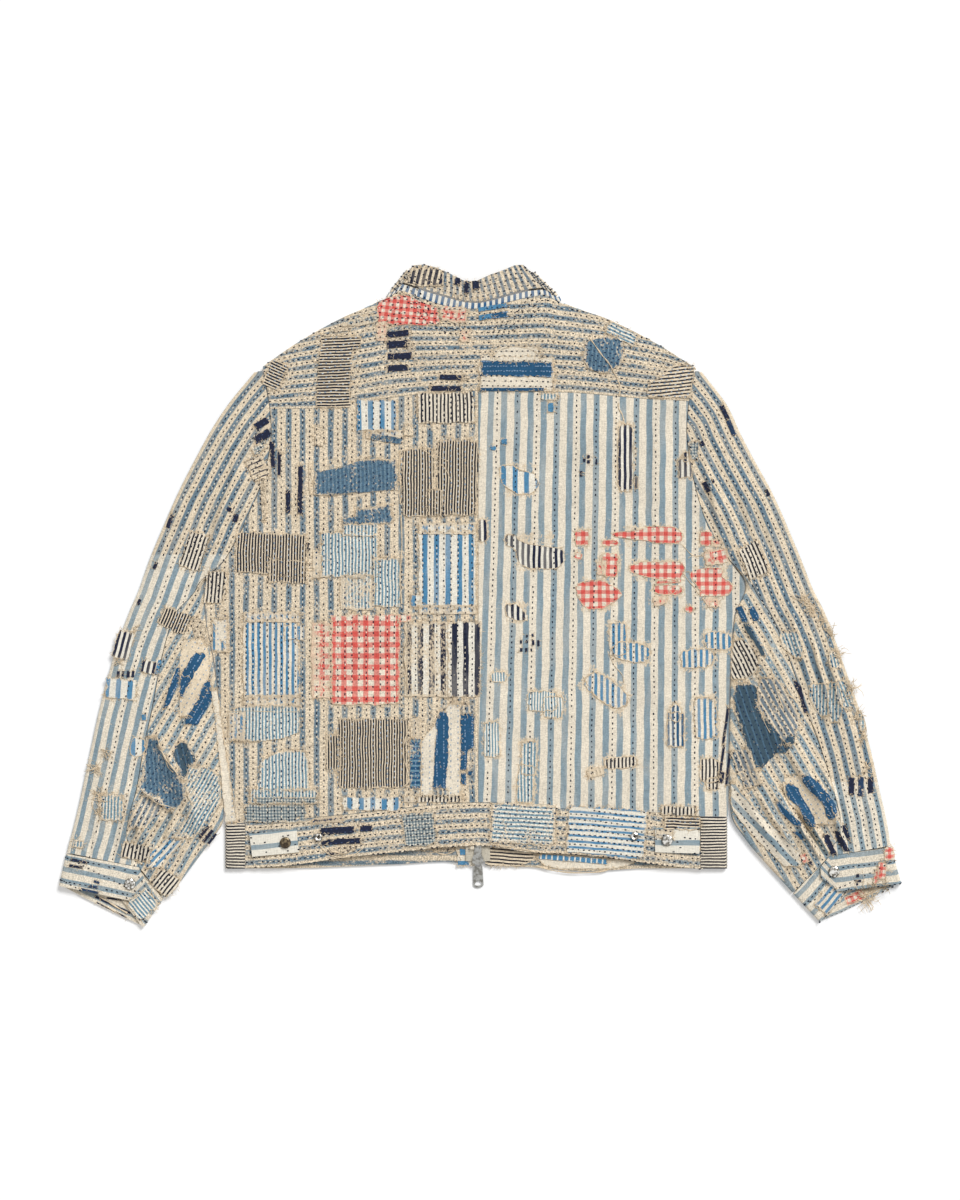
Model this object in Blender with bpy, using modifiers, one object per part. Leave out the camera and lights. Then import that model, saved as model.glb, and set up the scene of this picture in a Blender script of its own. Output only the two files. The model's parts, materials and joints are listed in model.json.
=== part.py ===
"""Patched boro jacket, laid flat face down with its back up, modelled in Blender 4.5.

Metres, +Z up. The origin is on the surface it lies on, under the middle of its outline. +X runs
across the jacket, +Y from the hem towards the collar. The tables are in millimetres.

The cloth is built as it is cut: front panels flat on the surface, the back and yoke above them,
each sleeve a flattened tube of two pieces, cuffs and collar as bands that turn at their folds.
"""

import math
from collections import namedtuple

import bmesh
import bpy
import numpy as np
from mathutils import Matrix, Vector

MM = 0.001

# Cloth walls, millimetres.
BODY_CLOTH = 2.4
SLEEVE_CLOTH = 2.6
BAND_CLOTH = 2.6
COLLAR_CLOTH = 2.2
TAB_CLOTH = 1.6
PATCH_CLOTH = 0.8
ZIP_TAPE = 1.0

# Spaces, millimetres.
SEAM_GAP = 0.4
SLEEVE_GAP = 0.9
LAY_GAP = 0.35
PATCH_GAP = 0.3

# Heights over the surface, millimetres.
EDGE_TOP = 5.1        # back cloth along the side and shoulder edges
BACK_RISE = 3.2       # how much higher the middle of the back lies
SLEEVE_EDGE = 6.0     # thickness of a sleeve at its folded edges
SLEEVE_RISE = 2.8
BAND_EDGE = 6.0
BAND_RISE = 2.4
COLLAR_EDGE = 5.6
COLLAR_RISE = 2.4
CUFF_TOP = 8.6
UNDERLAP_TOP = 5.6
EDGE_REACH = 46.0     # how far in from an edge the cloth reaches its full height

# The zip lies on the front, under the back: its middle and its half width between the fronts.
ZIP_X = -2.5
ZIP_HALF = 8.6

Row = namedtuple("Row", "y left right")
BODY = [                                   # half outline of the body, hem to shoulder
    Row(-262, -287, 282.5),
    Row(-218, -288.5, 282.8),
    Row(-176, -291, 283),
    Row(-130, -296, 283.8),
    Row(-78, -302.5, 285.3),
    Row(-24, -312.3, 289.7),
    Row(10, -314.5, 302),
    Row(42, -290, 283),
    Row(78, -270, 260),
    Row(92, -264, 254.5),
    Row(118, -252.5, 246.5),
    Row(157, -241, 238),
    Row(186, -237.5, 235),
    Row(213, -239, 236.5),
    Row(257, -248, 245),
]
UNDERARM_Y = 10

Seam = namedtuple("Seam", "x y")
YOKE_SEAM = [
    Seam(-240, 213), Seam(-194, 214), Seam(-148, 220), Seam(-68, 230),
    Seam(0, 234), Seam(100, 232), Seam(187, 225), Seam(240, 222),
]
SHOULDER = [                               # the folded shoulder edges, bridged at the neck
    Seam(-256, 256), Seam(-205, 291), Seam(-158, 317), Seam(-112, 338.5),
    Seam(-80, 384), Seam(0, 384), Seam(62, 384), Seam(96, 334.5),
    Seam(143, 317), Seam(196, 291), Seam(252, 256),
]

Hem = namedtuple("Hem", "x seam back_low front_low")
HEM = [
    Hem(-291, -260, -311, -311),
    Hem(-230, -256, -308, -311),
    Hem(-154, -249, -298, -309),
    Hem(-89, -242, -291, -306),
    Hem(-40, -237, -286, -303),
    Hem(0, -235, -284, -308),
    Hem(58, -239, -292, -309.5),
    Hem(120, -244, -295, -315),
    Hem(181, -245.5, -303, -311),
    Hem(252, -251, -311, -311),
    Hem(282, -252, -312, -311),
]

# Collar: seam to the neck, crease between stand and leaf, and free edge, left to right.
Collar = namedtuple("Collar", "seam crease edge")
COLLAR_BACK = [
    Collar((-92, 348.5), (-88, 356.2), (-76, 376.8)),
    Collar((-72, 341.5), (-70, 350.3), (-64, 377.8)),
    Collar((-54, 335), (-52, 344.7), (-50, 374.5)),
    Collar((-36, 329.5), (-34, 339.7), (-34, 367.3)),
    Collar((-18, 327), (-17, 335.2), (-19, 359.6)),
    Collar((0, 327.6), (0, 334.4), (-5, 358.6)),
    Collar((18, 331.5), (18, 338.4), (11, 366)),
    Collar((36, 336), (36, 343.6), (27, 371.6)),
    Collar((56, 340.8), (56, 348.3), (40, 377)),
    Collar((74, 343.5), (73, 350), (49, 377.4)),
]
COLLAR_TURN_LEFT = Collar((-107, 341.5), (-104, 347), (-84, 372.5))
COLLAR_TURN_RIGHT = Collar((93, 337.5), (90.5, 342.5), (62, 370))
COLLAR_FRONT_LEFT = [                      # from the left turn to the zip, under the back
    Collar((-99, 324), (-88, 334), (-69, 350)),
    Collar((-79, 297), (-67, 310), (-52, 328)),
    Collar((-48, 276), (-41, 294), (-33, 313)),
    Collar((-11.5, 268), (-11.5, 288), (-11.5, 307)),
]
COLLAR_FRONT_RIGHT = [
    Collar((86, 320), (76, 330), (56, 347)),
    Collar((68, 295), (58, 308), (44, 327)),
    Collar((42, 275), (34, 293), (27, 312)),
    Collar((6.5, 268), (6.5, 288), (6.5, 307)),
]

# Sleeves, shoulder to cuff: the outer folded edge, the inner edge, and how much of the width the
# outer piece takes on top. Down to the underarm the inner edge is the armhole, so it is None.
Sleeve = namedtuple("Sleeve", "outer inner share")
SLEEVE_LEFT = [
    Sleeve((-257, 256), None, 1), Sleeve((-288, 218), None, 1), Sleeve((-307, 189), None, 1),
    Sleeve((-323, 160), None, 1), Sleeve((-343, 121), None, 1), Sleeve((-356, 92), None, 1),
    Sleeve((-362, 78), None, 1), Sleeve((-377, 42), None, 1), Sleeve((-389, 8), None, 0.9),
    Sleeve((-401, -20), (-313.4, -24), 0.60),
    Sleeve((-419, -72), (-303.6, -78), 0.48),
    Sleeve((-434, -128), (-297, -130), 0.44),
    Sleeve((-445, -178), (-292.8, -177), 0.40),
    Sleeve((-454, -221), (-292, -224), 0.385),
    Sleeve((-461, -252), (-293, -255), 0.36),
    Sleeve((-465, -268), (-306, -277), 0.385),
    Sleeve((-468.5, -280), (-327, -306), 0.47),
    Sleeve((-470, -286), (-345.5, -330), 0.58),
    Sleeve((-471.5, -292.5), (-360.5, -344.2), 0.70),
]
SLEEVE_RIGHT = [
    Sleeve((253, 256), None, 1), Sleeve((283, 216), None, 1), Sleeve((296.5, 187), None, 1),
    Sleeve((311.5, 158), None, 1), Sleeve((332.5, 120), None, 1), Sleeve((345.5, 92), None, 1),
    Sleeve((351.5, 78), None, 1), Sleeve((366.5, 42), None, 1), Sleeve((380, 8), None, 0.88),
    Sleeve((394, -20), (290.8, -24), 0.60),
    Sleeve((413, -72), (286.4, -78), 0.47),
    Sleeve((433, -130), (284.8, -130), 0.41),
    Sleeve((446.5, -178), (284, -176), 0.35),
    Sleeve((456, -221), (284, -220), 0.31),
    Sleeve((462.5, -248), (286.5, -250), 0.30),
    Sleeve((465.5, -264), (304, -279), 0.34),
    Sleeve((467.3, -275), (327, -306), 0.43),
    Sleeve((468, -280), (343.5, -324), 0.54),
    Sleeve((468.7, -284.8), (356.5, -338.4), 0.63),
]
UNDERARM_ROW = 8

# Cuffs: lower edge and upper edge of the band at each station, tab tip to underlap end.
Station = namedtuple("Station", "low high")
CUFF_LEFT = {
    "tab": [
        Station((-381.5, -335.5), (-381.2, -327)),
        Station((-395.9, -347.9), (-388.5, -309.3)),
        Station((-438, -339), (-430, -301.4)),
    ],
    "outer_turn": Station((-480.4, -330.2), (-472, -293.8)),
    "lower": [
        Station((-455, -342.7), (-444, -306.6)),
        Station((-412, -363.9), (-392, -331)),
    ],
    "inner_turn": Station((-383.7, -377.8), (-361.4, -345.6)),
    "underlap": [
        Station((-396, -363), (-374, -328.5)),
        Station((-412, -342), (-389.5, -311.5)),
    ],
}
CUFF_RIGHT = {
    "tab": [
        Station((388.8, -320.5), (388, -309)),
        Station((407.2, -336.8), (398.3, -296.4)),
        Station((443, -332.3), (433, -291.3)),
    ],
    "outer_turn": Station((480.4, -327.3), (469, -286)),
    "lower": [
        Station((452, -341), (440, -300.6)),
        Station((414, -359.5), (385, -326.2)),
    ],
    "inner_turn": Station((387.5, -372), (357.4, -339.8)),
    "underlap": [
        Station((400, -358.5), (373, -323)),
        Station((421, -333), (397.5, -298.5)),
    ],
}

# Adjuster tabs on the hem band, corners from the lower west one round, and the press studs.
TAB_LEFT = ((-259.4, -297.1), (-206.1, -291.8), (-209.2, -265.6), (-262.8, -271.3))
TAB_RIGHT = ((199.5, -291.8), (249.8, -293.4), (250.6, -263.6), (199.5, -264.2))
CAP_DIAMETER = 12.8
CAP_HEIGHT = 2.6
RING_DIAMETER = 9.2
Stud = namedtuple("Stud", "name x y z metal")
CAPS = [
    Stud("side_snap_left", -221.6, -280.9, 10.85, "bronze"),
    Stud("side_snap_right", 213, -278, 10.85, "steel"),
    Stud("cuff_snap_left", -398.6, -328, CUFF_TOP + LAY_GAP, "steel"),
    Stud("cuff_snap_right", 403.4, -314, CUFF_TOP + LAY_GAP, "steel"),
]
RINGS = [
    Stud("ring_stud_left", -183.9, -274.7, 9.85, "steel"),
    Stud("ring_stud_right", 176.3, -273.6, 9.85, "steel"),
]

# Soft folds of the cloth: each runs from one end to the other and fades out sideways.
Fold = namedtuple("Fold", "x0 y0 x1 y1 half height")
BODY_FOLDS = [
    Fold(206, 214, 200, 70, 13, 2.6),
    Fold(236, 190, 262, 40, 12, 2.4),
    Fold(-300, 20, -232, 66, 12, 2.2),
    Fold(-262, -232, -60, -216, 15, 1.6),
    Fold(60, -214, 262, -226, 15, 1.6),
    Fold(-190, 300, -132, 300, 12, 1.8),
    Fold(-70, 300, -30, 262, 14, 1.2),
    Fold(96, 300, 168, 262, 13, 1.4),
    Fold(-5, -292, -5, -214, 44, 1.9),
]
SLEEVE_FOLDS = [
    Fold(-262, 170, -300, 60, 10, 2.4),
    Fold(-316, -60, -352, -160, 13, 4.6),
    Fold(-368, -160, -318, -262, 13, 5.4),
    Fold(-398, -226, -372, -306, 11, 4.4),
    Fold(-420, -60, -446, -220, 14, 2.2),
    Fold(260, 150, 296, 40, 11, 3.0),
    Fold(296, -20, 352, -122, 13, 3.8),
    Fold(304, -180, 376, -286, 13, 5.4),
    Fold(352, -150, 398, -258, 12, 4.2),
    Fold(396, -30, 430, -170, 14, 2.4),
]

# Grid lines of the back panels; the first lines of each follow the armhole and side.
LEFT_X = (-228, -196, -178, -136, -103, -88, -62, -34, -8)
RIGHT_X = (6, 34, 62, 92, 122, 152, 182, 206, 228)
BACK_Y = tuple(row.y for row in BODY[1:-2])
YOKE_X = (-216, -185, -136, -112, -104.5, *(station.seam[0] for station in COLLAR_BACK), 90.8,
          97, 117, 164, 190, 218)
YOKE_V = (0.0, 0.05, 0.30, 0.54, 0.72, 0.95, 1.0)
BAND_X = (-225, -186, -124, -88, -51, -20, 9, 47, 85, 106, 150, 194, 225)
BAND_V = (0.0, 0.08, 0.5, 0.92, 1.0)

# Patches sewn on: panel, then the grid lines that bound them, then a colour.
Patch = namedtuple("Patch", "name panel west east south north cloth")
PATCHES = [
    Patch("patch_pinstripe_top", "back_left", -62, -8, 184, 206, "pinstripe"),
    Patch("patch_denim_back", "back_left", -196, -103, 118, 157, "denim"),
    Patch("patch_pinstripe_square", "back_left", -88, -8, 92, 184, "pinstripe"),
    Patch("patch_pinstripe_side", "back_left", -270, -196, 18, 76, "pinstripe"),
    Patch("patch_light_stripe", "back_left", -178, -103, -24, 76, "light_blue"),
    Patch("patch_blue_stripe", "back_left", -62, -8, -24, 76, "mid_blue"),
    Patch("patch_blue_side", "back_left", -250, -196, -124, -24, "mid_blue"),
    Patch("patch_gingham_back", "back_left", -178, -88, -124, -24, "gingham"),
    Patch("patch_navy_stripe", "back_left", -88, -8, -124, -24, "navy"),
    Patch("patch_fine_stripe", "back_left", -178, -88, -218, -132, "pinstripe"),
    Patch("patch_blue_bars", "back_left", -88, -8, -218, -132, "deep_blue"),
    Patch("patch_light_side", "back_left", -270, -196, -218, -132, "light_blue"),
    Patch("patch_gingham_yoke", "back_yoke", -116, -50, 0.72, 0.95, "gingham"),
    Patch("patch_bars_yoke", "back_yoke", 0, 84, 0.05, 0.54, "deep_blue"),
    Patch("patch_denim_yoke", "back_yoke", 117, 164, 0.30, 0.72, "denim"),
    Patch("patch_pinstripe_yoke", "back_yoke", -185, -136, 0.05, 0.95, "pinstripe"),
    Patch("patch_pinstripe_shoulder", "back_yoke", 190, 218, 0.05, 0.72, "pinstripe"),
    Patch("patch_navy_band", "hem_band_back", -186, -124, 0.08, 0.92, "navy"),
    Patch("patch_check_band", "hem_band_back", -88, -51, 0.08, 0.92, "light_blue"),
    Patch("patch_stripe_band", "hem_band_back", 9, 85, 0.08, 0.92, "light_blue"),
    Patch("patch_blue_band", "hem_band_back", 106, 194, 0.08, 0.92, "mid_blue"),
]
SleevePatch = namedtuple("SleevePatch", "name piece rows columns cloth")
SLEEVE_PATCHES = [
    SleevePatch("patch_denim_left", "sleeve_left_inner", (4, 6), (2, 4), "denim"),
    SleevePatch("patch_bars_left", "sleeve_left_inner", (2, 3), (0, 3), "deep_blue"),
    SleevePatch("patch_denim_right", "sleeve_right_inner", (3, 5), (0, 3), "denim"),
    SleevePatch("patch_pinstripe_right", "sleeve_right_inner", (2, 3), (0, 2), "pinstripe"),
]

COLOURS = {
    "stripe_cream": (0.78, 0.70, 0.56), "stripe_blue": (0.33, 0.42, 0.47),
    "pinstripe": (0.20, 0.19, 0.17), "denim": (0.13, 0.27, 0.40),
    "light_blue": (0.38, 0.52, 0.58), "mid_blue": (0.20, 0.40, 0.58),
    "deep_blue": (0.05, 0.18, 0.36), "navy": (0.03, 0.05, 0.12),
    "gingham": (0.72, 0.22, 0.22), "tape": (0.60, 0.58, 0.52),
    "steel": (0.62, 0.62, 0.60), "bronze": (0.22, 0.18, 0.12),
}


# ---------------------------------------------------------------- curves and heights

def ease(t):
    """0 below 0, 1 above 1, with a soft start and end."""
    t = min(max(t, 0.0), 1.0)
    return t * t * (3.0 - 2.0 * t)


def profile(rows, at, value):
    """A smooth curve through the rows that never overshoots them, read at any position."""
    xs = [getattr(row, at) for row in rows]
    ys = [getattr(row, value) for row in rows]
    steps = [xs[i + 1] - xs[i] for i in range(len(xs) - 1)]
    rates = [(ys[i + 1] - ys[i]) / steps[i] for i in range(len(steps))]
    slopes = [rates[0]]
    for i in range(1, len(rates)):
        if rates[i - 1] * rates[i] <= 0.0:
            slopes.append(0.0)
        else:
            slopes.append(2.0 * rates[i - 1] * rates[i] / (rates[i - 1] + rates[i]))
    slopes.append(rates[-1])

    def read(x):
        x = min(max(x, xs[0]), xs[-1])
        i = 0
        while i < len(steps) - 1 and x > xs[i + 1]:
            i += 1
        t = (x - xs[i]) / steps[i]
        return ((1 + 2 * t) * (1 - t) ** 2 * ys[i] + t * (1 - t) ** 2 * steps[i] * slopes[i]
                + t * t * (3 - 2 * t) * ys[i + 1] + t * t * (t - 1) * steps[i] * slopes[i + 1])
    return read


def outline_of(rows, at, value):
    """Straight runs from row to row, for edges that two pieces share."""
    xs = [getattr(row, at) for row in rows]
    ys = [getattr(row, value) for row in rows]
    return lambda x: float(np.interp(x, xs, ys))


def fold_height(folds, x, y):
    """Height that the soft folds add at a point."""
    total = 0.0
    for fold in folds:
        run = np.array((fold.x1 - fold.x0, fold.y1 - fold.y0), float)
        length = float(np.linalg.norm(run))
        away = np.array((x - fold.x0, y - fold.y0), float)
        along = float(away @ run) / length
        across = (run[0] * away[1] - run[1] * away[0]) / length
        beyond = max(-along, along - length, 0.0)
        fade = math.exp(-(across / fold.half) ** 2 - (beyond / fold.half) ** 2)
        total += fold.height * fade * (0.55 + 0.45 * ease(1 - abs(2 * along / length - 1)))
    return total


body_left = outline_of(BODY, "y", "left")
body_right = outline_of(BODY, "y", "right")
yoke_seam = profile(YOKE_SEAM, "x", "y")
shoulder = profile(SHOULDER, "x", "y")
hem_seam = profile(HEM, "x", "seam")
back_low = profile(HEM, "x", "back_low")
front_low = profile(HEM, "x", "front_low")
neck_seam = outline_of([Seam(-104.5, 338.9), *(Seam(*station.seam) for station in COLLAR_BACK),
                        Seam(90.8, 334.7)], "x", "y")


def back_top(x, y):
    """Top of the back and yoke: low along its folded edges, higher inside, with folds."""
    inside = ease((shoulder(x) - y) / EDGE_REACH)
    open_side = ease((UNDERARM_Y + 30 - y) / 40.0)
    for gap in (x - body_left(y), body_right(y) - x):
        side = ease(gap / EDGE_REACH)
        inside *= 1.0 - open_side * (1.0 - side)
    return EDGE_TOP + inside * (BACK_RISE + fold_height(BODY_FOLDS, x, y))


def band_top(x, y):
    """Top of the hem band, which meets the side blocks at their height."""
    inside = ease((x + 268) / EDGE_REACH) * ease((252 - x) / EDGE_REACH)
    return BAND_EDGE + inside * (BAND_RISE + fold_height(BODY_FOLDS, x, y))


# ---------------------------------------------------------------- making solids

def start_scene():
    """Empties the file and makes the collections that hold the parts and the cutters."""
    for old in list(bpy.data.objects):
        bpy.data.objects.remove(old, do_unlink=True)
    made = [bpy.data.collections.new(name) for name in ("boro_jacket", "cutters")]
    for each in made:
        bpy.context.scene.collection.children.link(each)
    return made


PARTS, CUTTERS = start_scene()


def material(name):
    """A Principled material of its own for each node, coloured by its cloth or metal."""
    found = bpy.data.materials.new(name)
    found.use_nodes = True
    shader = found.node_tree.nodes["Principled BSDF"]
    metal = name.split(".")[0] in ("steel", "bronze")
    shader.inputs["Base Color"].default_value = (*COLOURS[name.split(".")[0]], 1.0)
    shader.inputs["Roughness"].default_value = 0.35 if metal else 0.9
    shader.inputs["Metallic"].default_value = 1.0 if metal else 0.0
    return found


def finish(name, bm, colour):
    """Turns a bmesh, in millimetres, into a named object in metres."""
    bmesh.ops.scale(bm, vec=(MM, MM, MM), verts=bm.verts)
    mesh = bpy.data.meshes.new(name)
    bm.to_mesh(mesh)
    bm.free()
    obj = bpy.data.objects.new(name, mesh)
    PARTS.objects.link(obj)
    mesh.materials.append(material(colour))
    return obj


def thicken(obj, wall):
    """Gives an open outer surface its wall, inwards."""
    solid = obj.modifiers.new("wall", "SOLIDIFY")
    solid.thickness = wall * MM
    solid.offset = -1.0
    return obj


def sheet(name, points, wall, colour):
    """A cloth wall whose outer surface is a grid of points, points[i][j]."""
    across = len(points) - 1
    along = len(points[0]) - 1
    bm = bmesh.new()
    bmesh.ops.create_grid(bm, x_segments=across, y_segments=along, size=1.0)
    for vert in bm.verts:
        i = round((vert.co.x + 1.0) * 0.5 * across)
        j = round((vert.co.y + 1.0) * 0.5 * along)
        vert.co = Vector(points[i][j])
    bm.normal_update()
    top = max(bm.faces, key=lambda face: face.calc_center_median().z)
    if top.normal.z < 0.0:
        bmesh.ops.reverse_faces(bm, faces=bm.faces)
    return thicken(finish(name, bm, colour), wall)


def plate(name, outline, low, high, colour):
    """A flat piece cut to an outline, from low to high."""
    curve = bpy.data.curves.new(name, "CURVE")
    curve.dimensions = "2D"
    curve.fill_mode = "BOTH"
    curve.extrude = (high - low) / 2 * MM
    spline = curve.splines.new("POLY")
    spline.points.add(len(outline) - 1)
    for point, (x, y) in zip(spline.points, outline):
        point.co = (x * MM, y * MM, 0.0, 1.0)
    spline.use_cyclic_u = True
    curve.materials.append(material(colour))
    obj = bpy.data.objects.new(name, curve)
    obj.location.z = (low + high) / 2 * MM
    PARTS.objects.link(obj)
    return obj


def as_mesh(obj):
    """The plate as a welded mesh with its place applied, ready to be cut or joined."""
    bpy.context.view_layer.update()
    mesh = bpy.data.meshes.new_from_object(obj)
    mesh.transform(obj.matrix_world)
    bm = bmesh.new()
    bm.from_mesh(mesh)
    bmesh.ops.remove_doubles(bm, verts=bm.verts, dist=0.00001)
    bm.to_mesh(mesh)
    bm.free()
    name = obj.name
    bpy.data.objects.remove(obj, do_unlink=True)
    made = bpy.data.objects.new(name, mesh)
    PARTS.objects.link(made)
    return made


def use_as_cutter(obj):
    """Moves a solid out of the parts: it only shapes another one."""
    obj.hide_render = True
    obj.display_type = "WIRE"
    PARTS.objects.unlink(obj)
    CUTTERS.objects.link(obj)


def combine(target, others, operation):
    """Joins solids to the first one, or cuts them from it."""
    for other in others:
        step = target.modifiers.new("combine", "BOOLEAN")
        step.operation = operation
        step.solver = "EXACT"
        step.object = other
        use_as_cutter(other)


# ---------------------------------------------------------------- body

def nearest(lines, value):
    """Index of the grid line closest to a value."""
    return min(range(len(lines)), key=lambda i: abs(lines[i] - value))


def back_grid(side):
    """Grid of a back panel: x lines from the armhole to the centre seam, y lines up."""
    half = SEAM_GAP / 2
    ys = ["hem", "above_hem", *BACK_Y, "yoke"]
    if side == "left":
        columns = [("edge", 0.0), ("edge", 0.33), ("edge", 0.66)]
        columns += [("line", x) for x in LEFT_X] + [("line", ZIP_X + 0.5 - half)]
        first = LEFT_X[0]
    else:
        columns = [("line", ZIP_X + 0.5 + half)] + [("line", x) for x in RIGHT_X]
        columns += [("edge", 0.66), ("edge", 0.33), ("edge", 0.0)]
        first = RIGHT_X[-1]
    points = []
    for kind, value in columns:
        column = []
        for row in ys:
            guess = value if kind == "line" else first
            for _ in range(3):
                y = {"hem": hem_seam(guess) + half, "above_hem": hem_seam(guess) + 8,
                     "yoke": yoke_seam(guess) - half}.get(row, row)
                if kind == "edge":
                    edge = body_left(y) + half if side == "left" else body_right(y) - half
                    guess = edge + value * (first - edge)
            column.append((guess, y, back_top(guess, y)))
        points.append(column)
    return points


def yoke_top_edge(x):
    """Upper edge of the yoke: the shoulder edges, and between them the neck seam."""
    if -112 < x < 97:
        return neck_seam(x) - SEAM_GAP
    return shoulder(x)


def yoke_grid():
    """Grid of the yoke: x lines across the shoulders, shares of its height up."""
    half = SEAM_GAP / 2
    points = []
    for x in (None, *YOKE_X, "end"):
        column = []
        for v in YOKE_V:
            if x is None:
                y = yoke_seam(-240) + half + v * (256 - yoke_seam(-240))
                column.append((body_left(y) + half, y, back_top(body_left(y) + half, y)))
            elif x == "end":
                y = yoke_seam(240) + half + v * (256 - yoke_seam(240))
                column.append((body_right(y) - half, y, back_top(body_right(y) - half, y)))
            else:
                low = yoke_seam(x) + half
                y = low + v * (yoke_top_edge(x) - low)
                column.append((x, y, back_top(x, y)))
        points.append(column)
    return points


def band_grid():
    """Grid of the back hem band, between the side blocks."""
    points = []
    for x in (-268 + SEAM_GAP, *BAND_X, 251.6 - SEAM_GAP):
        low = back_low(x)
        high = hem_seam(x) - SEAM_GAP / 2
        ys = [low + v * (high - low) for v in BAND_V]
        points.append([(x, y, band_top(x, y)) for y in ys])
    return points


FRONT_HEM_X = {
    "left": (body_left(-256), -230, -190, -154, -120, -89, -60, -40, -22, ZIP_X - ZIP_HALF),
    "right": (ZIP_X + ZIP_HALF, 30, 58, 90, 120, 150, 181, 220, body_right(-251)),
}


def shrunk(outline, gap):
    """A closed outline drawn in by gap, each corner along its bisector."""
    pts = [np.array(p, float) for p in outline]
    area = sum(a[0] * b[1] - b[0] * a[1] for a, b in zip(pts, pts[1:] + pts[:1]))
    inward = gap if area > 0.0 else -gap
    made = []
    for before, at, after in zip(pts[-1:] + pts[:-1], pts, pts[1:] + pts[:1]):
        one = (at - before) / np.linalg.norm(at - before)
        two = (after - at) / np.linalg.norm(after - at)
        normal = np.array((-one[1] - two[1], one[0] + two[0]))
        made.append(tuple(at + inward * normal / (1.0 + one @ two)))
    return made


def front_outline(side):
    """Outline of a front panel, from the zip edge round by the neck, armhole and side."""
    if side == "left":
        sign, edge, turn, neck = -1, body_left, COLLAR_TURN_LEFT, COLLAR_FRONT_LEFT
        shoulders = [(s.x, s.y) for s in SHOULDER[:4]][::-1]
    else:
        sign, edge, turn, neck = 1, body_right, COLLAR_TURN_RIGHT, COLLAR_FRONT_RIGHT
        shoulders = [(s.x, s.y) for s in SHOULDER[-4:]]
    zip_edge = ZIP_X + sign * ZIP_HALF
    outline = [(zip_edge, hem_seam(zip_edge)), (zip_edge, neck[-1].seam[1])]
    outline += [station.seam for station in neck[-2::-1]]
    outline += shoulders[:-1]
    outline += [(edge(y), y) for y in (256, *(row.y for row in BODY[-2:0:-1]))]
    hem = FRONT_HEM_X[side]
    outline += [(x, hem_seam(x)) for x in (hem if side == "left" else hem[::-1])][:-1]
    return shrunk(outline, SEAM_GAP / 2)


def front_band_outline(side):
    """Outline of a front hem band, from its side block to the zip."""
    xs = [min(max(x, -268 + SEAM_GAP), 251.6 - SEAM_GAP) for x in FRONT_HEM_X[side]]
    lower = [(x, front_low(x)) for x in xs]
    upper = [(x, hem_seam(x) - SEAM_GAP) for x in xs]
    return lower + upper[::-1]


# ---------------------------------------------------------------- bands that turn

def turn(station, toward, radius, rising, line=None, steps=4):
    """Stations of a half turn about a folded edge; toward is a point inside the fold."""
    low, high = (np.array(p, float) for p in station)
    start, end = (low, high) if line is None else (np.array(p, float) for p in line)
    run = (end - start) / np.linalg.norm(end - start)
    out = np.array((run[1], -run[0]))
    if out @ (np.array(toward, float) - (low + high) / 2) > 0.0:
        out = -out
    rows = []
    for step in range(steps + 1):
        angle = math.pi * step / steps
        if rising:
            angle = math.pi - angle
        shift = out * (radius * math.sin(angle) - radius)
        z = radius + radius * math.cos(angle)
        rows.append((low + shift, high + shift, z))
    return rows


def band_points(rows, shares):
    """Grid of a band from its rows of (low, high, top), with lines at the given shares."""
    points = []
    for low, high, top in rows:
        column = []
        for share in shares:
            x, y = np.array(low, float) + share * (np.array(high, float) - np.array(low, float))
            z = top(x, y) if callable(top) else top
            column.append((x, y, z))
        points.append(column)
    return points


def middle(station):
    return (np.array(station[0], float) + np.array(station[1], float)) / 2


def cuff(name, table):
    """A cuff: the tab on top, round the outer fold, back under, and up as the underlap."""
    rows = [(s.low, s.high, CUFF_TOP) for s in table["tab"]]
    rows += turn(table["outer_turn"], middle(table["tab"][-1]), CUFF_TOP / 2, rising=False)
    rows += [(s.low, s.high, 0.0) for s in table["lower"]]
    rows += turn(table["inner_turn"], middle(table["lower"][-1]), UNDERLAP_TOP / 2, rising=True)
    rows += [(s.low, s.high, UNDERLAP_TOP) for s in table["underlap"]]
    return sheet(name, band_points(rows, (0.0, 0.5, 1.0)), BAND_CLOTH, "stripe_cream")


def collar_top(x, y):
    """Height of the collar where it shows, lower at its side folds."""
    inside = ease((x + 104) / 40.0) * ease((90 - x) / 40.0)
    return COLLAR_EDGE + inside * COLLAR_RISE


def collar_band(name, low, high, shares, lift, colour):
    """The stand or the leaf: front end, left fold, back, right fold, front end."""
    def part(stations, top):
        return [(getattr(s, low), getattr(s, high), top) for s in stations]

    def top(x, y):
        return collar_top(x, y) + lift

    left = Station(getattr(COLLAR_TURN_LEFT, low), getattr(COLLAR_TURN_LEFT, high))
    right = Station(getattr(COLLAR_TURN_RIGHT, low), getattr(COLLAR_TURN_RIGHT, high))
    inside = middle((COLLAR_BACK[4].seam, COLLAR_BACK[4].edge))
    radius = COLLAR_EDGE / 2
    lines = [(station.seam, station.edge) for station in (COLLAR_TURN_LEFT, COLLAR_TURN_RIGHT)]
    rows = part(COLLAR_FRONT_LEFT[::-1], 0.0)
    rows += turn(left, inside, radius, rising=True, line=lines[0])
    rows += part(COLLAR_BACK, top)
    rows += turn(right, inside, radius, rising=False, line=lines[1])
    rows += part(COLLAR_FRONT_RIGHT, 0.0)
    return sheet(name, band_points(rows, shares), COLLAR_CLOTH, colour)


def side_block(name, side):
    """The pinstriped block that closes the hem band round a side edge."""
    outer, inner = (-290.6, -268) if side == "left" else (282.2, 251.6)
    low, high = -311.0, (-260.4 if side == "left" else -252.4)
    fold = Station((outer, low), (outer, high))
    seam = Station((inner, low), (inner, high))
    rows = [(*seam, 0.0)]
    rows += turn(fold, middle(seam), BAND_EDGE / 2, rising=True)
    rows += [(*seam, BAND_EDGE)]
    return sheet(name, band_points(rows, (0.0, 0.5, 1.0)), BAND_CLOTH, "pinstripe")


# ---------------------------------------------------------------- sleeves

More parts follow.
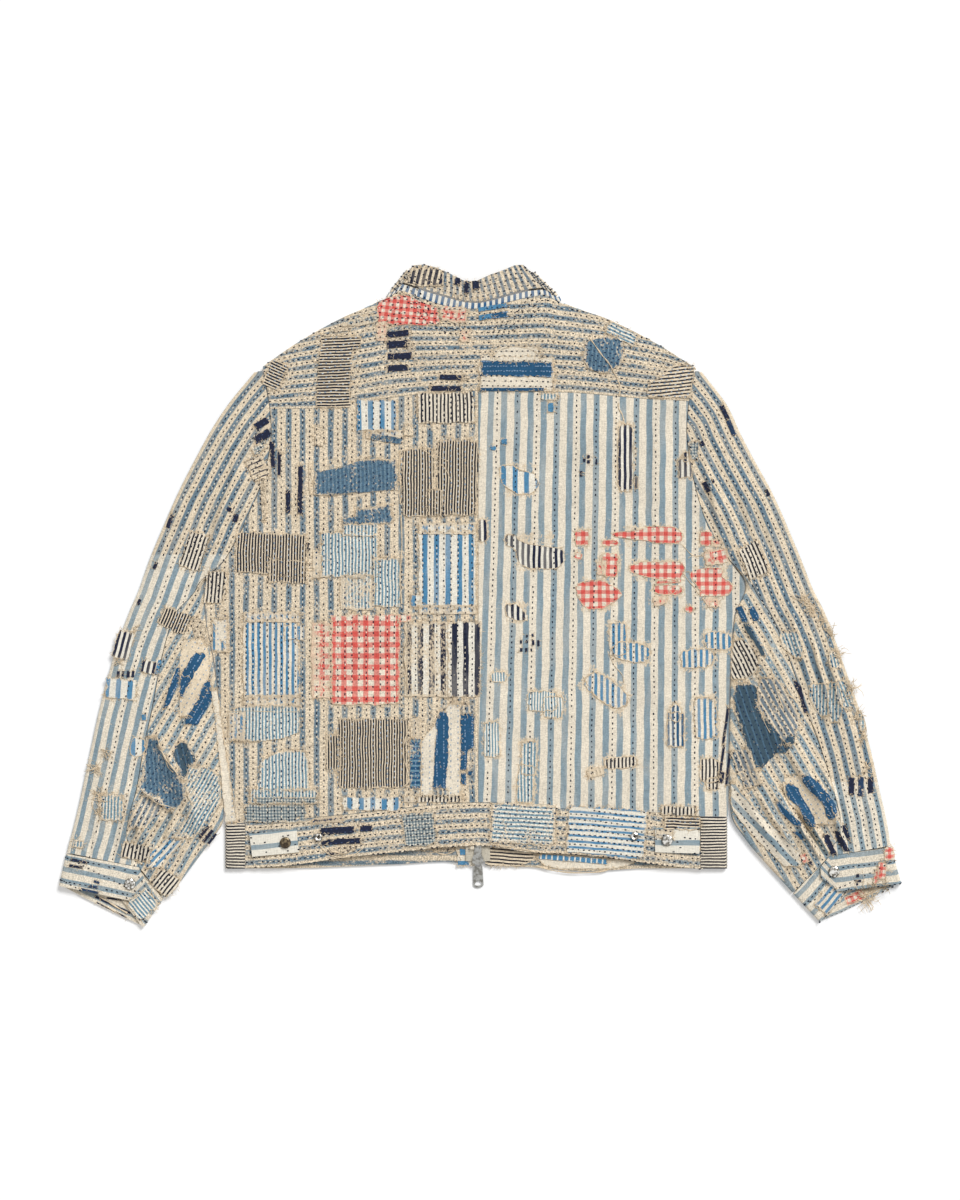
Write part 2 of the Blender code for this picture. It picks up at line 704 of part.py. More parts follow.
TOP_SHARES = {"outer": (0.0, 0.2, 0.4, 0.6, 0.8, 1.0), "inner": (0.0, 0.25, 0.5, 0.75, 1.0)}
FOLD_STEPS = 4
UNDER_SHARES = (0.0, 0.5, 1.0)
FIRST_TOP = len(UNDER_SHARES) + FOLD_STEPS + 1


class SleeveForm:
    """The sleeve in the plane: rows down its length, u from the outer to the inner edge."""

    def __init__(self, side):
        table, edge, gap, band = (
            (SLEEVE_LEFT, body_left, -SLEEVE_GAP, CUFF_LEFT) if side == "left"
            else (SLEEVE_RIGHT, body_right, SLEEVE_GAP, CUFF_RIGHT))
        armhole = [row.y for row in BODY[::-1] if row.y >= UNDERARM_Y]
        armhole[0] = 256.6
        self.outer = [np.array(station.outer, float) for station in table]
        self.inner = [np.array((edge(y) + gap, y)) for y in armhole]
        self.inner += [np.array(station.inner, float) for station in table[len(armhole):]]
        self.share = [station.share for station in table]
        corner = np.array(band["tab"][1].high, float) + (0.0, SEAM_GAP)
        self.bend = corner - self.across(len(table) - 1, self.share[-1])

    def across(self, row, u):
        """A point of the row on the straight line from edge to edge."""
        return self.outer[row] + u * (self.inner[row] - self.outer[row])

    def top(self, row, u):
        """A point of the top layer: near the cuff it bends up to the tab's corner."""
        last = len(self.outer) - 1
        reach = ease((row - (last - 5)) / 5.0)
        peak = self.share[-1]
        hat = u / peak if u < peak else (1.0 - u) / (1.0 - peak)
        return self.across(row, u) + reach * hat * self.bend

    def width(self, row):
        return float(np.linalg.norm(self.inner[row] - self.outer[row]))

    def out(self, row, edge):
        """Direction out of the sleeve across a folded edge."""
        line = self.outer if edge == "outer" else self.inner
        other = self.inner if edge == "outer" else self.outer
        step = line[min(row + 1, len(line) - 1)] - line[max(row - 1, 0)]
        if edge == "inner" and row == UNDERARM_ROW:
            step = line[row + 1] - line[row]
        normal = np.array((step[1], -step[0])) / np.linalg.norm(step)
        return -normal if normal @ (other[row] - line[row]) > 0.0 else normal

    def height(self, row, u, x, y):
        """Top of the sleeve: low at its folds, level with the back along the armhole."""
        inside = ease(u * self.width(row) / 30.0)
        if row >= UNDERARM_ROW:
            inside *= ease((1.0 - u) * self.width(row) / 30.0)
        return SLEEVE_EDGE + inside * (SLEEVE_RISE + fold_height(SLEEVE_FOLDS, x, y))


def sleeve_piece(side, piece):
    """Grid of one sleeve piece: its part underneath, round its fold, and its part on top."""
    form = SleeveForm(side)
    radius = SLEEVE_EDGE / 2
    first = 0 if piece == "outer" else UNDERARM_ROW
    points = []
    for row in range(first, len(form.outer)):
        width = form.width(row)
        half_seam = SLEEVE_GAP / 2 / width
        near = min((radius + 2.0) / width, 0.5)
        share = form.share[row]
        if piece == "outer":
            u_seam = share if share == 1 else share - half_seam
            u_near = min(near, u_seam * 0.6)
            edge = form.outer[row]
        else:
            u_seam = share + half_seam
            u_near = 1.0 - min(near, (1.0 - u_seam) * 0.7)
            edge = form.inner[row]
        out = form.out(row, piece)
        column = []
        for part in UNDER_SHARES:
            x, y = form.across(row, u_seam + part * (u_near - u_seam))
            column.append((x, y, 0.0))
        for step in range(FOLD_STEPS + 1):
            angle = math.pi * (1.0 - step / FOLD_STEPS)
            x, y = edge + out * (radius * math.sin(angle) - radius)
            column.append((x, y, radius + radius * math.cos(angle)))
        for part in TOP_SHARES[piece]:
            u = u_near + part * (u_seam - u_near)
            x, y = form.top(row, u)
            column.append((x, y, form.height(row, u, x, y)))
        points.append(column)
    return points


# ---------------------------------------------------------------- hardware

def round_cap(name, x, y, z, diameter, height, colour):
    """A press-stud cap with a rounded edge."""
    bm = bmesh.new()
    bmesh.ops.create_cone(bm, cap_ends=True, segments=20, radius1=diameter / 2,
                          radius2=diameter / 2, depth=height)
    rim = [e for e in bm.edges if all(v.co.z > 0 for v in e.verts)]
    bmesh.ops.bevel(bm, geom=rim, offset=height * 0.55, segments=2, profile=0.5,
                    affect="EDGES", material=-1)
    bmesh.ops.translate(bm, vec=(x, y, z + height / 2), verts=bm.verts)
    return finish(name, bm, colour)


def ring_stud(name, x, y, z, diameter):
    """The ring half of a press stud."""
    tube = diameter * 0.17
    bpy.ops.mesh.primitive_torus_add(
        major_segments=20, minor_segments=8, major_radius=(diameter / 2 - tube) * MM,
        minor_radius=tube * MM, location=(x * MM, y * MM, (z + tube) * MM))
    ring = bpy.context.object
    ring.name = name
    for owner in list(ring.users_collection):
        owner.objects.unlink(ring)
    PARTS.objects.link(ring)
    ring.data.materials.append(material("steel"))
    return ring


def box(name, low, high, colour):
    """A plain block between two corners, in millimetres."""
    bm = bmesh.new()
    bmesh.ops.create_cube(bm, size=1.0)
    size = Vector(high) - Vector(low)
    bmesh.ops.scale(bm, vec=size, verts=bm.verts)
    bmesh.ops.translate(bm, vec=(Vector(low) + Vector(high)) / 2, verts=bm.verts)
    return finish(name, bm, colour)


# The slider at the hem end of the zip, and its pull tab.
SLIDER_TOP_Y = -285.0
SLIDER_LOW_Y = -306.0
PLATE_LOW = (3.3, 4.1)
PLATE_HIGH = (6.5, 7.3)
BRIDGE = (0.25, 1.05)
PIVOT_Y = -302.4
PIVOT_Z = 2.15
BAR_RADIUS = 0.65
TAB_LENGTH = 31.0
TAB_THICK = 1.3


def zip_tape(name, sign):
    """One tape of the zip: on the front's inner side, rising into the slider at the hem."""
    rows = []
    for y in (260, 120, 0, -120, -225, -250, -268, -284.0, -284.6, -302.5):
        rise = ease((-225 - y) / 55.0)
        z = BODY_CLOTH + LAY_GAP + ZIP_TAPE + rise * 2.1
        inner = 0.35 if y > -284.3 else 3.2
        xs = [ZIP_X + sign * inner, ZIP_X + sign * 7.0, ZIP_X + sign * 14.0]
        rows.append([(x, y, z) for x in xs])
    return sheet(name, rows, ZIP_TAPE, "tape")


def slider():
    """Slider body: two plates about a core, with a bridge underneath for the pull."""
    outline = [(ZIP_X - 3.9, SLIDER_TOP_Y), (ZIP_X + 3.9, SLIDER_TOP_Y),
               (ZIP_X + 4.3, SLIDER_LOW_Y + 11), (ZIP_X + 6.2, SLIDER_LOW_Y + 7.5),
               (ZIP_X + 6.2, SLIDER_LOW_Y + 2.0), (ZIP_X + 4.0, SLIDER_LOW_Y),
               (ZIP_X - 4.0, SLIDER_LOW_Y), (ZIP_X - 6.2, SLIDER_LOW_Y + 2.0),
               (ZIP_X - 6.2, SLIDER_LOW_Y + 7.5), (ZIP_X - 4.3, SLIDER_LOW_Y + 11)]
    body = as_mesh(plate("zip_slider", outline, *PLATE_HIGH, "steel"))
    lower = as_mesh(plate("slider_lower_plate", outline, *PLATE_LOW, "steel"))
    core = box("slider_core", (ZIP_X - 2.4, SLIDER_LOW_Y + 0.6, PLATE_LOW[0] + 0.4),
               (ZIP_X + 2.4, SLIDER_TOP_Y - 0.6, PLATE_HIGH[0] + 0.4), "steel")
    bridge = box("slider_bridge", (ZIP_X - 1.5, PIVOT_Y - 3.3, BRIDGE[0]),
                 (ZIP_X + 1.5, PIVOT_Y + 3.3, BRIDGE[1]), "steel")
    legs = [box(f"slider_leg_{end}", (ZIP_X - 1.5, y, BRIDGE[0] + 0.3),
                (ZIP_X + 1.5, y + 1.1, PLATE_LOW[0] + 0.4), "steel")
            for end, y in (("low", PIVOT_Y - 3.3), ("high", PIVOT_Y + 2.2))]
    combine(body, [lower, core, bridge, *legs], "UNION")


def pull_tab():
    """Pull tab: a tapered plate with a hole for the bridge and a window at its free end."""
    end = PIVOT_Y - TAB_LENGTH
    outline = [(ZIP_X - 4.7, PIVOT_Y + BAR_RADIUS), (ZIP_X + 4.7, PIVOT_Y + BAR_RADIUS),
               (ZIP_X + 6.4, end + 6.0), (ZIP_X + 6.6, end + 3.2), (ZIP_X + 4.2, end + 1.0),
               (ZIP_X + 0.6, end), (ZIP_X - 3.4, end + 0.8), (ZIP_X - 5.2, end + 3.0),
               (ZIP_X - 5.3, end + 6.0)]
    half = TAB_THICK / 2
    tab = as_mesh(plate("zip_pull_tab", outline, PIVOT_Z - half, PIVOT_Z + half, "steel"))
    hole = box("cut_bridge_hole", (ZIP_X - 2.6, PIVOT_Y - 6.2, PIVOT_Z - 2),
               (ZIP_X + 2.6, PIVOT_Y - BAR_RADIUS, PIVOT_Z + 2), "steel")
    window = as_mesh(plate("cut_window", [
        (ZIP_X - 3.6, end + 3.4), (ZIP_X - 1.0, end + 2.4), (ZIP_X + 3.2, end + 2.9),
        (ZIP_X + 5.0, end + 4.6), (ZIP_X + 3.6, end + 7.2), (ZIP_X + 0.8, end + 8.2),
        (ZIP_X - 2.0, end + 7.2)], PIVOT_Z - 2, PIVOT_Z + 2, "steel"))
    combine(tab, [hole, window], "DIFFERENCE")
    # The tab hangs from its bar and its free end rests on the surface.
    pivot = Vector((ZIP_X, PIVOT_Y, PIVOT_Z)) * MM
    lean = math.asin((PIVOT_Z - half - 0.05) / TAB_LENGTH)
    turn_down = Matrix.Translation(pivot) @ Matrix.Rotation(lean, 4, "X")
    for piece in (tab, hole, window):
        piece.data.transform(Matrix.Translation(-pivot))
        piece.matrix_world = turn_down


# ---------------------------------------------------------------- the jacket

def drawn_in(points, gap):
    """A grid whose border is drawn in by gap, along its own lines."""
    rows = [[np.array(p, float) for p in column] for column in points]
    for _ in range(2):
        for a, b in ((0, 1), (-1, -2)):
            moved = []
            for edge, inner in zip(rows[a], rows[b]):
                step = inner - edge
                moved.append(edge + step * gap / np.linalg.norm(step))
            rows[a] = moved
        rows = [list(line) for line in zip(*rows)]
    return rows


def add_patches(grids):
    """Patches, each made from its panel's own points, moved out."""
    lift = PATCH_GAP + PATCH_CLOTH
    for patch in PATCHES:
        grid = grids[patch.panel]
        if patch.panel == "back_yoke":
            rows = [nearest(YOKE_V, value) for value in (patch.south, patch.north)]
        elif patch.panel == "hem_band_back":
            rows = [nearest(BAND_V, value) for value in (patch.south, patch.north)]
        else:
            heights = [point[1] for point in grid[len(grid) // 2]]
            rows = [nearest(heights, value) for value in (patch.south, patch.north)]
        middle_row = (rows[0] + rows[1]) // 2
        across = [column[middle_row][0] for column in grid]
        west, east = nearest(across, patch.west), nearest(across, patch.east)
        points = [[(x, y, z + lift) for x, y, z in column[rows[0]:rows[1] + 1]]
                  for column in grid[west:east + 1]]
        sheet(patch.name, drawn_in(points, PATCH_GAP), PATCH_CLOTH, patch.cloth)
    for patch in SLEEVE_PATCHES:
        grid = grids[patch.piece]
        west, east = patch.columns
        points = [[(x, y, z + lift) for x, y, z in row[FIRST_TOP + west:FIRST_TOP + east + 1]]
                  for row in grid[patch.rows[0]:patch.rows[1] + 1]]
        sheet(patch.name, drawn_in(points, PATCH_GAP), PATCH_CLOTH, patch.cloth)


def side_tab(name, corners):
    """An adjuster tab sewn along the hem band; corners start at its lower west end."""
    south_west, south_east, north_east, north_west = corners
    points = []
    for share in (0.0, 0.25, 0.5, 0.75, 1.0):
        low = np.array(south_west, float) * (1 - share) + np.array(south_east, float) * share
        high = np.array(north_west, float) * (1 - share) + np.array(north_east, float) * share
        column = []
        for across in (0.0, 0.5, 1.0):
            x, y = low + across * (high - low)
            column.append((x, y, band_surface(x, y) + LAY_GAP + TAB_CLOTH))
        points.append(column)
    return sheet(name, points, TAB_CLOTH, "stripe_cream")


def band_surface(x, y):
    """Height of the faceted hem band at a point, so that what lies on it just clears it."""
    return max(band_top(x + dx, y + dy) for dx in (-16, 0, 16) for dy in (-10, 0, 10)) + 0.1


def build():
    grids = {
        "back_left": back_grid("left"),
        "back_right": back_grid("right"),
        "back_yoke": yoke_grid(),
        "hem_band_back": band_grid(),
    }
    sheet("back_left", grids["back_left"], BODY_CLOTH, "stripe_blue")
    sheet("back_right", grids["back_right"], BODY_CLOTH, "stripe_cream")
    sheet("back_yoke", grids["back_yoke"], BODY_CLOTH, "stripe_blue")
    sheet("hem_band_back", grids["hem_band_back"], BAND_CLOTH, "stripe_blue")
    for side in ("left", "right"):
        plate(f"front_{side}", front_outline(side), 0.0, BODY_CLOTH, "stripe_cream")
        plate(f"hem_band_front_{side}", front_band_outline(side), 0.0, BAND_CLOTH,
              "stripe_cream")
        side_block(f"hem_side_{side}", side)
        for piece in ("outer", "inner"):
            name = f"sleeve_{side}_{piece}"
            grids[name] = sleeve_piece(side, piece)
            sheet(name, grids[name], SLEEVE_CLOTH, "stripe_cream")
    cuff("cuff_left", CUFF_LEFT)
    cuff("cuff_right", CUFF_RIGHT)
    collar_band("collar_stand", "seam", "crease", (0.03, 0.93), 0.0, "mid_blue")
    collar_band("collar_leaf", "crease", "edge", (0.06, 0.5, 1.0), 1.0, "stripe_blue")
    add_patches(grids)
    side_tab("side_tab_left", TAB_LEFT)
    side_tab("side_tab_right", TAB_RIGHT)
    for stud in CAPS:
        round_cap(stud.name, stud.x, stud.y, stud.z, CAP_DIAMETER, CAP_HEIGHT, stud.metal)
    for stud in RINGS:
        ring_stud(stud.name, stud.x, stud.y, stud.z, RING_DIAMETER)
    zip_tape("zip_tape_left", -1)
    zip_tape("zip_tape_right", 1)
    slider()
    pull_tab()


build()
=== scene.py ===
"""Looks of the patched boro jacket, laid flat face down with its back up.

The tables are in millimetres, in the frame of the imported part. Each cloth is made from a grid
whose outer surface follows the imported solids, and patches, holes, stitches and loose threads
are set down on those surfaces.
"""

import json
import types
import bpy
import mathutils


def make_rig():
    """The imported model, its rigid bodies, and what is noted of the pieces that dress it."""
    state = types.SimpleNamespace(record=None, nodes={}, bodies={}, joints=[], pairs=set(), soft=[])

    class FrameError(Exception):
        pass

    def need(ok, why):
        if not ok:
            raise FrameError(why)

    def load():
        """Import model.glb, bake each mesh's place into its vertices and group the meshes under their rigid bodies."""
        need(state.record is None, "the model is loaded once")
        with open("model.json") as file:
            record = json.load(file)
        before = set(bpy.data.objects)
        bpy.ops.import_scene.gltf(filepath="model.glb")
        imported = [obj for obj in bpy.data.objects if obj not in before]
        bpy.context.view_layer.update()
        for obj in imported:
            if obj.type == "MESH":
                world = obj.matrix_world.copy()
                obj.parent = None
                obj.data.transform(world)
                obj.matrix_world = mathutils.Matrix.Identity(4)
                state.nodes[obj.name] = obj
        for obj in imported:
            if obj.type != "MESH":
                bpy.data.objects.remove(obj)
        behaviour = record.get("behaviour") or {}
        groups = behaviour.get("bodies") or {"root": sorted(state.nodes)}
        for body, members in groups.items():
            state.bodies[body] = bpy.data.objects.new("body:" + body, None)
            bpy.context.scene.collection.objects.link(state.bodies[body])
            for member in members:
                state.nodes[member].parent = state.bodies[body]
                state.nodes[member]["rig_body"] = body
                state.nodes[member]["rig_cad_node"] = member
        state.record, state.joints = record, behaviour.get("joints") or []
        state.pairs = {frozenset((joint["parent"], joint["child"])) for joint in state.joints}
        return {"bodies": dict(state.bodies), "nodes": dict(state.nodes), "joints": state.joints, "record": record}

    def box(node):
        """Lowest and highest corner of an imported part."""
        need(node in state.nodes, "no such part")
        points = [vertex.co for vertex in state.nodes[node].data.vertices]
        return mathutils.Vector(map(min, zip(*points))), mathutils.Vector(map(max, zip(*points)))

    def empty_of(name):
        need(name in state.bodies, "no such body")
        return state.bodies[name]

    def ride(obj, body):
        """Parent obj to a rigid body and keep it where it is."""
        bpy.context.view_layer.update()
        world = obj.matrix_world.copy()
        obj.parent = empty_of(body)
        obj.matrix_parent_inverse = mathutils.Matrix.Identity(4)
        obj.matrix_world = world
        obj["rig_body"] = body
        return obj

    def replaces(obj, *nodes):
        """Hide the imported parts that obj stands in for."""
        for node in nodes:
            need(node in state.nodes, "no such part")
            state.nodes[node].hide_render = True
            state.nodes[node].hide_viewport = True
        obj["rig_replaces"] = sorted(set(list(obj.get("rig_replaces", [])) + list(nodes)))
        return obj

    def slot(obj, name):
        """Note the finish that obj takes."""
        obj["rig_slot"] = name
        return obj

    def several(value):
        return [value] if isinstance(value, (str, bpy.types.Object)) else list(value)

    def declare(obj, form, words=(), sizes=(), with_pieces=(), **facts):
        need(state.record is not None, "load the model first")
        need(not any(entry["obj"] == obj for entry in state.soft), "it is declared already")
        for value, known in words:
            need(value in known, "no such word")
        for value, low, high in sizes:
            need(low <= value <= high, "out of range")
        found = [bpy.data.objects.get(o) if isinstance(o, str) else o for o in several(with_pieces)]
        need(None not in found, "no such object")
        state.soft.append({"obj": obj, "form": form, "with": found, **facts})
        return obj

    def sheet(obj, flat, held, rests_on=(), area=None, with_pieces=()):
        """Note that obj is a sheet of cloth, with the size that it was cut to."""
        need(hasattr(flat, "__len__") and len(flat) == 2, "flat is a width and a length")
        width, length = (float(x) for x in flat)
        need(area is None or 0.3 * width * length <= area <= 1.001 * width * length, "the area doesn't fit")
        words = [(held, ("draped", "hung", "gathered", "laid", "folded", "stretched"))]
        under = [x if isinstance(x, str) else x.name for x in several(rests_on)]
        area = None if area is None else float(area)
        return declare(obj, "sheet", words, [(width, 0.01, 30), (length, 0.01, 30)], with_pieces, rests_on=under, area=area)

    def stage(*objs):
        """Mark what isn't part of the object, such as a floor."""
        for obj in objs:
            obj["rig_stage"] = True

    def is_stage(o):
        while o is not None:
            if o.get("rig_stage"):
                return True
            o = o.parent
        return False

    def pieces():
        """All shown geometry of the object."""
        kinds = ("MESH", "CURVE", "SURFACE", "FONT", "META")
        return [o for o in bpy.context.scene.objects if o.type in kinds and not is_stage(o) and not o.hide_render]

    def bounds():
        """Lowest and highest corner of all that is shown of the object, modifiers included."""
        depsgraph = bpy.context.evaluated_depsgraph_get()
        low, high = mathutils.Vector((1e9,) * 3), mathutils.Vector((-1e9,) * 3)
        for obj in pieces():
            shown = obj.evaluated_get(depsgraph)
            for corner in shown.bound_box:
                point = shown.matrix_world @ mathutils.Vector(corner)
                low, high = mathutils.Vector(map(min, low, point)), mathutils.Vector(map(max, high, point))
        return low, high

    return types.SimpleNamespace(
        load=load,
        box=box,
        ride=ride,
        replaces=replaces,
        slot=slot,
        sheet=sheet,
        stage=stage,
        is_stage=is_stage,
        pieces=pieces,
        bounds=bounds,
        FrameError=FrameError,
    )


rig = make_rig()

bl_info = {
    "name": "Boro jacket",
    "version": (1, 0, 0),
    "blender": (4, 5, 0),
    "location": "View3D > Sidebar > Jacket",
    "description": "Dresses the packed boro jacket with striped, patched and stitched cloth",
    "category": "Object",
}

import json
import math
import random
from collections import namedtuple

import bmesh
import bpy
import numpy as np
from bpy.props import FloatProperty, FloatVectorProperty, PointerProperty
from mathutils import Vector
from mathutils.bvhtree import BVHTree

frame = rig.load()
CAD_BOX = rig.bounds()
MM = 0.001

# ---------------------------------------------------------------- sizes, millimetres

# Thickness of each kind of cloth.
WALLS = {"body": 2.4, "sleeve": 2.6, "band": 2.6, "collar": 2.2, "tab": 1.6, "patch": 0.7}
# Height of each outer face at its edge and how far it rises inside.
EDGE_TOP, BACK_RISE, EDGE_REACH = 5.1, 3.2, 46.0
SLEEVE_EDGE, SLEEVE_RISE, SLEEVE_REACH = 6.0, 2.8, 30.0
BAND_EDGE, BAND_RISE = 6.0, 2.4
COLLAR_EDGE, COLLAR_RISE = 5.6, 2.4
CUFF_TOP, UNDERLAP_TOP = 8.6, 5.6
SEAM_GAP, SLEEVE_GAP = 0.4, 0.9
# Left edge and width of the yoke at its seam, and how far each spreads towards the shoulder.
YOKE_LEFT, YOKE_WIDE, YOKE_LEFT_SPREAD, YOKE_SPREAD = -238.8, 477.0, 9.0, 15.6
NECK_LEFT, NECK_RIGHT = -112, 97
BAND_LEFT, BAND_WIDE = -267.6, 518.8
# Where the hem band and the collar fold over at their ends, and how soon the collar rises.
BAND_ENDS, COLLAR_ENDS, COLLAR_REACH = (-268, 252), (-104, 90), 40.0
# Share by which the yoke's stripes turn from its seam to its shoulder line, and that line's y.
YOKE_TURN, SHOULDER_LINE = 0.3, 105
# How far the tabs stand off the band, and the height that parts the upper layer of a folded
# band from the lower one.
TAB_LIFT, UPPER_LAYER = 1.9, 3.5
# Cloth that goes round a pressed edge, and the cells round it.
EDGE_TURN = 8
TAB_WIDE, TAB_LONG = 28, 54
# Cells of each grid, across and along.
BACK_CELLS, YOKE_CELLS, BAND_CELLS, TAB_CELLS = (72, 118), (118, 32), (130, 14), (16, 9)
# Rows of each piece of a sleeve, and its columns from the edge to the seam.
SLEEVE_CELLS = {"outer": (190, 52), "inner": (140, 42)}
CENTRE_SEAM = -2.0
UNDERARM_Y = 10
# The back's side edges turn from seams to pressed edges from here down, over this reach.
SIDE_EDGE_FROM, SIDE_EDGE_REACH = UNDERARM_Y + 30, 40.0
# Middle of the zip's pull tab, and the room beside it that frayed yarns leave free.
PULL_TAB_X, PULL_TAB_ROOM = -2.5, 11

Row = namedtuple("Row", "y left right")
BODY = [Row(*row) for row in (
    (-262, -287, 282.5), (-218, -288.5, 282.8), (-176, -291, 283), (-130, -296, 283.8),
    (-78, -302.5, 285.3), (-24, -312.3, 289.7), (10, -314.5, 302), (42, -290, 283),
    (78, -270, 260), (92, -264, 254.5), (118, -252.5, 246.5), (157, -241, 238), (186, -237.5, 235),
    (213, -239, 236.5), (257, -248, 245),
)]
Seam = namedtuple("Seam", "x y")
YOKE_SEAM = [Seam(*row) for row in (
    (-240, 213), (-194, 214), (-148, 220), (-68, 230), (0, 234), (100, 232), (187, 225), (240, 222),
)]
SHOULDER = [Seam(*row) for row in (
    (-256, 256), (-205, 291), (-158, 317), (-112, 338.5), (-80, 384), (0, 384), (62, 384),
    (96, 334.5), (143, 317), (196, 291), (252, 256),
)]
Hem = namedtuple("Hem", "x seam low")
HEM = [Hem(*row) for row in (
    (-291, -260, -311), (-230, -256, -308), (-154, -249, -298), (-89, -242, -291),
    (-40, -237, -286), (0, -235, -284), (58, -239, -292), (120, -244, -295), (181, -245.5, -303),
    (252, -251, -311), (282, -252, -312),
)]
Collar = namedtuple("Collar", "seam crease edge")
COLLAR_BACK = [Collar(*row) for row in (
    ((-92, 348.5), (-88, 356.2), (-76, 376.8)), ((-72, 341.5), (-70, 350.3), (-64, 377.8)),
    ((-54, 335), (-52, 344.7), (-50, 374.5)), ((-36, 329.5), (-34, 339.7), (-34, 367.3)),
    ((-18, 327), (-17, 335.2), (-19, 359.6)), ((0, 327.6), (0, 334.4), (-5, 358.6)),
    ((18, 331.5), (18, 338.4), (11, 366)), ((36, 336), (36, 343.6), (27, 371.6)),
    ((56, 340.8), (56, 348.3), (40, 377)), ((74, 343.5), (73, 350), (49, 377.4)),
)]
COLLAR_TURN_LEFT = Collar((-107, 341.5), (-104, 347), (-84, 372.5))
COLLAR_TURN_RIGHT = Collar((93, 337.5), (90.5, 342.5), (62, 370))
COLLAR_FRONT_LEFT = [Collar(*row) for row in (
    ((-99, 324), (-88, 334), (-69, 350)), ((-79, 297), (-67, 310), (-52, 328)),
    ((-48, 276), (-41, 294), (-33, 313)), ((-11.5, 268), (-11.5, 288), (-11.5, 307)),
)]
COLLAR_FRONT_RIGHT = [Collar(*row) for row in (
    ((86, 320), (76, 330), (56, 347)), ((68, 295), (58, 308), (44, 327)),
    ((42, 275), (34, 293), (27, 312)), ((6.5, 268), (6.5, 288), (6.5, 307)),
)]
Sleeve = namedtuple("Sleeve", "outer inner share")
SLEEVES = {
    "left": [Sleeve(*row) for row in (
        ((-257, 256), None, 1), ((-288, 218), None, 1), ((-307, 189), None, 1),
        ((-323, 160), None, 1), ((-343, 121), None, 1), ((-356, 92), None, 1),
        ((-362, 78), None, 1), ((-377, 42), None, 1), ((-389, 8), None, 0.9),
        ((-401, -20), (-313.4, -24), 0.6), ((-419, -72), (-303.6, -78), 0.48),
        ((-434, -128), (-297, -130), 0.44), ((-445, -178), (-292.8, -177), 0.4),
        ((-454, -221), (-292, -224), 0.385), ((-461, -252), (-293, -255), 0.36),
        ((-465, -268), (-306, -277), 0.385), ((-468.5, -280), (-327, -306), 0.47),
        ((-470, -286), (-345.5, -330), 0.58), ((-471.5, -292.5), (-360.5, -344.2), 0.7),
    )],
    "right": [Sleeve(*row) for row in (
        ((253, 256), None, 1), ((283, 216), None, 1), ((296.5, 187), None, 1),
        ((311.5, 158), None, 1), ((332.5, 120), None, 1), ((345.5, 92), None, 1),
        ((351.5, 78), None, 1), ((366.5, 42), None, 1), ((380, 8), None, 0.88),
        ((394, -20), (290.8, -24), 0.6), ((413, -72), (286.4, -78), 0.47),
        ((433, -130), (284.8, -130), 0.41), ((446.5, -178), (284, -176), 0.35),
        ((456, -221), (284, -220), 0.31), ((462.5, -248), (286.5, -250), 0.3),
        ((465.5, -264), (304, -279), 0.34), ((467.3, -275), (327, -306), 0.43),
        ((468, -280), (343.5, -324), 0.54), ((468.7, -284.8), (356.5, -338.4), 0.63),
    )],
}
ARMHOLE_Y = (256.6, 213, 186, 157, 118, 92, 78, 42, 10)
UNDERARM_ROW = 8
# The inner sleeve runs up past the underarm into a narrow point.
INNER_START = UNDERARM_ROW - 0.72
Station = namedtuple("Station", "low high")
CUFFS = {
    "left": {
        "tab": [Station((-381.5, -335.5), (-381.2, -327)),
                Station((-395.9, -347.9), (-388.5, -309.3)),
                Station((-438, -339), (-430, -301.4))],
        "outer_turn": Station((-480.4, -330.2), (-472, -293.8)),
        "lower": [Station((-455, -342.7), (-444, -306.6)), Station((-412, -363.9), (-392, -331))],
        "inner_turn": Station((-383.7, -377.8), (-361.4, -345.6)),
        "underlap": [Station((-396, -363), (-374, -328.5)),
                     Station((-412, -342), (-389.5, -311.5))],
    },
    "right": {
        "tab": [Station((388.8, -320.5), (388, -309)),
                Station((407.2, -336.8), (398.3, -296.4)),
                Station((443, -332.3), (433, -291.3))],
        "outer_turn": Station((480.4, -327.3), (469, -286)),
        "lower": [Station((452, -341), (440, -300.6)), Station((414, -359.5), (385, -326.2))],
        "inner_turn": Station((387.5, -372), (357.4, -339.8)),
        "underlap": [Station((400, -358.5), (373, -323)), Station((421, -333), (397.5, -298.5))],
    },
}
TABS = {
    "left": ((-259.4, -297.1), (-206.1, -291.8), (-209.2, -265.6), (-262.8, -271.3)),
    "right": ((199.5, -291.8), (249.8, -293.4), (250.6, -263.6), (199.5, -264.2)),
}
Fold = namedtuple("Fold", "x0 y0 x1 y1 half height")
BODY_FOLDS = [Fold(*row) for row in (
    (206, 214, 200, 70, 13, 2.6), (236, 190, 262, 40, 12, 2.4), (-300, 20, -232, 66, 12, 2.2),
    (-262, -232, -60, -216, 15, 1.6), (60, -214, 262, -226, 15, 1.6),
    (-190, 300, -132, 300, 12, 1.8), (-70, 300, -30, 262, 14, 1.2), (96, 300, 168, 262, 13, 1.4),
    (-5, -292, -5, -214, 44, 1.9),
)]
SLEEVE_FOLDS = [Fold(*row) for row in (
    (-262, 170, -300, 60, 8, 3.6), (-316, -60, -352, -160, 11, 7.0),
    (-368, -160, -318, -262, 11, 8.2), (-398, -226, -372, -306, 9, 6.6),
    (-420, -60, -446, -220, 12, 3.4), (260, 150, 296, 40, 9, 4.6), (296, -20, 352, -122, 11, 5.8),
    (304, -180, 376, -286, 11, 8.2), (352, -150, 398, -258, 10, 6.2),
    (396, -30, 430, -170, 12, 3.6),
)]
